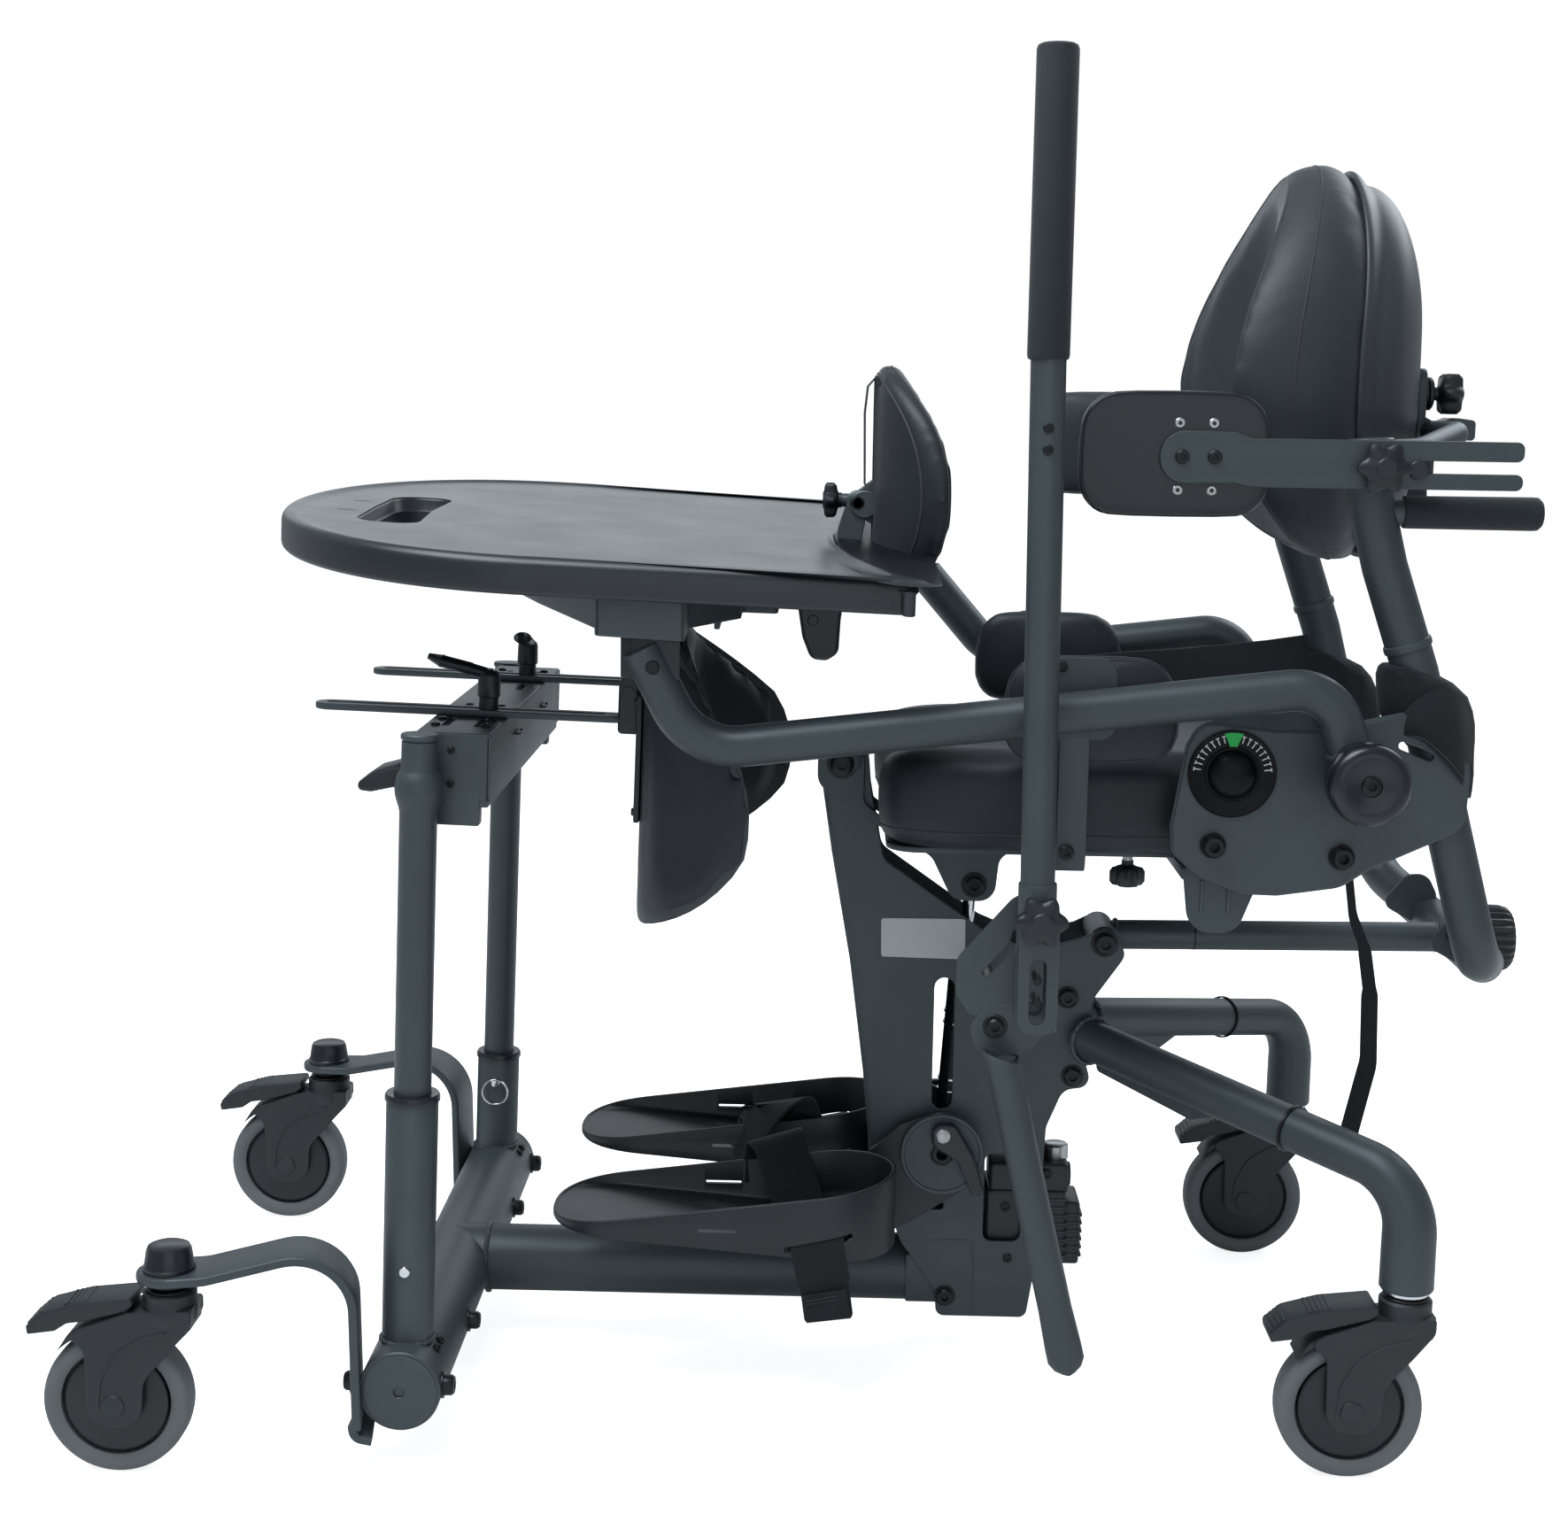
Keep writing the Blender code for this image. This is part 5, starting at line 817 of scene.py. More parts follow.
def spine():
    """The folded channel: two sides, the web in front with round folds, and what is fixed to it."""
    front = [(0.062, 0.556), (0.0715, 0.4937), (0.0906, 0.389), (0.105, 0.282), (0.113, 0.203), (0.139, 0.115)]
    web = [(0.0585, 0.58), *front[:5], (0.12, 0.18)]
    fold = 0.0042
    side = corners([((0.058 + fold, 0.595), 0.014), *[((x + fold, z), 0.05) for x, z in front],
                    ((0.174 + fold, 0.066), 0.02), ((0.176 + fold, 0.04), 0.008), ((0.266, 0.04), 0.008),
                    ((0.275, 0.1), 0.008), ((0.28, 0.23), 0.02), ((0.295, 0.267), 0.015),
                    ((0.322, 0.27), 0.012), ((0.31, 0.312), 0.012), ((0.322, 0.358), 0.012),
                    ((0.3493, 0.3978), 0.012), ((0.3373, 0.4288), 0.014), ((0.3073, 0.4138), 0.008),
                    ((0.26, 0.401), 0.01), ((0.2145, 0.42), 0.012), ((0.12, 0.486), 0.016),
                    ((0.108, 0.55), 0.012), ((0.104, 0.596), 0.018)], 0.008)
    slot = slot_ring((0.1805, 0.255), (0.1805, 0.364), 0.0095)
    window = corners([(0.223, 0.116), (0.258, 0.116), (0.262, 0.203), (0.223, 0.203)], 0.008)
    moon = corners([(0.169, 0.1465), (0.186, 0.1465), (0.1835, 0.156), (0.174, 0.1575)], 0.004)
    meshes = []
    for sign in (-1, 1):
        meshes.append(upright(side, sign * 0.034, sign * SPINE_HALF, [slot, window, moon], 0.0009))
        path = bent([(x + fold, sign * (SPINE_HALF - fold), z) for x, z in web], 0.1, 5)
        meshes.append(sweep(path, circle(fold, 16), up=(0, 1, 0)))
    path = bent([(x + 0.00225, 0, z) for x, z in web], 0.1, 5)
    meshes.append(sweep(path, strip((SPINE_HALF - fold) * 2, 0.0045, 0.0004), up=(-1, 0, 0)))
    for sign in (-1, 1):
        boss = ((0.0, 0.0112), (0.0095, 0.0112), (0.014, 0.01), (0.015, 0.0088), (0.015, -0.001), (0.0, -0.001))
        meshes.append(turned(boss, at(FOOT_PIVOT, sign * SPINE_HALF), (0, sign, 0), 40))
    for sign in (-1, 1):
        crease = ((0.176, 0.116), (0.214, 0.116), (0.2165, 0.042))
        path = bent([at(place, sign * (SPINE_HALF + 0.0002)) for place in crease], 0.004, 4)
        meshes.append(sweep(path, circle(0.0007, 6), up=(0, 1, 0)))
    piece("channel", "base", PAINT, meshes, ["spine_channel"])

    steel = []
    for sign in (-1, 1):
        for x, z, radius in ((0.296, 0.357, 0.0085), (0.303, 0.281, 0.0085), (0.188, 0.0605, 0.008)):
            place = (x, sign * (SPINE_HALF - 0.0002), z)
            steel += bolt_on_washer(place, (0, sign, 0), radius, 0.0056, radius + 0.0022, lift=0.001)
        steel.append(socket_bolt((0.247, sign * SPINE_HALF, 0.0996), (0, sign, 0), 0.0042, 0.003))
    piece("channel_bolts", "base", BLACK_STEEL, steel)

    plate = upright(corners([(0.12, 0.393), (0.1988, 0.3918), (0.1982, 0.4306), (0.1194, 0.43)], 0.0028),
                    -SPINE_HALF - 0.0008, -SPINE_HALF + 0.0003, edge=0.0003)
    piece("blank_rating_plate", "base", LABEL, [plate])


def pump():
    """The hydraulic block behind the channel's lower part."""
    meshes = [block((0.226, -0.0305, 0.092), (0.302, 0.0305, 0.164), 0.0035, 3),
              block((0.229, -0.0285, 0.162), (0.304, 0.0285, 0.19), 0.0035, 3),
              block((0.298, -0.026, 0.09), (0.3165, 0.026, 0.152), 0.004, 3),
              rod((0.3, 0.0, 0.172), (0.308, 0.0, 0.172), 0.012, 0.0012, 40),
              block((0.2265, -0.024, 0.1071), (0.262, 0.024, 0.111), 0.001)]
    for z in (0.098, 0.106, 0.114, 0.122, 0.13, 0.138, 0.146, 0.154):
        meshes.append(block((0.26, -0.0316, z), (0.303, 0.0316, z + 0.0034), 0.0007, 1))
        if z < 0.144:
            meshes.append(block((0.3, -0.027, z), (0.3185, 0.027, z + 0.0034), 0.0007, 1))
    piece("pump_block", "base", PLASTIC, meshes, ["pump_unit"])
    cap = ((0.0, 0.0145), (0.0105, 0.0145), (0.0125, 0.013), (0.0125, 0.0), (0.0, 0.0))
    piece("pump_cap", "base", ZINC, [turned(cap, (0.293, 0, 0.1885), (0, 0, 1), 32)])
    plugs = []
    for sign in (-1, 1):
        for x, z in ((0.283, 0.181), (0.244, 0.148)):
            plugs.append(socket_bolt((x, sign * 0.03, z), (0, sign, 0), 0.0048, 0.0026))
        plugs.append(socket_bolt((0.26, sign * 0.027, 0.186), (0, sign, 0), 0.0042, 0.0022))
    piece("pump_plugs", "base", BLACK_STEEL, plugs)


def actuator():
    """The cylinder on its lower pin, and the chromed rod that reaches the upper one."""
    low, high = at(LIFT_PIVOT), at(CROWN_PIVOT)
    axis = (high - low).normalized()
    barrel = ((0.006, 0.25), (0.012, 0.25), (0.014, 0.2485), (0.014, 0.238), (0.0133, 0.237), (0.0133, 0.016),
              (0.014, 0.015), (0.014, 0.005), (0.0128, 0.004), (0.0, 0.004))
    meshes = [turned(barrel, low, axis, 40), rod(at(LIFT_PIVOT, -0.033), at(LIFT_PIVOT, 0.033), 0.0088)]
    piece("cylinder_barrel", "cylinder", PLASTIC, meshes, ["actuator_cylinder"])
    rings = [turned(((0.01, 0.003), (0.0143, 0.0028), (0.0146, 0.0015), (0.0143, 0.0002), (0.01, 0.0)),
                    low + axis * d, axis, 40) for d in (0.118, 0.13, 0.185, 0.196)]
    rings.append(turned(((0.006, 0.0022), (0.011, 0.0022), (0.0122, 0.0004), (0.006, 0.0)), low + axis * 0.25,
                        axis, 40))
    piece("cylinder_rings", "cylinder", CHROME, rings)
    piece("rod_chrome", "rod", CHROME, [rod(low + axis * 0.06, high - axis * 0.006, 0.006, 0.0004, 32)],
          ["actuator_rod"])
    ball = turned(((0.0, 0.0109), (0.006, 0.0091), (0.0095, 0.0053), (0.0109, 0.0), (0.0095, -0.0053),
                   (0.006, -0.0091), (0.0, -0.0109)), high, axis, 32)
    eye = rod(high - Vector((0, 0.0156, 0)), high + Vector((0, 0.0156, 0)), 0.0092, 0.0008)
    piece("rod_eye", "rod", BLACK_STEEL, [ball, eye])


# Knee support

KNEE_Y = 0.13
BAR_Z = (0.6288, 0.6348)


def knee_frame():
    """The two posts, the slotted beam across them with its screws, and the release paddle."""
    meshes = []
    for side, sign in SIDES:
        y = sign * POST_Y
        post = ((0.0, 0.19), (0.015, 0.19), (0.0159, 0.191), (0.0159, 0.564), (0.0168, 0.568), (0.0186, 0.5735),
                (0.0199, 0.5785), (0.0203, 0.584), (0.0199, 0.5895), (0.0186, 0.594), (0.0166, 0.5975),
                (0.0152, 0.6), (0.015, 0.6235), (0.014, 0.624), (0.014, 0.625), (0.0156, 0.6254),
                (0.0159, 0.6262), (0.0159, 0.629), (0.015, 0.63), (0.0, 0.6302))
        piece(f"knee_post_shape_{side}", "knee_frame", PAINT, [turned(post, (CROSS_X, y, 0), (0, 0, 1), 56)],
              [f"knee_post_{side}"], placing=LEANED)
    half = 0.244
    outline = rectangle(-0.295, -half, -0.231, half, 0.002)
    slots = []
    for sign in (-1, 1):
        for start, end in ((0.06, 0.098), (0.15, 0.2)):
            slots += [slot_ring((x, sign * start), (x, sign * end), 0.003) for x in (-0.277, -0.248)]
    meshes.append(level(outline, 0.6235, 0.6285, slots, 0.0016))
    meshes.append(block((-0.295, -half, 0.5715), (-0.2908, half, 0.627), 0.0016, 3))
    meshes.append(block((-0.2352, -half, 0.5715), (-0.231, half, 0.627), 0.0016, 3))
    for sign in (-1, 1):
        meshes.append(block((-0.295, sign * (half - 0.0042), 0.5715), (-0.231, sign * half, 0.627), 0.0016, 3))
        meshes.append(block((-0.2806, sign * 0.2266, 0.5495), (-0.2394, sign * 0.2442, 0.58), 0.002, 2))
        edge = [(-0.2316, sign * (half + 0.0004), 0.574), (-0.2316, sign * (half + 0.0004), 0.6265)]
        meshes.append(sweep(edge, circle(0.001, 8), up=(0, 1, 0)))
    meshes.append(block((-0.245, -half + 0.001, 0.5655), (-0.2322, half - 0.001, 0.5755), 0.0016, 2))
    for y in (-0.095, 0.09):
        loop = corners([((-0.2303, y), 0.003), ((-0.2303, y + 0.026), 0.003), ((-0.226, y + 0.026), 0.003),
                        ((-0.226, y), 0.003)], 0.003)
        meshes.append(sweep([(x, b, 0.608) for x, b in loop], circle(0.0011, 8), loop=True))
    piece("knee_crossbeam", "knee_frame", PAINT, meshes, ["knee_beam"], placing=LEANED)
    caps = []
    for sign in (-1, 1):
        for x, y in ((-0.285, 0.202), (-0.285, 0.166), (-0.242, 0.202), (-0.242, 0.166)):
            caps.append(socket_bolt((x, sign * y, 0.6283), (0, 0, 1), 0.004, 0.0026))
        for z in (0.585, 0.614):
            caps.append(socket_bolt((-0.264, sign * 0.2439, z), (0, sign, 0), 0.0034, 0.0022))
    piece("knee_beam_screws", "knee_frame", BLACK_STEEL, caps, placing=LEANED)

    paddle = corners([(-0.299, 0.58), (-0.301, 0.596), (-0.312, 0.5975), (-0.33, 0.592), (-0.3445, 0.5815),
                      (-0.344, 0.5745), (-0.333, 0.5735), (-0.315, 0.578)], 0.006)
    meshes = [upright(paddle, -0.2375, -0.1905, edge=0.003),
              rod((-0.3066, -0.2378, 0.586), (-0.3066, -0.1902, 0.586), 0.0075, 0.001)]
    piece("release_paddle", "knee_release", PLASTIC, meshes, ["knee_release_paddle"], placing=LEANED)


def knee_bars():
    """The slotted bars over the beam, each with the swivel block and the plate of its knee pad."""
    for side, sign in SIDES:
        y = sign * KNEE_Y
        outer = slot_ring((-0.389, y), (-0.14, y), 0.0148, 14)
        inner = slot_ring((-0.3885, y), (-0.15, y), 0.005, 8)
        tongue = block((-0.146, y - 0.0115, BAR_Z[0]), (-0.1165, y + 0.0115, BAR_Z[1]), 0.0012)
        arm = [level(outer, *BAR_Z, [inner], 0.0012), tongue]
        piece(f"knee_bar_shape_{side}", f"knee_bar_{side}", PAINT, arm, [f"knee_bar_{side}"], placing=LEANED)
        swivel = corners([((-0.134, 0.619), 0.004), ((-0.134, 0.664), 0.01), ((-0.1275, 0.6745), 0.008),
                          ((-0.1162, 0.6745), 0.003), ((-0.1162, 0.619), 0.003)], 0.004)
        meshes = [upright(swivel, y - 0.0118, y + 0.0118, edge=0.0018)]
        meshes.append(rod((-0.125, y - 0.0122, 0.656), (-0.125, y + 0.0122, 0.656), 0.0062, 0.0008))
        plate = rectangle(y - 0.0195, 0.5405, y + 0.0195, 0.658, 0.006)
        flat = sheet_of([plate, slot_ring((y, 0.56), (y, 0.61), 0.0042)], 0.0048,
                        placed((-0.1146, 0, 0), ((0, 0, 1), (1, 0, 0), (0, 1, 0))), 0.0008)
        meshes.append(flat)
        for z in (0.55, 0.648):
            for dy in (-0.012, 0.012):
                meshes.append(socket_bolt((-0.117, y + dy, z), (-1, 0, 0), 0.0036, 0.0024))
        piece(f"knee_swivel_{side}", f"knee_bar_{side}", PLASTIC, meshes, placing=LEANED)


def ratchets():
    """The ratchet handles that clamp the bars, with the stud under each."""
    for side, sign in SIDES:
        base_at = Vector((-0.25, sign * KNEE_Y, 0.6351))
        heading = Vector((-1, 0, 0)) if sign < 0 else Vector((0, -1, 0))
        hub = ((0.0, 0.034), (0.0062, 0.034), (0.0072, 0.033), (0.0092, 0.031), (0.0098, 0.0285),
               (0.0102, 0.012), (0.0098, 0.0105), (0.0086, 0.0098), (0.0086, 0.0002), (0.0, 0.0002))
        top = base_at + Vector((0, 0, 0.03))
        path = bent([top - heading * 0.002, (top + heading * 0.016 + Vector((0, 0, 0.0045)), 0.02),
                     (top + heading * 0.042 + Vector((0, 0, 0.01)), 0.03),
                     top + heading * 0.0545 + Vector((0, 0, 0.0142))], 0.02, 6)
        count = len(path)
        sizes = [1.0 + 0.25 * index / (count - 1) for index in range(count)]
        sizes[-1] = 0.55
        sizes[-2] = 1.1
        lever = sweep(path, [(x * 1.25, y * 0.85) for x, y in circle(0.0058, 20)], sizes=sizes)
        piece(f"ratchet_lever_{side}", f"ratchet_{side}", PLASTIC, [turned(hub, base_at, (0, 0, 1), 36), lever],
              [f"ratchet_handle_{side}"], placing=LEANED)
        stud = [rod(base_at - Vector((0, 0, 0.0172)), base_at + Vector((0, 0, 0.001)), 0.0034, 0.0004, 20),
                turned(((0.0, 0.0022), (0.0034, 0.0018), (0.004, 0.0), (0.0, 0.0)),
                       base_at + Vector((0, 0, 0.0338)), (0, 0, 1), 20)]
        piece(f"ratchet_stud_{side}", f"ratchet_{side}", ZINC, stud, placing=LEANED)


spine()
pump()
actuator()
knee_frame()
knee_bars()
ratchets()


# Seat

KNEE_PIVOT = (0.08, 0.576)
HIP_PIVOT = (0.414, 0.58)
SIDE_PLATE_Y = 0.2165
SIDE_PLATE_THICK = 0.005


def seat_frame():
    """The lift brackets, side arms, rails, pan and cross bar, with their bolts, and the depth knob."""
    meshes = []
    bracket = corners([((0.0575, 0.597), 0.02), ((0.0575, 0.556), 0.018), (0.115, 0.518), ((0.165, 0.49), 0.02),
                       ((0.185, 0.449), 0.016), ((0.224, 0.448), 0.016), ((0.228, 0.49), 0.014),
                       ((0.28, 0.5165), 0.006), ((0.13, 0.5168), 0.004), (0.101, 0.54),
                       ((0.1015, 0.597), 0.02)], 0.01)
    for sign in (-1, 1):
        meshes.append(upright(bracket, sign * 0.0385, sign * 0.0425, edge=0.0009))
        ear = ((0.0, 0.0016), (0.0125, 0.0016), (0.016, 0.0004), (0.0162, -0.001), (0.0, -0.001))
        meshes.append(turned(ear, (0.083, sign * 0.0425, 0.581), (0, sign, 0), 40))
        side = corners([((0.38, 0.46), 0.0203), ((0.421, 0.46), 0.0203), (0.44, 0.51), ((0.438, 0.604), 0.022),
                        ((0.39, 0.604), 0.022), (0.374, 0.51)], 0.012)
        meshes.append(upright(side, sign * 0.199, sign * 0.206, edge=0.0012))
        for x in (0.39, 0.413):
            rib = [(x, sign * 0.2062, 0.478), (x, sign * 0.2062, 0.506)]
            meshes.append(sweep(rib, circle(0.0017, 10), up=(0, 1, 0)))
        meshes.append(rod(at(HIP_PIVOT, sign * 0.204), at(HIP_PIVOT, sign * 0.2214), 0.01))
        rail = [at(place, sign * 0.082) for place in ((0.291, 0.515), (0.291, 0.462), (0.402, 0.462),
                                                      (0.402, 0.512))]
        meshes.append(sweep(bent(rail, 0.012), strip(0.006, 0.0058, 0.0012)))
    pan = rectangle(0.12, -0.16, 0.455, 0.16, 0.03)
    meshes.append(level(pan, 0.5162, 0.5213, edge=0.0008))
    meshes.append(block((0.372, -0.2055, 0.5062), (0.414, 0.2055, 0.5172), 0.0022, 3))
    for sign in (-1, 1):
        meshes.append(weld((0.393, sign * 0.1985, 0.5117), (0, 1, 0), 0.019, 0.0018, squash=0.3))
    piece("seat_brackets", "seat", PAINT, meshes, ["seat_frame"])
    steel = []
    for sign in (-1, 1):
        for pivot, radius in ((CROWN_PIVOT, 0.009), (KNEE_PIVOT, 0.011)):
            steel += bolt_on_washer(at(pivot, sign * 0.0424), (0, sign, 0), radius, 0.005, radius + 0.003)
        steel.append(socket_bolt((0.127, sign * 0.0424, 0.508), (0, sign, 0), 0.005, 0.0034))
        low = at(CROWN_PIVOT, sign * 0.0175)
        steel.append(rod(low, low + Vector((0, sign * 0.021, 0)), 0.008, 0.0006))
        stop = ((0.0, 0.007), (0.0058, 0.007), (0.0066, 0.006), (0.0066, 0.0), (0.0, 0.0))
        steel.append(turned(stop, (0.291, sign * 0.085, 0.496), (0, sign, 0), 28))
    bumper = ((0.0, 0.01), (0.006, 0.01), (0.0075, 0.0085), (0.0085, 0.0), (0.0, 0.0))
    for y in (-0.06, 0.06):
        steel.append(turned(bumper, (0.265, y, 0.5165), (0, 0, -1), 28))
    piece("seat_bolts", "seat", BLACK_STEEL, steel)

    base_at = Vector((0.338, -0.11, 0.5158))
    knob = star_knob(base_at - Vector((0, 0, 0.012)), (0, 0, -1), 0.016, 0.024, 6, 0.0055)
    piece("depth_star_knob", "depth_knob", PLASTIC, [knob], ["seat_depth_knob"])
    stud = [rod(base_at - Vector((0, 0, 0.013)), base_at - Vector((0, 0, 0.0004)), 0.0046, 0.0004, 24),
            washer(base_at - Vector((0, 0, 0.0035)), (0, 0, 1), 0.0085, 0.0016, 0.003)]
    piece("depth_stud", "depth_knob", ZINC, stud)


def hip_brackets():
    """The folded straps that hold the hip pads, each with its plate and screws."""
    for side, sign in SIDES:
        y = sign * 0.2175
        path = bent([(0.2755, sign * 0.131, 0.5144), ((0.2755, y, 0.5144), 0.01), (0.2755, y, 0.63)], 0.01, 8)
        meshes = [sweep(path, strip(0.025, 0.0032, 0.0007))]
        plate = corners([((0.25, 0.628), 0.014), ((0.31, 0.628), 0.014), ((0.31, 0.698), 0.016),
                         ((0.25, 0.698), 0.016)], 0.014)
        meshes.append(upright(plate, sign * 0.216, sign * 0.219, edge=0.0007))
        piece(f"hip_strap_{side}", f"hip_{side}", PAINT, meshes, [f"hip_bracket_{side}"])
        steel = []
        for x, z in ((0.263, 0.69), (0.2966, 0.668)):
            steel.append(socket_bolt((x, sign * 0.2188, z), (0, sign, 0), 0.0046, 0.0022))
        steel.append(socket_bolt((0.2715, sign * 0.2188, 0.531), (0, sign, 0), 0.0066, 0.0042))
        piece(f"hip_screws_{side}", f"hip_{side}", BLACK_STEEL, steel)


# Side plates and dial

DIAL_CENTRE = (0.4086, 0.6019)
ARM_PIVOT = (0.5104, 0.6043)


def side_plates():
    """The plates beside the seat that carry the back and the tray arms, with a rolled rim and bolts."""
    outline = corners([(0.362, 0.533), (0.36, 0.556), (0.371, 0.625), ((0.382, 0.645), 0.018),
                       ((0.445, 0.6385), 0.04), ((0.482, 0.639), 0.04), ((0.556, 0.656), 0.02),
                       ((0.609, 0.615), 0.03), ((0.606, 0.558), 0.02), ((0.527, 0.521), 0.03),
                       ((0.505, 0.506), 0.03), ((0.452, 0.498), 0.03), ((0.4215, 0.4987), 0.03),
                       ((0.383, 0.514), 0.02)], 0.012)
    for side, sign in SIDES:
        holes = [ring(*HIP_PIVOT, 0.0106), ring(*ARM_PIVOT, 0.0088),
                 slot_ring((0.551, 0.628), (0.574, 0.619), 0.0035)]
        meshes = [upright(outline, sign * SIDE_PLATE_Y, sign * (SIDE_PLATE_Y + SIDE_PLATE_THICK), holes,
                          0.0016)]
        face = sign * (SIDE_PLATE_Y + 0.0008)
        meshes.append(sweep([at(place, face) for place in outline], circle(0.0017, 8), up=(0, 1, 0), loop=True))
        piece(f"plate_{side}", "back", PAINT, meshes, [f"side_plate_{side}"])
        steel = []
        for place in ((0.395, 0.54), (0.504, 0.532)):
            place = at(place, sign * (SIDE_PLATE_Y + SIDE_PLATE_THICK - 0.0003))
            steel += bolt_on_washer(place, (0, sign, 0), 0.0098, 0.011, 0.0112, 0.0016)
        piece(f"plate_bolts_{side}", "back", BLACK_STEEL, steel)


def dial():
    """The tilt dial: a dark ring with ticks, a green mark at its top and a smooth dome."""
    face = -SIDE_PLATE_Y - SIDE_PLATE_THICK
    centre = at(DIAL_CENTRE, face - 0.0003)
    ring_shape = ((0.0, 0.0024), (0.0352, 0.0024), (0.0366, 0.003), (0.0373, 0.0022), (0.0373, 0.0), (0.0, 0.0))
    dome = ((0.0, 0.0118), (0.006, 0.0115), (0.012, 0.0103), (0.0165, 0.0082), (0.019, 0.0056), (0.02, 0.003),
            (0.02, 0.0))
    well = ((0.0205, 0.0024), (0.0213, 0.0034), (0.0228, 0.0034), (0.0236, 0.0024))
    meshes = [turned(shape, centre, (0, -1, 0), steps) for shape,
              steps in ((ring_shape, 96), (dome, 64), (well, 72))]
    piece("dial_face", "back", INK, meshes, ["angle_dial"])
    white = []
    for direction in (-1, 1):
        for step in range(8):
            angle = math.radians(90 - direction * (15.5 + 9.6 * step))
            spoke = Vector((math.cos(angle), 0, math.sin(angle)))
            across = Vector((-spoke.z, 0, spoke.x))
            top = centre + Vector((0, -0.0025, 0))
            tip = top + spoke * 0.033
            for line in ([top + spoke * 0.027, tip], [tip - across * 0.0016, tip + across * 0.0016]):
                white.append(sweep(line, circle(0.0005, 6), up=(0, 1, 0)))
    piece("dial_ticks", "back", MARK_WHITE, white)
    mark = []
    for radius in (0.0242, 0.0262, 0.0282, 0.0302, 0.0322, 0.0342):
        spread = 13 - (0.0342 - radius) * 520
        turns = [math.radians(90 + a * spread / 3) for a in range(-3, 4)]
        arc = [centre + Vector((radius * math.cos(turn), -0.0024, radius * math.sin(turn))) for turn in turns]
        mark.append(sweep(arc, strip(0.0022, 0.0006), up=(0, 1, 0)))
    piece("dial_green_mark", "back", MARK_GREEN, mark)


# Back frame

BACK_PIVOT = (0.6633, 0.4138)
BACK_TUBE_Y = 0.1972


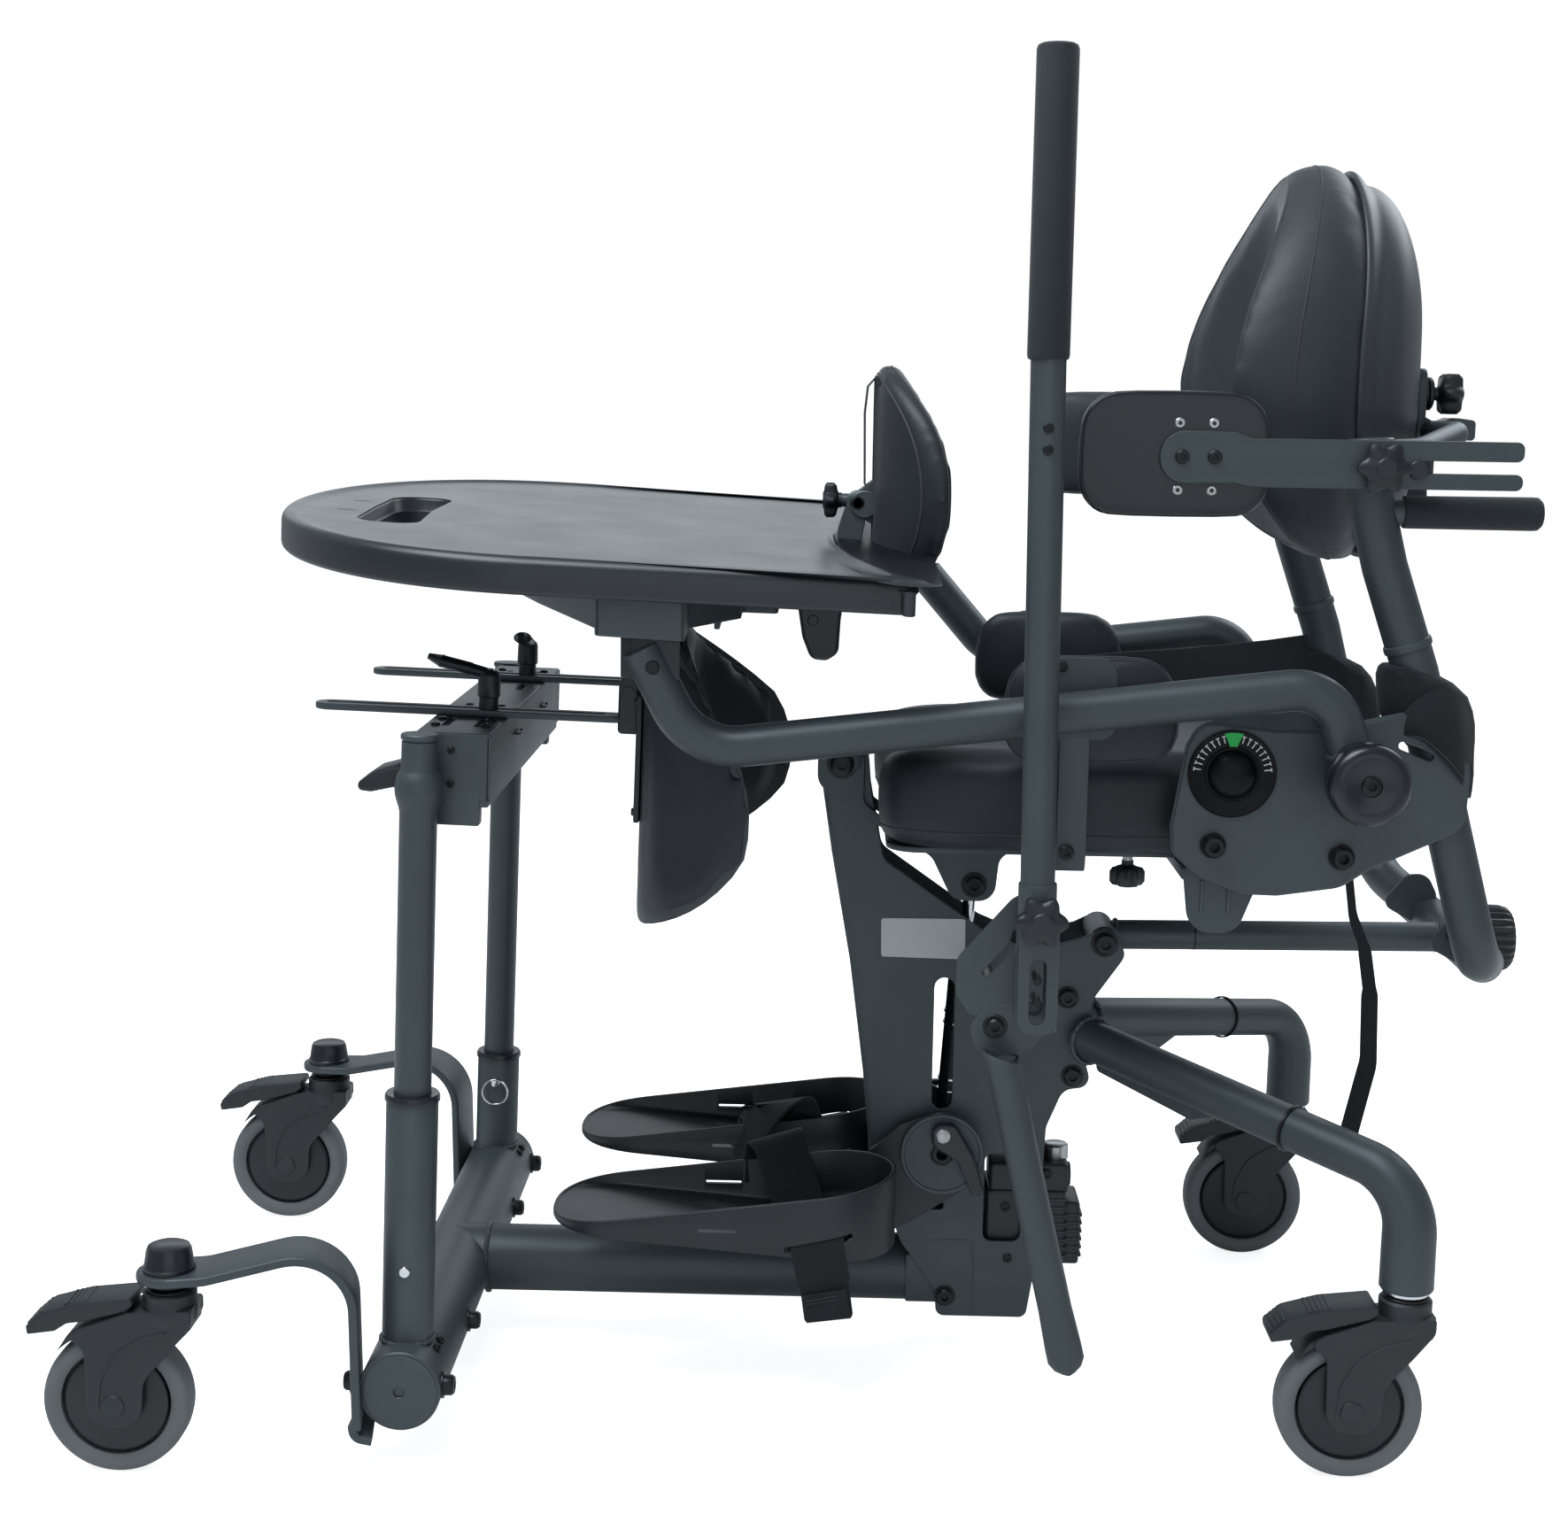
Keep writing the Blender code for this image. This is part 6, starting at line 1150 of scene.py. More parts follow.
def back_tube():
    """The U tube with its crossbar, knob plate, clamp blocks, lugs and push grips, and the big end knob."""
    half = ((0.516, 0.884), (0.519, 0.83), (0.533, 0.777), (0.564, 0.688), (0.598, 0.558), (0.63, 0.441))
    near = [at(place, -BACK_TUBE_Y) for place in half] + [at(BACK_PIVOT, -0.1)]
    far = [at(place, BACK_TUBE_Y) for place in half] + [at(BACK_PIVOT, 0.1)]
    meshes = [tube(near + far[::-1], 0.019, 0.05, 44, steps=10)]
    cross = [(0.516, BACK_TUBE_Y, 0.872), (0.56, 0.185, 0.874), (0.608, 0.12, 0.888)]
    cross += [(x, -y, z) for x, y, z in cross[::-1]]
    meshes.append(tube([Vector(place) for place in cross], 0.0105, 0.03, 28))
    plate = rectangle(-0.03, 0.88, 0.03, 0.945, 0.01)
    meshes.append(sheet_of([plate], 0.0077, placed((0.5982, 0, 0), ((0, 0, 1), (1, 0, 0), (0, 1, 0))), 0.0012))
    for sign in (-1, 1):
        meshes.append(block((0.505, sign * 0.209, 0.848), (0.562, sign * 0.2282, 0.875), 0.003, 3))
        meshes.append(block((0.505, sign * 0.182, 0.849), (0.54, sign * 0.226, 0.874), 0.003, 3))
        post = Vector((0.519, sign * BACK_TUBE_Y, 0.823))
        meshes.append(rod(post, post + Vector((0.03, 0, 0)), 0.0115, 0.0008))
        bead = ((0.0185, 0.004), (0.0204, 0.003), (0.0208, 0.0), (0.0204, -0.003), (0.0185, -0.004))
        heading = Vector((0.031, 0, -0.089)).normalized()
        meshes.append(turned(bead, (0.556, sign * BACK_TUBE_Y, 0.711), heading, 44))
    lug = at(BACK_PIVOT)
    plate = corners([((0.613, 0.426), 0.01), ((0.65, 0.406), 0.006), ((0.67, 0.433), 0.012),
                     ((0.658, 0.457), 0.016), ((0.638, 0.456), 0.014)], 0.01)
    for sign in (-1, 1):
        meshes.append(upright(plate, sign * 0.0865, sign * 0.0905, edge=0.001))
    guard = corners([(0.5975, 0.882), (0.5975, 0.904), (0.608, 0.8985), (0.62, 0.896), (0.6322, 0.901),
                     (0.648, 0.899), (0.648, 0.88), (0.63, 0.883)], 0.004)
    meshes.append(upright(guard, -0.028, 0.028, edge=0.001))
    piece("back_frame_tube", "back", PAINT, meshes, ["back_tube"])

    grips = []
    for sign in (-1, 1):
        post = Vector((0.545, sign * BACK_TUBE_Y, 0.823))
        profile = ((0.0, 0.116), (0.011, 0.116), (0.0138, 0.113), (0.0142, 0.109), (0.0138, 0.006),
                   (0.0136, 0.0015), (0.0122, 0.0), (0.0, 0.0))
        grips.append(turned(profile, post, (1, 0, 0), 40))
    piece("push_grips", "back", FOAM, grips)
    ribbed = [(0.0, 0.056), (0.018, 0.056), (0.0262, 0.054), (0.03, 0.05), (0.0318, 0.044), (0.032, 0.015),
              (0.03, 0.0115), (0.0152, 0.0108), (0.015, 0.0), (0.0, 0.0)]
    end = turned(ribbed, (0.661, 0, BACK_PIVOT[1]), (1, 0, 0), 144, 24, 0.075, 0.024)
    collar = rod((0.658, 0, BACK_PIVOT[1]), (0.665, 0, BACK_PIVOT[1]), 0.015, 0.0008, 44)
    clamps = []
    for sign in (-1, 1):
        clamps.append(socket_bolt((0.519, sign * 0.228, 0.861), (0, sign, 0), 0.0052, 0.0024))
        for place in ((0.636, 0.436), (0.65, 0.428)):
            clamps.append(socket_bolt(at(place, sign * 0.09), (0, sign, 0), 0.0052, 0.003))
        clamps.append(rod((0.5535, sign * 0.21, 0.8615), (0.5535, sign * 0.235, 0.8615), 0.004, 0.0004, 20))
    piece("back_end_knob", "back", PLASTIC, [end, collar])
    piece("back_frame_bolts", "back", BLACK_STEEL, clamps)
    pin = [rod(lug - Vector((0, 0.0505, 0)), lug + Vector((0, 0.0505, 0)), 0.0086, 0.0006)]
    piece("link_rear_pin", "back", BLACK_STEEL, pin)


def back_knob():
    """The knob for the height of the back, on its grooved disc."""
    base_at = Vector((0.6023, 0, 0.9225))
    grooved = ((0.0, 0.011), (0.013, 0.011), (0.015, 0.0095), (0.015, 0.007), (0.0135, 0.006), (0.015, 0.005),
               (0.015, 0.0015), (0.014, 0.0002), (0.0, 0.0002))
    disc = turned(grooved, base_at, (1, 0, 0), 44)
    knob = star_knob(base_at + Vector((0.0115, 0, 0)), (1, 0, 0), 0.0205, 0.0265, 6, 0.006)
    piece("back_height_knob", "back_knob", PLASTIC, [disc, knob], ["back_knob"])
    stud = [rod(base_at + Vector((0.0105, 0, 0)), base_at + Vector((0.0165, 0, 0)), 0.005, 0.0004, 24)]
    piece("back_height_stud", "back_knob", ZINC, stud)


LATERAL_CLAMP = (0.518, 0.8605)


def lateral_arms():
    """The forked straps that carry the lateral pads, each with its star knob, disc and bolts."""
    for side, sign in SIDES:
        inner, outer = sign * 0.2285, sign * 0.2325
        solid = corners([((0.336, 0.845), 0.0215), ((0.336, 0.889), 0.0215), ((0.398, 0.888), 0.01),
                         ((0.412, 0.883), 0.02), ((0.548, 0.883), 0.02), ((0.6345, 0.883), 0.006),
                         ((0.6345, 0.8665), 0.006), ((0.556, 0.8665), 0.0049), ((0.548, 0.8615), 0.005),
                         ((0.556, 0.8565), 0.0049), ((0.6345, 0.8565), 0.006), ((0.6345, 0.843), 0.006),
                         ((0.412, 0.843), 0.02), ((0.398, 0.846), 0.01)], 0.008)
        piece(f"lateral_strap_{side}", f"lateral_{side}", PAINT, [upright(solid, inner, outer, edge=0.0011)],
              [f"lateral_arm_{side}"])
        knob = star_knob(at(LATERAL_CLAMP, outer), (0, sign, 0), 0.0222, 0.0185, 6, 0.008)
        hub = turned(button(0.0085, 0.0018, 0.001), at(LATERAL_CLAMP, outer + sign * 0.0183), (0, sign, 0), 32)
        disc = turned(button(0.008, 0.003, 0.0008), (0.548, outer, 0.859), (0, sign, 0), 32)
        piece(f"lateral_knob_{side}", f"lateral_{side}", PLASTIC, [knob, hub, disc])
        steel = [socket_bolt((x, outer - sign * 0.0002, 0.867), (0, sign, 0), 0.0058, 0.0036)
                 for x in (0.354, 0.381)]
        piece(f"lateral_bolts_{side}", f"lateral_{side}", BLACK_STEEL, steel)


LINK_PIVOT = (0.3293, 0.4098)


def link():
    """The lower link of the back's parallelogram, with its front eye and the heads of its pin."""
    start, end = at(LINK_PIVOT), at(BACK_PIVOT)
    heading = (end - start).normalized()
    meshes = [rod(start + heading * 0.01, end - heading * 0.0165, 0.014, 0.0008, 44)]
    eye = ((0.0, 0.0336), (0.014, 0.0336), (0.015, 0.0326), (0.015, -0.0326), (0.014, -0.0336), (0.0, -0.0336))
    meshes.append(turned(eye, start, (0, 1, 0), 40))
    meshes.append(weld(start + heading * 0.0135, (1, 0, 0), 0.014, 0.0018))
    meshes.append(weld(end - heading * 0.0175, (1, 0, 0), 0.0136, 0.001))
    piece("link_bar", "link", PAINT, meshes, ["link_tube"])
    line = ((0.0138, 0.0008), (0.0142, 0.0008), (0.0142, -0.0008), (0.0138, -0.0008))
    joint = turned(line, start + heading * 0.088, heading, 40)
    piece("link_joint_line", "link", BLACK_STEEL, [joint])
    heads = []
    for sign in (-1, 1):
        heads += bolt_on_washer(at(LINK_PIVOT, sign * 0.0382), (0, sign, 0), 0.0104, 0.0058, 0.013)
    piece("link_pin_heads", "link", BLACK_STEEL, heads)


seat_frame()
hip_brackets()
side_plates()
dial()
back_tube()
back_knob()
lateral_arms()
link()


# Tray

ARM_Y = 0.242
ARM_RADIUS = 0.0175


def tray_top(x, y):
    """The height of the tray's upper face, which leans to the front and to one side."""
    return 0.79 - 0.0475 * x + 0.063 * y


def on_tray(mesh, lift=0.0):
    """The mesh moved up from height zero onto the leaning face of the tray."""
    for vertex in mesh.vertices:
        vertex.co.z += tray_top(vertex.co.x, vertex.co.y) + lift
    return mesh


def tray_arms():
    """The two bent arms, each with the boss on its pivot, the round clamp knob and its bolt."""
    runs = {"left": ([(-0.0905, 0.702), (-0.0456, 0.6158), (0.484, 0.68)], 0.06),
            "right": ([(0.163, 0.733), (0.235, 0.65), (0.484, 0.68)], 0.05)}
    for side, sign in SIDES:
        points, bend = runs[side]
        y = sign * ARM_Y
        pivot = at(ARM_PIVOT, y)
        path = [at(place, y) for place in points]
        end = pivot + (path[-1] - pivot).normalized() * 0.006
        meshes = [tube([path[0], (path[1], bend), (path[2], 0.042), end], ARM_RADIUS, bend, 48, steps=16)]
        boss = ((0.0, 0.017), (0.0225, 0.017), (0.024, 0.0155), (0.024, -0.0185), (0.0225, -0.02), (0.0, -0.02))
        meshes.append(turned(boss, pivot, (0, sign, 0), 56))
        meshes.append(weld(pivot + Vector((-0.008, 0, 0.0215)), (-0.33, 0, 1), 0.0178, 0.002))
        piece(f"arm_{side}", "tray_lift", PAINT, meshes, [f"tray_arm_{side}"])
        bowl = ((0.0, 0.03), (0.009, 0.03), (0.0092, 0.032), (0.011, 0.0324), (0.015, 0.0332), (0.021, 0.035),
                (0.0255, 0.0352), (0.03, 0.0338), (0.033, 0.0305), (0.0344, 0.0255), (0.0345, 0.019),
                (0.0338, 0.013), (0.0322, 0.0085), (0.0318, 0.007), (0.0326, 0.0058), (0.0326, 0.0012),
                (0.0312, 0.0), (0.0, 0.0))
        knob = turned(bowl, at(ARM_PIVOT, sign * 0.2595), (0, sign, 0), 72)
        piece(f"arm_clamp_knob_{side}", "tray_lift", SATIN, [knob])
        steel = [socket_bolt(at(ARM_PIVOT, sign * 0.2893), (0, sign, 0), 0.0078, 0.0042),
                 rod(at(ARM_PIVOT, sign * 0.205), at(ARM_PIVOT, sign * 0.226), 0.008, 0.0006)]
        if side == "left":
            plug = ((0.0, 0.0012), (0.0052, 0.0012), (0.0058, 0.0004), (0.0058, -0.002), (0.0, -0.002))
            steel.append(turned(plug, (-0.0795, y - 0.0172, 0.6875), (0, -1, 0), 28))
        piece(f"arm_bolt_{side}", "tray_lift", BLACK_STEEL, steel)


def carrier():
    """The plate under the tray, with its ribs and the lugs that its near arm passes."""
    outline = corners([(-0.232, -0.03), (-0.194, -0.11), (-0.128, -0.23), (-0.128, -0.26), (-0.054, -0.26),
                       (-0.054, -0.19), (-0.012, -0.12), (-0.012, -0.085), (0.02, -0.08), (0.02, 0.12),
                       (0.09, 0.224), (0.16, 0.224), (0.16, 0.26), (-0.054, 0.26), (-0.128, 0.23),
                       (-0.194, 0.11), (-0.232, 0.03)], 0.004)
    centre = Vector((-0.03, 0.0))
    rings = []
    for drop, inset in ((0.032, 0.0), (0.0345, 0.0), (0.064, 0.0), (0.0665, 0.0012), (0.067, 0.004)):
        pulls = [(centre - Vector(point)).normalized() * inset for point in outline]
        rings.append([(x + pull.x, y + pull.y, tray_top(x, y) - drop) for (x, y), pull in zip(outline, pulls)])
    meshes = [skirt(rings)]
    for x in (-0.15, -0.095, -0.035):
        meshes.append(on_tray(block((x, -0.1395, 0.0), (x + 0.005, 0.1395, 0.042), 0.001), -0.0745))
    path = [Vector((-0.1265, -0.2605, tray_top(-0.1265, -0.26) - drop)) for drop in (0.034, 0.065)]
    meshes.append(sweep(path, circle(0.001, 8), up=(0, 1, 0)))
    piece("tray_carrier_plate", "tray_lift", PAINT, meshes, ["tray_carrier"])
    lug = []
    for y, x in ((-0.236, -0.098), (-0.248, -0.088)):
        lug.append(block((x - 0.01, y - 0.003, 0.676), (x + 0.03, y + 0.003, 0.716), 0.002))
    piece("carrier_lugs", "tray_lift", PLASTIC, lug)


def tray_outline():
    """The tray seen from above: a rounded front, and a rear edge that bows in round the user."""
    points = []
    for step in range(61):
        angle = math.radians(90 + 180 * step / 60)
        wide, deep = math.sin(angle), abs(math.cos(angle))
        points.append((-0.19 - 0.247 * deep ** 0.9, 0.3 * wide))
    rear = corners([((0.132, -0.3), 0.034), ((0.127, -0.25), 0.04), ((0.093, -0.16), 0.08),
                    ((0.077, -0.08), 0.1), ((0.072, 0.0), 0.2), ((0.077, 0.08), 0.1), ((0.093, 0.16), 0.08),
                    ((0.127, 0.25), 0.04), ((0.132, 0.3), 0.034)], 0.02)
    return points + rear


def inset_loop(loop, amount):
    """The outline drawn inwards along its own normals, with the points that would cross pulled together."""
    count = len(loop)
    outer = [Vector(point) for point in loop]
    moved = []
    for index, point in enumerate(outer):
        ahead = (outer[(index + 1) % count] - outer[index - 1]).normalized()
        moved.append(point + Vector((-ahead.y, ahead.x)) * amount)
    if amount < 0.004:
        return [tuple(point) for point in moved]
    good = [min((point - other).length for other in outer) > amount * 0.985 for point in moved]
    result = []
    for index in range(count):
        if good[index]:
            result.append(tuple(moved[index]))
            continue
        before = next(step for step in range(count) if good[index - step])
        after = next(step for step in range(count) if good[(index + step) % count])
        share = before / (before + after)
        result.append(tuple(moved[index - before].lerp(moved[(index + after) % count], share)))
    return result


def tray():
    """A moulded tray: soft rim, flat field, hand slot through it and a rolled lower edge."""
    outer = tray_outline()
    area = sum(a[0] * b[1] - b[0] * a[1] for a, b in zip(outer, outer[1:] + outer[:1]))
    if area < 0:
        outer = outer[::-1]
    steps = ((0.029, -0.0026), (0.023, -0.0025), (0.018, -0.0021), (0.015, -0.0013), (0.0125, -0.0005),
             (0.01, 0.0), (0.0075, -0.0003), (0.005, -0.0013), (0.0028, -0.003), (0.0012, -0.0054),
             (0.0004, -0.0084), (-0.0002, -0.027), (0.0004, -0.0294), (0.0018, -0.0308), (0.0036, -0.031),
             (0.005, -0.0298), (0.0052, -0.013), (0.008, -0.01))

    def raised(loop, drop):
        return [(x, y, tray_top(x, y) + drop) for x, y in loop]

    shell = skirt([raised(inset_loop(outer, inward), drop) for inward, drop in steps])
    hand = corners([((-0.3582, -0.112), 0.026), ((-0.3, -0.114), 0.02), (-0.3045, -0.009),
                    ((-0.299, 0.094), 0.02), ((-0.356, 0.09), 0.03), (-0.359, -0.009)], 0.2, 12)
    turning = sum(a[0] * b[1] - b[0] * a[1] for a, b in zip(hand, hand[1:] + hand[:1]))
    if turning < 0:
        hand = hand[::-1]
    shell = cut(shell, [skirt([raised(hand, 0.02), raised(hand, -0.05)])])
    lining = ((-0.003, -0.003), (-0.0016, -0.0027), (-0.0003, -0.0034), (0.0008, -0.0056), (0.0012, -0.015),
              (0.0018, -0.0158), (0.0039, -0.0161), (0.0039, -0.0172), (0.0039, -0.029), (-0.002, -0.0296),
              (-0.0024, -0.006), (-0.003, -0.003))
    well = skirt([raised(inset_loop(hand, inward), drop) for inward, drop in lining], False)
    core = on_tray(level(rectangle(-0.15, -0.14, -0.03, 0.14, 0.01), -0.0304, -0.013, edge=0.001))
    piece("tray_shell", "tray", TRAY_SKIN, [shell, well, core], ["tray"], angle=50)
    # Four flat dark inlays, flush with the field, are painted shade standing in for small slot openings.
    slot_shade = []
    for x, y in ((-0.3785, -0.04), (-0.377, 0.033), (0.058, -0.0124), (0.058, 0.066)):
        spot = slot_ring((x - 0.0065, y), (x + 0.0065, y), 0.0026)
        slot_shade.append(on_tray(level(spot, -0.0031, -0.0026, edge=0.0002)))
    piece("tray_slot_shade", "tray", PLASTIC, slot_shade)
    latch = corners([((0.033, 0.756), 0.004), ((0.081, 0.756), 0.004), ((0.076, 0.715), 0.012),
                     ((0.0745, 0.686), 0.01), ((0.064, 0.679), 0.01), ((0.05, 0.68), 0.01),
                     ((0.042, 0.7), 0.02)], 0.006)
    meshes = [upright(latch, -0.112, -0.092, edge=0.003)]
    meshes.append(rod((0.0515, -0.1128, 0.715), (0.0515, -0.0912, 0.715), 0.005, 0.0008, 24))
    piece("tray_latch", "tray", SATIN, meshes)


CHEST_HINGE = (0.09, 0.815)


def chest_bars():
    """The bars on the tray, and the hinge between them with its knob and the strip up to the chest pad."""
    outline = corners([((0.072, 0.7625), 0.003), ((0.0905, 0.7625), 0.003), ((0.0965, 0.795), 0.01),
                       ((0.0995, 0.815), 0.01), ((0.095, 0.824), 0.009), ((0.085, 0.824), 0.009),
                       ((0.08, 0.815), 0.01), ((0.072, 0.79), 0.006)], 0.006)
    meshes = []
    for sign in (-1, 1):
        meshes.append(upright(outline, sign * 0.0166, sign * 0.0199, [ring(*CHEST_HINGE, 0.0052)], 0.0008))
    piece("chest_hinge_bars", "tray", PAINT, meshes)
    body = "chest"
    barrel = ((0.0, 0.0158), (0.0095, 0.0158), (0.011, 0.0146), (0.011, -0.0146), (0.0095, -0.0158),
              (0.0, -0.0158))
    meshes = [turned(barrel, at(CHEST_HINGE), (0, 1, 0), 40),
              rod((0.059, 0, 0.817), (0.082, 0, 0.817), 0.0062, 0.0004, 28)]
    link_plate = corners([((0.09, 0.804), 0.01), ((0.103, 0.796), 0.004), ((0.106, 0.796), 0.002),
                          ((0.106, 0.836), 0.002), ((0.103, 0.836), 0.004), ((0.09, 0.826), 0.01),
                          ((0.08, 0.815), 0.01)], 0.006)
    meshes.append(upright(link_plate, -0.015, 0.015, edge=0.001))
    piece("chest_hinge_barrel", body, PAINT, meshes)
    knob = star_knob(Vector((0.075, 0, 0.817)), (-1, 0, 0), 0.0178, 0.0175, 6, 0.007)
    pin = rod(at(CHEST_HINGE, -0.0228), at(CHEST_HINGE, 0.0228), 0.005, 0.0006, 28)
    head = button(0.0072, 0.002, 0.001)
    heads = [turned(head, at(CHEST_HINGE, sign * 0.0208), (0, sign, 0), 28) for sign in (-1, 1)]
    piece("chest_hinge_knob", body, PLASTIC, [knob])
    spring = sweep(bent([(0.096, 0, 0.832), ((0.0948, 0, 0.8975), 0.02), ((0.0972, 0, 0.9215), 0.003),
                         (0.1046, 0, 0.93)], 0.004, 6), strip(0.03, 0.0018), up=(1, 0, 0))
    piece("chest_pad_strip", body, PAINT, [spring])
    disc = ((0.0, 0.0028), (0.0118, 0.0028), (0.013, 0.0018), (0.013, 0.0), (0.0, 0.0))
    discs = [turned(disc, (0.096, sign * 0.02, 0.814), (0, sign, 0), 44) for sign in (-1, 1)]
    piece("chest_hinge_discs", body, PAINT, discs)
    piece("chest_hinge_pin", body, BLACK_STEEL, [pin, *heads])


# Pump lever

LEVER_Y = -0.285
LEVER_PIVOT = (0.2117, 0.3903)
LEVER_CLAMP = (0.244, 0.49)
LEVER_RADIUS = 0.0143


def lever_end(top, bottom):
    """The lower tube of the lever: slanted and open at its top, flattened towards its rounded end."""
    length = (bottom - top).length
    axis = (bottom - top) / length
    across = Vector((axis.z, 0, -axis.x))
    count, radius = 44, LEVER_RADIUS
    rings = []
    for height in (0.0, 0.004, length - 0.06, length - 0.04, length - 0.024, length - 0.012, length - 0.005,
                   length - 0.001, length):
        flat = max(0.0, min(1.0, (height - (length - 0.06)) / 0.05))
        wide, thin = radius * (1 + 0.14 * flat), radius * (1 - 0.3 * flat)
        reach = max(0.0, (height - (length - 0.016)) / 0.016)
        wide *= math.sqrt(1 - 0.96 * reach ** 2)
        thin *= math.sqrt(1 - 0.6 * reach ** 2)
        around = []
        for index in range(count):
            angle = math.tau * index / count
            spoke = across * (wide * math.cos(angle)) + Vector((0, thin * math.sin(angle), 0))
            place = top + axis * height + spoke
            if not rings:
                place -= axis * (0.009 * math.cos(angle))
            around.append(place)
        rings.append(around)
    mouth = []
    for around in (rings[1], rings[0]):
        centre = sum(around, Vector()) / count
        mouth.append([centre + (place - centre) * 0.84 for place in around])
    return skirt(mouth + rings)


def pump_lever():
    """The two tubes of the lever with the bracket between them, its catch plate, grip, star knob and bolts."""
    y = LEVER_Y
    run = [(0.2425, y, 0.47), ((0.242, y, 0.52), 0.6), (0.237, y, 0.96)]
    collar = ((0.0143, 0.054), (0.0158, 0.0535), (0.016, 0.052), (0.016, 0.0), (0.0143, 0.0), (0.0143, 0.054))
    meshes = [tube(run, LEVER_RADIUS, 0.6, 44, steps=6), turned(collar, (0.2428, y, 0.464), (-0.012, 0, 1), 44)]
    for dy in (-0.015, 0.015):
        cheek = corners([((0.227, 0.3925), 0.012), ((0.26, 0.3925), 0.012), ((0.26, 0.488), 0.01),
                         ((0.227, 0.488), 0.01)], 0.01)
        holes = [slot_ring((0.2435, 0.408), (0.2435, 0.45), 0.0068)]
        meshes.append(upright(cheek, y + dy - 0.0015, y + dy + 0.0015, holes, 0.0007))
    meshes.append(block((0.2572, y - 0.016, 0.395), (0.26, y + 0.016, 0.47), 0.0009))
    meshes.append(lever_end(Vector((0.216, y, 0.37)), Vector((0.282, y, 0.092))))

    lobe = corners([((0.1905, 0.389), 0.018), ((0.201, 0.408), 0.012), ((0.227, 0.4105), 0.004),
                    ((0.256, 0.412), 0.008), ((0.26, 0.398), 0.012), ((0.244, 0.372), 0.03),
                    ((0.218, 0.36), 0.02), ((0.196, 0.368), 0.014)], 0.01)
    meshes.append(upright(lobe, y + 0.0168, y + 0.0205, edge=0.0009))
    catch = corners([((0.229, 0.396), 0.006), ((0.19, 0.399), 0.008), ((0.179, 0.416), 0.012),
                     ((0.178, 0.448), 0.016), ((0.223, 0.5), 0.016), ((0.242, 0.51), 0.01),
                     ((0.248, 0.47), 0.01), ((0.23, 0.456), 0.006)], 0.008)
    slots = [corners([(0.199, 0.436), (0.2035, 0.432), (0.226, 0.456), (0.23, 0.472), (0.225, 0.4735),
                      (0.2215, 0.461)], 0.0015)]
    meshes.append(upright(catch, y + 0.0176, y + 0.0206, slots, 0.0008))
    piece("lever_frame", "pump", PAINT, meshes, ["pump_lever"])
    grip = ((0.0, 0.244), (0.013, 0.244), (0.0158, 0.2425), (0.0169, 0.2395), (0.0171, 0.004), (0.0165, 0.0012),
            (0.0148, 0.0), (0.0, 0.0))
    piece("lever_grip", "pump", FOAM, [turned(grip, (0.237, y, 0.943), (0, 0, 1), 56)])
    knob = star_knob(at(LEVER_CLAMP, y - 0.014), (0, -1, 0), 0.0222, 0.02, 6, 0.008)
    hub = turned(button(0.009, 0.0016, 0.001), at(LEVER_CLAMP, y - 0.0338), (0, -1, 0), 32)
    piece("lever_star_knob", "pump", PLASTIC, [knob, hub])
    steel = [rod(at(LEVER_PIVOT, y + 0.02), at(LEVER_PIVOT, -SPINE_HALF - 0.0004), 0.01, 0.0006)]
    steel += bolt_on_washer(at(LEVER_PIVOT, y + 0.0172), (0, -1, 0), 0.0075, 0.005, 0.0105)
    for z in (0.872, 0.889):
        steel.append(socket_bolt((0.2378, y - 0.0137, z), (0, -1, 0), 0.0044, 0.0022))
    for z in (0.419, 0.437):
        steel.append(rod((0.2435, y - 0.0135, z), (0.2435, y + 0.0135, z), 0.0034, 0.0004, 20))
    piece("lever_bolts", "pump", BLACK_STEEL, steel)


tray_arms()
carrier()
tray()
chest_bars()
pump_lever()


# Feet

FOOT_Y, FOOT_HALF = 0.12, 0.068
SOLE_SLOT, SOLE_TILT = (0.0665, 0.1646), -0.211  # where the strap passes the wall, and the lean of its slots


def foot_low(x):
    """The height of the sole's underside."""
    return 0.1546 - 0.0817 * x


def foot_high(x):
    """The height of the sandal's wall, which falls towards the toes."""
    return 0.198 + 0.129 * x


def foot_loop(side_y, inset):
    """The outline of a sandal: a round heel and a squarer toe, drawn in by the inset."""
    half = FOOT_HALF - inset
    heel_x, toe_x = 0.1363 - inset - half, -0.1775 + inset + half
    heel = [(heel_x + half * math.cos(math.radians(a)), side_y + half * math.sin(math.radians(a)))
            for a in range(-90, 91, 6)]
    straight = [(heel_x + (toe_x - heel_x) * s / 24, side_y + half) for s in range(1, 24)]
    toe = []
    for a in range(90, 271, 6):
        across, along = math.sin(math.radians(a)), math.cos(math.radians(a))
        wide = half * math.copysign(abs(across) ** 0.82, across)
        toe.append((toe_x - half * abs(along) ** 0.82, side_y + wide))
    back = [(toe_x + (heel_x - toe_x) * s / 24, side_y - half) for s in range(1, 24)]
    return heel + straight + toe + back


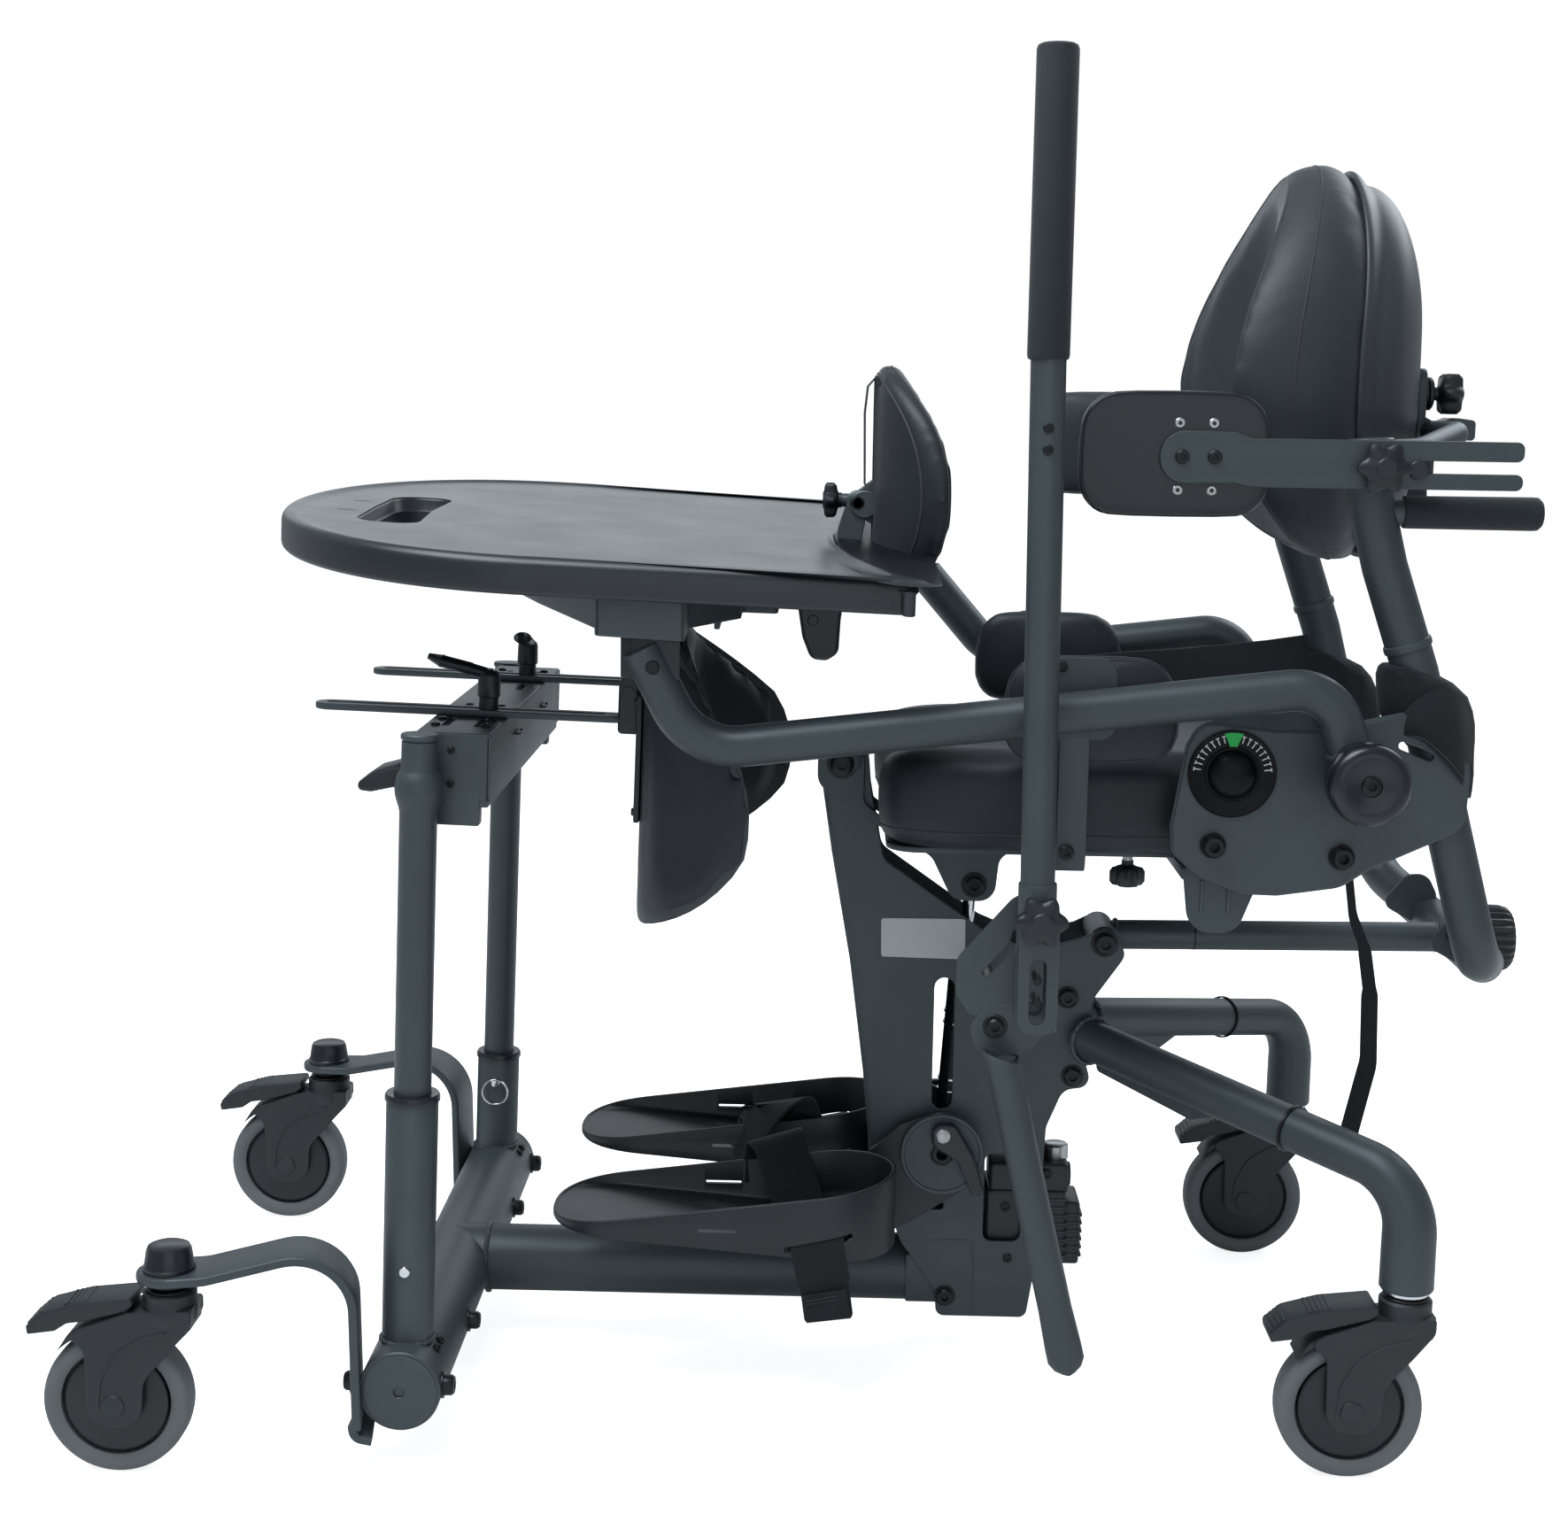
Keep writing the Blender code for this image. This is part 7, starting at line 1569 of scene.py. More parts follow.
def sandal_shell(y):
    """The sole and the wall round it, as rings from the underside up, over the rim and down to the insole."""
    def rim(x):
        return max(foot_high(x), foot_low(x) + 0.0035)

    def floor_at(x):
        return min(foot_low(x) + 0.006, rim(x) - 0.0001)

    steps = ((0.014, foot_low), (0.003, foot_low), (0.001, lambda x: foot_low(x) + 0.0006),
             (0.0, lambda x: foot_low(x) + 0.0022), (0.0, lambda x: rim(x) - 0.001),
             (0.0005, lambda x: rim(x) - 0.0003), (0.0012, rim), (0.0026, rim),
             (0.0034, lambda x: rim(x) - 0.0004), (0.0038, lambda x: max(rim(x) - 0.0014, floor_at(x))),
             (0.0044, lambda x: max(min(floor_at(x) + 0.003, rim(x) - 0.0016), floor_at(x))),
             (0.006, lambda x: max(min(floor_at(x) + 0.001, rim(x) - 0.0016), floor_at(x))), (0.0095, floor_at),
             (0.02, floor_at))
    return skirt([[(px, py, height(px)) for px, py in foot_loop(y, inset)] for inset, height in steps])


def sandals():
    """Each sandal with its heel arm, the clamp disc and the cam lever."""
    for side, sign in SIDES:
        y = sign * FOOT_Y
        tilt = Matrix.Translation(at(SOLE_SLOT, y)) @ Matrix.Rotation(SOLE_TILT, 4, "Y")
        tools = [block((-0.031, -0.085, -0.003), (0.031, 0.085, 0.003), 0.0018),
                 block((-0.0415, y - 0.085, 0.1738), (-0.0075, y + 0.085, 0.1768), 0.0012)]
        tools[0].transform(tilt)
        meshes = [cut(sandal_shell(y), tools)]
        boss = SPINE_HALF + 0.01 + GAP
        arm = corners([((0.113, 0.16), 0.004), ((0.113, 0.209), 0.004), (0.1415, 0.235), ((0.171, 0.246), 0.02),
                       ((0.213, 0.228), 0.025), ((0.203, 0.172), 0.02), (0.154, 0.14), ((0.135, 0.13), 0.004)],
                      0.014)
        meshes.append(upright(arm, sign * boss, sign * (boss + 0.006), [ring(*FOOT_PIVOT, 0.006)], 0.0012))
        meshes.append(block((0.115, sign * (boss + 0.001), 0.15), (0.128, sign * (FOOT_Y - 0.0408), 0.198),
                            0.0015))
        meshes.append(block((0.13, sign * (boss + 0.001), 0.145), (0.1362, sign * (FOOT_Y - 0.018), 0.188),
                            0.0015))
        piece(f"sandal_{side}", f"foot_{side}", PLASTIC, meshes, [f"footplate_{side}"])
        base_at = at(FOOT_PIVOT, sign * (boss + 0.005))
        disc = ((0.0052, 0.006), (0.011, 0.006), (0.0118, 0.0052), (0.035, 0.0056), (0.0358, 0.0068),
                (0.0384, 0.0068), (0.039, 0.006), (0.039, 0.0), (0.0052, 0.0), (0.0052, 0.006))
        piece(f"clamp_disc_{side}", f"foot_{side}", PAINT, [turned(disc, base_at, (0, sign, 0), 88)])
        hub = ((0.003, 0.003), (0.0055, 0.0074), (0.0088, 0.0074), (0.0104, 0.006), (0.0104, 0.0), (0.003, 0.0),
               (0.003, 0.003))
        piece(f"clamp_hub_{side}", f"foot_{side}", BLACK_STEEL, [turned(hub, base_at, (0, sign, 0), 40)])

        face = boss + 0.012 + GAP
        hinge = Vector((0.181, sign * face, 0.229))
        lever = corners([((0.17, 0.239), 0.01), ((0.192, 0.24), 0.01), ((0.21, 0.21), 0.01),
                         ((0.2215, 0.175), 0.006), ((0.2105, 0.168), 0.006), ((0.195, 0.204), 0.006),
                         ((0.171, 0.219), 0.01)], 0.004)
        shape = [upright(lever, hinge.y, hinge.y + sign * 0.0088, edge=0.002)]
        piece(f"cam_lever_{side}", f"foot_cam_{side}", SATIN, shape, [f"foot_lever_{side}"])
        head = ((0.0, 0.0012), (0.006, 0.0012), (0.0068, 0.0006), (0.0068, 0.0), (0.0, 0.0))
        bolt = turned(head, hinge + Vector((0, sign * 0.0087, 0)), (0, sign, 0), 32)
        piece(f"cam_pin_{side}", f"foot_cam_{side}", ZINC, [bolt])


sandals()


# Pads

UPRIGHT_TO_REAR = ((0, 0, 1), (0, 1, 0), (1, 0, 0))  # for outlines given as (up, across)


def spline_run(places, steps):
    """The points of a smooth line that each four neighbouring control points in turn draw."""
    result = []
    for a, b, c, d in zip(places, places[1:], places[2:], places[3:]):
        for step in range(steps):
            t = step / steps
            weights = (1 - t) ** 3, 3 * t ** 3 - 6 * t ** 2 + 4, -3 * t ** 3 + 3 * t ** 2 + 3 * t + 1, t ** 3
            result.append((a * weights[0] + b * weights[1] + c * weights[2] + d * weights[3]) / 6)
    return result


def spline_loop(points, steps=6):
    """A smooth closed line drawn by a ring of control points."""
    places = [Vector(point) for point in (points[-1], *points, *points[:2])]
    return spline_run(places, steps)


def spline_line(points, steps=4):
    """A smooth open line that starts and ends on its first and last control points."""
    places = [Vector(point) for point in (*points[:1] * 2, *points, *points[-1:] * 2)]
    return spline_run(places, steps) + [Vector(points[-1])]


def scaled(outline, size, steps):
    """The smooth outline of a pad, drawn larger or smaller about its middle."""
    loop = spline_loop(outline, steps)
    middle = sum(loop, Vector((0.0, 0.0))) / len(loop)
    return [middle + (point - middle) * size for point in loop]


def pad_mesh(outline, profile, placing, bow=None, steps=6):
    """A pad: its outline in the placing's XY plane, and a (size, height) profile from back to front."""
    loop = spline_loop(outline, steps)
    middle = sum(loop, Vector((0.0, 0.0))) / len(loop)
    shape = bmesh.new()
    rings = []
    for size, height in spline_line(profile, 4):
        if size < 1e-4:
            rings.append([shape.verts.new((*middle, height))])
        else:
            rings.append([shape.verts.new((*(middle + (point - middle) * size), height)) for point in loop])
    count = len(loop)
    for lower, upper in zip(rings, rings[1:]):
        for index in range(count):
            after = (index + 1) % count
            if len(lower) == 1 and len(upper) == 1:
                continue
            if len(lower) == 1:
                shape.faces.new((lower[0], upper[after], upper[index]))
            elif len(upper) == 1:
                shape.faces.new((lower[index], lower[after], upper[0]))
            else:
                shape.faces.new((lower[index], lower[after], upper[after], upper[index]))
    mesh = finished(shape, "pad")
    if bow is not None:
        for vertex in mesh.vertices:
            vertex.co.z += bow(*vertex.co)
    mesh.transform(placing)
    return mesh


def stuffed(mesh, cap, voxel=0.006, pressure=4.0):
    """The mesh after its cover has been blown out a little, by no more than the cap, and smoothed."""
    obj = linked("stuffing", mesh)
    remesh = obj.modifiers.new("Remesh", "REMESH")
    remesh.mode = "VOXEL"
    remesh.voxel_size = voxel
    remesh.use_smooth_shade = True
    even = evaluated(obj)
    obj.modifiers.clear()
    obj.data = even
    bpy.data.meshes.remove(mesh)
    start = [vertex.co.copy() for vertex in even.vertices]
    cloth = obj.modifiers.new("Cloth", "CLOTH")
    cloth.settings.quality = 5
    cloth.settings.mass = 0.3
    cloth.settings.tension_stiffness = 18
    cloth.settings.compression_stiffness = 18
    cloth.settings.bending_stiffness = 0.6
    cloth.settings.use_pressure = True
    cloth.settings.uniform_pressure_force = pressure
    cloth.settings.effector_weights.gravity = 0.0
    cloth.point_cache.frame_start = 1
    cloth.point_cache.frame_end = 20
    scene = bpy.context.scene
    for step in range(1, 21):
        scene.frame_set(step)
    blown = evaluated(obj)
    obj.modifiers.clear()
    scene.frame_set(1)
    for vertex, before in zip(blown.vertices, start):
        move = vertex.co - before
        if move.length > cap:
            vertex.co = before + move * (cap / move.length)
    obj.data = blown
    bpy.data.meshes.remove(even)
    smooth = obj.modifiers.new("Smooth", "CORRECTIVE_SMOOTH")
    smooth.factor = 0.5
    smooth.iterations = 6
    smooth.use_only_smooth = True
    soft = obj.modifiers.new("Subdivision", "SUBSURF")
    soft.levels = 1
    result = evaluated(obj)
    old = obj.data
    bpy.data.objects.remove(obj)
    bpy.data.meshes.remove(old)
    return result


def seam_line(mesh, points, radius=0.001, lift=0.0, loop=False, step=0.006):
    """A thin bead laid on the surface nearest to a line of points."""
    finder = BVHTree.FromPolygons([v.co for v in mesh.vertices], [list(p.vertices) for p in mesh.polygons])
    dense = []
    ends = list(zip(points, points[1:] + points[:1])) if loop else list(zip(points, points[1:]))
    for a, b in ends:
        a, b = Vector(a), Vector(b)
        parts = max(1, round((b - a).length / step))
        dense += [a.lerp(b, i / parts) for i in range(parts)]
    if not loop:
        dense.append(Vector(points[-1]))
    laid = []
    for point in dense:
        place, normal, _, _ = finder.find_nearest(point)
        laid.append(place + normal * lift)
    for _ in range(2):
        count = len(laid)
        inner = range(count) if loop else range(1, count - 1)
        laid = [(laid[i - 1] + laid[i] * 2 + laid[(i + 1) % count]) / 4 if i in inner else laid[i]
                for i in range(count)]
    return sweep(laid, circle(radius, 8), loop=loop)


KNEE_OUTLINE = [(-0.118, -0.044), (-0.076, -0.076), (0.06, -0.076), (0.128, -0.034), (0.128, 0.034),
                (0.06, 0.076), (-0.076, 0.078), (-0.118, 0.048)]
OUTER_BOW = {"left": 21.5, "right": 29.0}  # how strongly each cup curls in at its outer side


def knee_pads():
    """The cupped pads, each with a piped seam and a moulded shell behind it."""
    for side, sign in SIDES:
        back_x, y = -0.1117, sign * KNEE_Y
        placing = LEANED @ placed((back_x, y, 0.57), ((0, 0, 1), (0, -1, 0), (1, 0, 0)))

        def cup(up, across, _=0.0):
            outer = max(0.0, -across * sign - 0.012)
            inner = max(0.0, across * sign - 0.02)
            taper = 1.0 - 0.3 * max(0.0, abs(up) - 0.05) / 0.07
            return (OUTER_BOW[side] * outer ** 2 + 16.0 * inner ** 2) * taper

        profile = ((0.0, 0.0), (0.5, 0.0), (0.92, 0.0), (1.0, 0.002), (1.03, 0.01), (1.02, 0.018),
                   (0.98, 0.0235), (0.88, 0.0245), (0.76, 0.0225), (0.4, 0.0225), (0.0, 0.0225))
        mesh = stuffed(pad_mesh(KNEE_OUTLINE, profile, placing, cup), 0.005)
        seam = [placing @ Vector((p.x, p.y, 0.0235 + cup(p.x, p.y))) for p in spline_loop(KNEE_OUTLINE, 4)]
        lines = seam_line(mesh, seam, 0.0009, 0.0, True)
        pad = piece(f"knee_cup_cover_{side}", f"knee_cup_{side}", VINYL, [mesh], [f"knee_pad_{side}"], angle=60)
        piece(f"knee_cup_seam_{side}", f"knee_cup_{side}", SEAM, [lines])
        shell = ((0.0, -0.0002), (0.6, -0.0002), (0.9, 0.0), (1.005, 0.001), (1.045, 0.006), (1.0, 0.01),
                 (0.9, 0.008), (0.0, 0.004))
        back = pad_mesh(KNEE_OUTLINE, shell, placing, cup)
        piece(f"knee_cup_shell_{side}", f"knee_cup_{side}", SHELL, [back], angle=50)


PAN_TOP = 0.5215
THIGH_Y, THIGH_HALF, TROUGH = 0.085, 0.07, 0.0075


def seat_pad():
    """The seat cushion with a shallow trough for each thigh, and a seam round its side."""
    outline = [(0.104, -0.12), (0.12, -0.172), (0.174, -0.188), (0.29, -0.19), (0.42, -0.187), (0.458, -0.16),
               (0.47, -0.06), (0.47, 0.06), (0.458, 0.16), (0.42, 0.187), (0.29, 0.19), (0.174, 0.188),
               (0.12, 0.172), (0.104, 0.12), (0.13, 0.066), (0.13, -0.066)]
    profile = ((0.0, 0.0), (0.5, 0.0), (0.93, 0.0), (0.985, 0.002), (1.005, 0.014), (1.012, 0.034),
               (1.012, 0.054), (1.0, 0.07), (0.965, 0.0795), (0.9, 0.083), (0.7, 0.085), (0.4, 0.085),
               (0.0, 0.084))

    placing = Matrix.Translation((0.0, 0.0, 0.5216))
    mesh = stuffed(pad_mesh(outline, profile, placing), 0.005)
    for vertex in mesh.vertices:
        rise = max(0.0, vertex.co.z - 0.56) / 0.048
        for sign in (-1, 1):
            away = abs(vertex.co.y - sign * THIGH_Y) / THIGH_HALF
            if away < 1.0:
                fade = min(1.0, max(0.0, (0.47 - vertex.co.x) / 0.2))
                vertex.co.z -= TROUGH * rise * (0.5 + 0.5 * math.cos(math.pi * away)) * fade
        vertex.co.z = max(vertex.co.z, PAN_TOP)
    lines = seam_line(mesh, [(*p, 0.537) for p in scaled(outline, 1.0, 4)], 0.001, 0.0, True)
    pad = piece("seat_cushion_cover", "seat", VINYL, [mesh], ["seat_cushion"], angle=70)
    piece("seat_cushion_seams", "seat", SEAM, [lines])


def hip_pads():
    """The flat pads beside the hips, with piping round them."""
    outline = corners([((0.212, 0.604), 0.03), ((0.368, 0.604), 0.03), ((0.364, 0.7), 0.04),
                       ((0.216, 0.7), 0.034)], 0.03, 4)
    for side, sign in SIDES:
        placing = placed((0.0, sign * 0.2157, 0.0), ((1, 0, 0), (0, 0, -sign), (0, 1, 0)))
        profile = ((0.0, 0.0), (0.5, 0.0), (0.94, 0.0), (0.99, 0.0015), (1.005, 0.006), (1.0, 0.013),
                   (0.975, 0.0185), (0.9, 0.0212), (0.6, 0.0222), (0.0, 0.0222))
        mesh = stuffed(pad_mesh(outline, profile, placing, None, 2), 0.003, 0.005)
        rim = [placing @ Vector((*p, 0.0015)) for p in scaled(outline, 0.985, 1)]
        lines = seam_line(mesh, rim, 0.0011, 0.0, True)
        pad = piece(f"hip_pad_cover_{side}", f"hip_{side}", VINYL, [mesh], [f"hip_pad_{side}"], angle=60)
        piece(f"hip_pad_piping_{side}", f"hip_{side}", SEAM, [lines])


def lateral_pads():
    """The pads beside the chest: a plastic shell outside, a soft cover inside and four metal inserts."""
    outline = corners([((0.27, 0.817), 0.03), ((0.428, 0.817), 0.03), ((0.428, 0.921), 0.034),
                       ((0.27, 0.921), 0.034)], 0.03, 4)
    for side, sign in SIDES:
        placing = placed((0.0, sign * 0.2282, 0.0), ((1, 0, 0), (0, 0, -sign), (0, 1, 0)))
        shell = ((0.0, 0.0), (0.5, 0.0), (0.95, 0.0), (0.985, 0.001), (1.0, 0.004), (1.0, 0.0075),
                 (0.985, 0.0095), (0.9, 0.01), (0.0, 0.01))
        back = pad_mesh(outline, shell, placing, None, 2)
        cover = ((0.0, 0.0088), (0.5, 0.0088), (0.96, 0.0088), (1.0, 0.0095), (1.012, 0.014), (1.005, 0.0205),
                 (0.96, 0.025), (0.8, 0.0262), (0.0, 0.0262))
        mesh = stuffed(pad_mesh(outline, cover, placing, None, 2), 0.003, 0.005)
        pad = piece(f"lateral_pad_cover_{side}", f"lateral_{side}", SOFT_VINYL, [mesh], [f"lateral_pad_{side}"],
                    angle=60)
        piece(f"lateral_pad_shell_{side}", f"lateral_{side}", SATIN, [back], angle=45)
        rim = ((0.0018, 0.0012), (0.0036, 0.0012), (0.0044, 0.0004), (0.0044, -0.001), (0.0018, -0.001),
               (0.0018, 0.0012))
        inserts = [turned(rim, (x, sign * 0.2282, z), (0, sign, 0), 28) for x in (0.352, 0.38)
                   for z in (0.8395, 0.8945)]
        piece(f"lateral_pad_inserts_{side}", f"lateral_{side}", ZINC, inserts)


def chest_pad():
    """The pad on the tray's rear edge, curved round the chest, with seams and a looped fabric behind."""
    outline = [(0.72, 0.04), (0.77, 0.108), (0.876, 0.108), (0.938, 0.04), (0.938, -0.04), (0.876, -0.108),
               (0.77, -0.108), (0.72, -0.04)]
    placing = placed((0.104, 0, 0), UPRIGHT_TO_REAR)

    def wrap(_up, across, _height=0.0):
        return 4.0 * across ** 2

    profile = ((0.0, 0.0), (0.5, 0.0), (0.97, 0.0), (1.05, 0.002), (1.09, 0.01), (1.085, 0.02), (1.04, 0.0275),
               (0.94, 0.031), (0.7, 0.0325), (0.4, 0.033), (0.0, 0.033))
    mesh = stuffed(pad_mesh(outline, profile, placing, wrap), 0.004)

    def around(size, height):
        return [placing @ Vector((*p, height + wrap(*p))) for p in scaled(outline, size, 5)]

    lines = [seam_line(mesh, around(0.985, 0.001), 0.0013, 0.0, True),
             seam_line(mesh, around(1.085, 0.015), 0.0009, 0.0, True)]
    thin = ((0.0, -0.0012), (0.5, -0.0012), (0.9, -0.0012), (0.965, -0.0008), (0.975, 0.001), (0.9, 0.002),
            (0.0, 0.002))
    fabric = pad_mesh(outline, thin, placing, wrap)
    pad = piece("chest_pad_cover", "chest", VINYL, [mesh], ["chest_pad"], angle=60)
    piece("chest_pad_back", "chest", FUZZ, [fabric], angle=60)
    piece("chest_pad_edge_seam", "chest", SEAM, lines)


BACK_OUTLINE = [(0.768, 0.05), (0.8, 0.122), (0.9, 0.166), (1.01, 0.15), (1.085, 0.1), (1.126, 0.036),
                (1.126, -0.036), (1.085, -0.1), (1.01, -0.15), (0.9, -0.166), (0.8, -0.122), (0.768, -0.05)]


def back_pads():
    """The wrapped back cushion with its front ridge and side seam, and the moulded shell behind it."""
    placing = placed((0.546, 0, 0), ((0, 0, -1), (0, 1, 0), (1, 0, 0)))

    def wrap(up, across, height):
        top = max(0.0, up - 0.98)
        return (1.65 + 2.75 * height / 0.07) * across ** 2 + 1.3 * top ** 2

    profile = ((0.0, 0.0), (0.5, 0.0), (0.94, 0.0), (1.0, 0.003), (1.03, 0.012), (1.035, 0.026), (1.015, 0.04),
               (0.985, 0.0505), (0.965, 0.056), (0.925, 0.06), (0.8, 0.063), (0.5, 0.066), (0.0, 0.066))
    mesh = stuffed(pad_mesh(BACK_OUTLINE, profile, placing, wrap), 0.006)

    def around(size, height):
        return [placing @ Vector((*p, height + wrap(*p, height))) for p in scaled(BACK_OUTLINE, size, 5)]

    lines = [seam_line(mesh, around(1.04, 0.022), 0.0009, 0.0, True)]
    ridge = [seam_line(mesh, around(0.975, 0.058), 0.0018, -0.0006, True)]
    pad = piece("back_cushion_cover", "back_support", SOFT_VINYL, [mesh], ["back_cushion"], angle=70)
    piece("back_cushion_seam", "back_support", SEAM, lines)
    piece("back_cushion_ridge", "back_support", SOFT_VINYL, ridge)

    small = [(0.935 + (up - 0.935) * 0.94, across * 0.9) for up, across in BACK_OUTLINE]
    rear = placed((0.5466, 0, 0), UPRIGHT_TO_REAR)
    moulded = ((0.0, 0.0), (0.5, 0.0), (0.98, 0.0), (1.035, 0.0015), (1.045, 0.006), (1.03, 0.01),
               (0.975, 0.0125), (0.965, 0.0175), (0.955, 0.024), (0.91, 0.033), (0.8, 0.04), (0.6, 0.045),
               (0.3, 0.048), (0.0, 0.048))
    shell = pad_mesh(small, moulded, rear, lambda up, across, _: -wrap(up, across, 0.0))
    piece("back_shell_moulding", "back_support", SHELL, [shell], ["back_shell"], angle=60)


knee_pads()
seat_pad()
hip_pads()
lateral_pads()
chest_pad()
back_pads()


# Straps and belts

def cloth_strap(points, width, thick, up, sizes=None, bend=0.006, wave=0.0):
    """A flat woven strap along bent points; the wave is how far its surface wanders."""
    path = bent(points, bend, 8)
    if sizes is not None:
        count = len(path) - 1
        steps = len(sizes) - 1
        grown = []
        for index in range(count + 1):
            place = index / count * steps
            low = min(int(place), steps - 1)
            grown.append(sizes[low] + (sizes[low + 1] - sizes[low]) * (place - low))
        sizes = grown
    mesh = sweep(path, strip(width, thick, thick * 0.42), up=up, sizes=sizes)
    if wave > 0.0:
        for vertex in mesh.vertices:
            vertex.co += Vector((0.0, 1.0, 0.3)) * wave * noise.noise(vertex.co * 38.0)
    return mesh


def stitches(start, end, count, direction, thick=0.00055):
    """A row of short threads between two points."""
    start, end, direction = Vector(start), Vector(end), Vector(direction)
    meshes = []
    step = (end - start) / count
    for index in range(count):
        first = start + step * (index + 0.18)
        meshes.append(sweep([first, first + step * 0.64], circle(thick, 6), up=direction))
    return meshes


def sandal_straps():
    """The strap through each sandal's slots with its sewn end, and the loose loop over the inner wall."""
    for side, sign in SIDES:
        tilt = Matrix.Rotation(SOLE_TILT, 4, "Y")
        turn = Matrix.Translation(at(SOLE_SLOT)) @ tilt @ Matrix.Translation(-at(SOLE_SLOT))
        x = 0.065
        run = [(x + 0.002, sign * 0.05, 0.165), (x + 0.002, sign * 0.07, 0.16), (x, sign * 0.16, 0.16),
               (x, sign * 0.179, 0.164), ((x, sign * 0.1905, 0.1646), 0.005), (x, sign * 0.1935, 0.13),
               ((x - 0.002, sign * 0.196, 0.0985), 0.003), ((x - 0.002, sign * 0.1998, 0.0985), 0.0016),
               (x - 0.002, sign * 0.1985, 0.124)]
        inside = 1.25 if side == "right" else 1.05
        sizes = [1.28, 1.28, 1.25, inside, inside - 0.05, 0.98, 0.92, 0.86, 0.8, 0.82]
        outer = cloth_strap(run, 0.049, 0.0022, (0, 0, 1), sizes, 0.004, 0.001)
        outer.transform(turn)
        run = [(0.05, sign * 0.09, 0.161), (0.036, sign * 0.072, 0.196), ((0.026, sign * 0.059, 0.2215), 0.013),
               ((0.02, sign * 0.042, 0.218), 0.013), (0.016, sign * 0.0395, 0.195),
               (0.014, sign * 0.044, 0.172)]
        if side == "right":
            run = [(0.046, 0.09, 0.161), (0.034, 0.072, 0.196), ((0.024, 0.059, 0.2215), 0.013),
                   ((0.012, 0.042, 0.219), 0.013), (-0.006, 0.0385, 0.19), (-0.018, 0.043, 0.166)]
        wide = 0.054 if side == "left" else 0.076
        loop = cloth_strap(run, wide, 0.0024, (0.4, sign * 1.0, 0), [0.9, 1.0, 1.06, 1.06, 1.0, 0.9], 0.01,
                           0.0024)
        piece(f"sandal_strap_{side}", f"foot_{side}", WEBBING, [outer, loop])
        rows = []
        for z in (0.1195, 0.1165):
            rows += stitches((x - 0.019, sign * 0.2002, z), (x + 0.015, sign * 0.2002, z), 12, (0, 0, 1))
        for mesh in rows:
            mesh.transform(turn)
        piece(f"sandal_strap_stitch_{side}", f"foot_{side}", SEAM, rows)


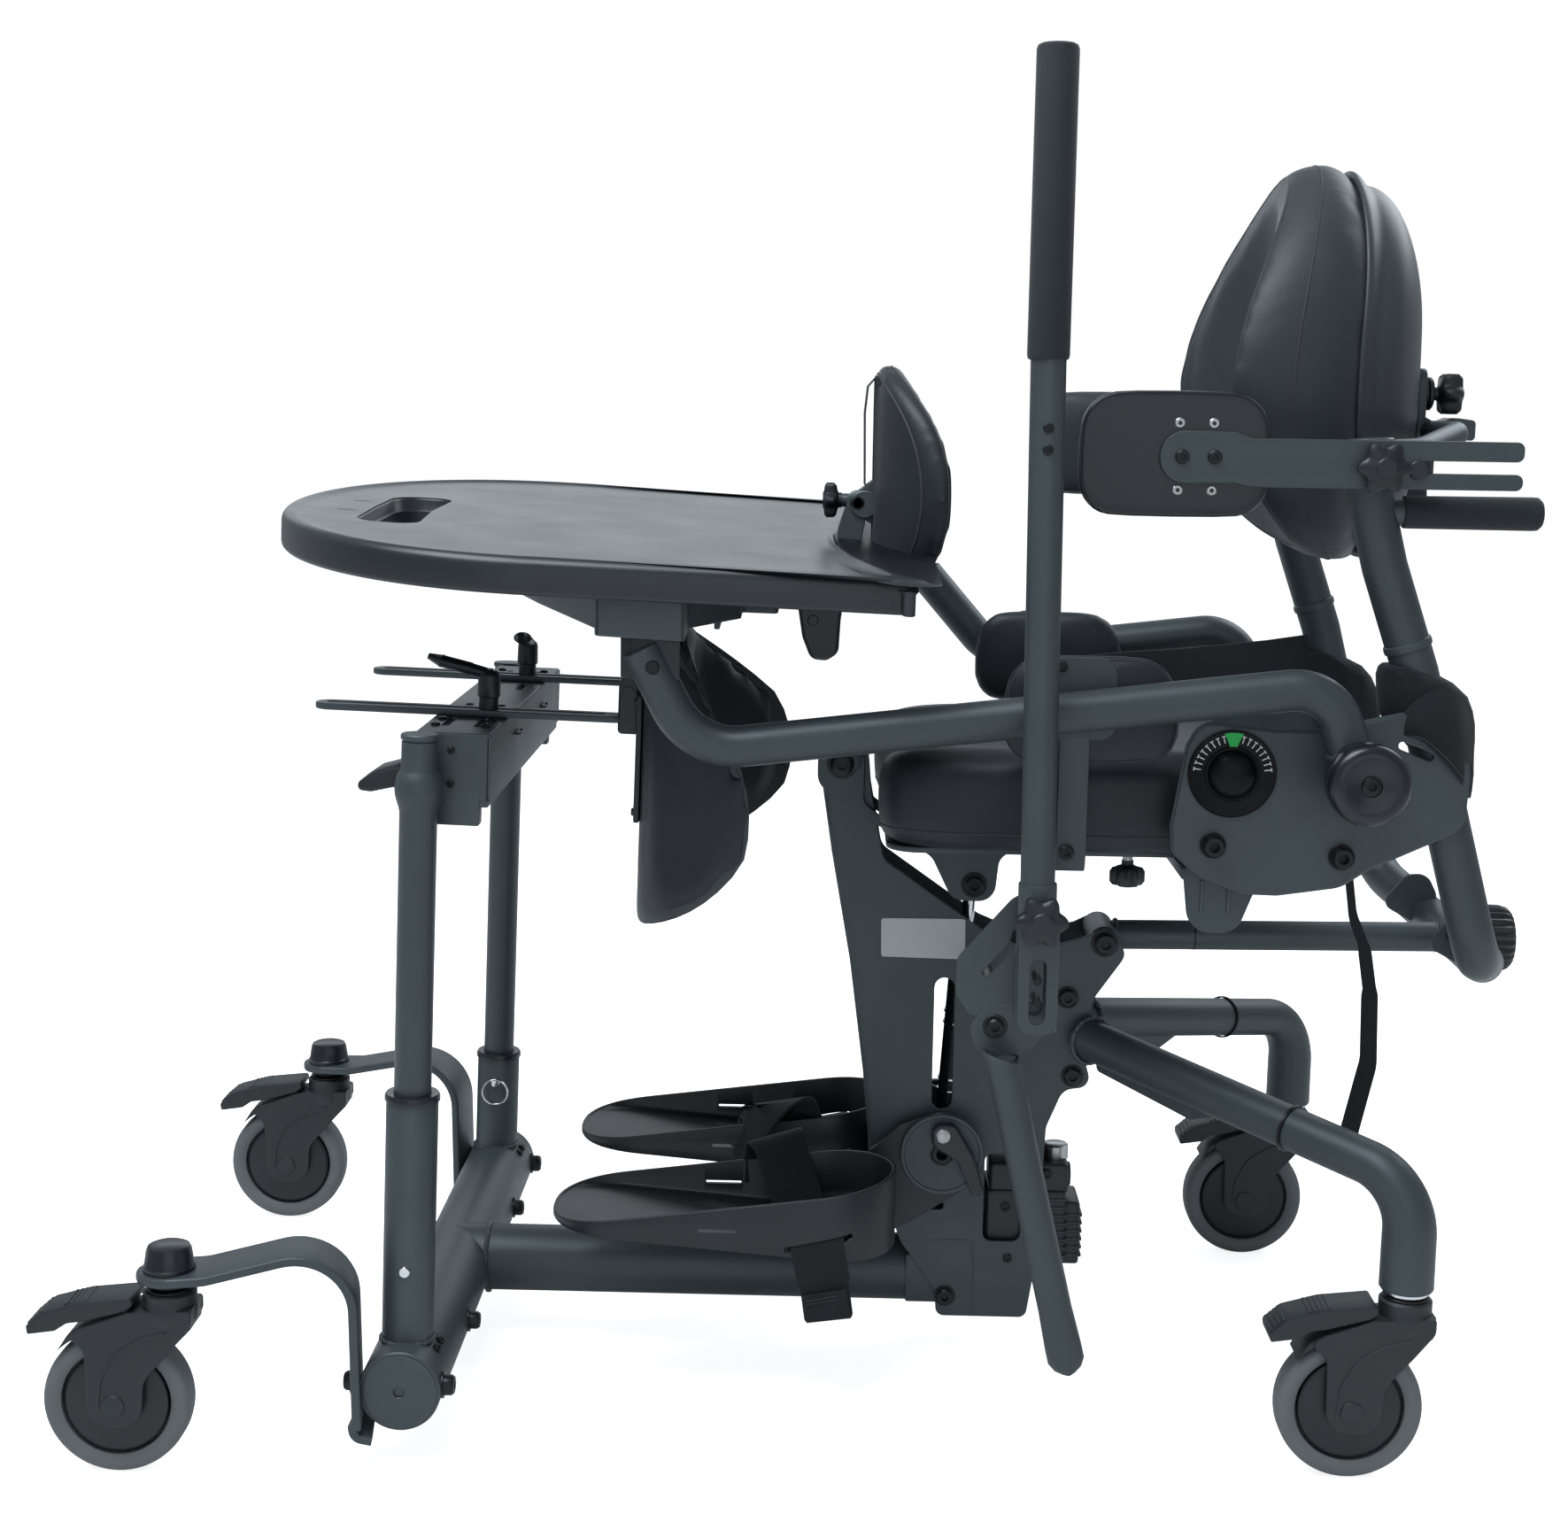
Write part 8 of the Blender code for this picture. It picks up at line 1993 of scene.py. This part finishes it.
def belts():
    """The belt gathered round each back tube, its tail through the plate's slit, and the far belt across."""
    for side, sign in SIDES:
        drop = 0.0 if side == "left" else 0.03
        rings = []
        run = ((0.552, 0.6935, 0.017, 0.0205), (0.556, 0.69, 0.024, 0.0225), (0.564, 0.683, 0.032, 0.024),
               (0.57, 0.672, 0.038, 0.0245), (0.573, 0.66, 0.04, 0.0235), (0.576, 0.648, 0.04, 0.019),
               (0.582, 0.634, 0.035, 0.0182), (0.59, 0.619, 0.027, 0.0182), (0.6, 0.604, 0.018, 0.0182),
               (0.608, 0.59, 0.01, 0.015), (0.611, 0.582, 0.005, 0.008))
        for x, z, wide, deep in run:
            points = []
            for step in range(40):
                angle = math.tau * step / 40
                place = Vector((x + wide * math.cos(angle) + 0.35 * drop,
                                sign * BACK_TUBE_Y + deep * math.sin(angle),
                                z - 0.1 * wide * math.cos(angle) - drop))
                fold = math.sin(math.tau * (place.z - 0.6 * place.x) / 0.013)
                ripple = 0.0014 * noise.noise(place * 55.0) + 0.0008 * fold
                points.append(place + Vector((math.cos(angle), math.sin(angle), 0.0)) * ripple)
            rings.append(points)
        gather = skirt(rings)
        low = [(0.5535, 0.635), (0.5611, 0.637), (0.5732, 0.6285), (0.5901, 0.6114), (0.603, 0.5951),
               (0.61, 0.586)]
        high = [(0.548, 0.6395), (0.55, 0.656), (0.561, 0.67), (0.576, 0.678), (0.596, 0.676), (0.615, 0.648)]
        out = [0.2185, 0.225, 0.2285, 0.2285, 0.225, 0.208]
        rings = []
        lines = [spline_line(points, 6) for points in (low, high, [(y, 0.0) for y in out])]
        for (x0, z0), (x1, z1), (y, _) in zip(*lines):
            front, back = [], []
            for step in range(13):
                share = step / 12
                swell = 0.003 * math.sin(math.pi * share) - 0.006 * share ** 3
                place = Vector((x0 + (x1 - x0) * share, y + swell, z0 + (z1 - z0) * share))
                place.y += 0.0012 * noise.noise(place * 60.0)
                front.append(Vector((place.x, sign * place.y, place.z)))
                back.append(Vector((place.x, sign * (place.y - 0.0026), place.z)))
            rings.append(front + back[::-1])
        hood = skirt(rings)
        meshes = [gather]
        if side == "left":
            meshes.append(hood)
            seam = [rings[index][1] + Vector((0, -0.0004, 0)) for index in range(2, len(rings) - 1)]
            piece("belt_hem", "back", SEAM, [sweep(seam, circle(0.0006, 6), up=(0, 1, 0))])
        piece(f"belt_gather_{side}", "back", WEBBING, meshes)
    run = [(0.5225, -0.16, 0.576), (0.525, -0.153, 0.5376), (0.5281, -0.15, 0.4976), (0.5329, -0.15, 0.465),
           (0.5445, -0.15, 0.4372), (0.5513, -0.15, 0.3971), (0.5534, -0.15, 0.3322), (0.5378, -0.15, 0.2581)]
    tail = cloth_strap(run[:1] + [(place, 0.05) for place in run[1:-1]] + run[-1:], 0.015, 0.0016,
                       (0.3, 0.95, 0.0), [0.5, 0.5, 0.5, 0.6, 0.8, 1.0, 1.1])
    piece("belt_tail", "back", WEBBING, [tail])
    band = cloth_strap([(0.553, 0.183, 0.648), (0.5125, 0.18, 0.642), (0.4692, 0.178, 0.637),
                        (0.42, 0.175, 0.632), (0.3735, 0.17, 0.629), (0.335, 0.164, 0.626),
                        (0.302, 0.156, 0.62)], 0.068, 0.003, (0, 1, 0), None, 0.03, 0.0016)
    piece("belt_far_side", "back", WEBBING, [band])


sandal_straps()
belts()
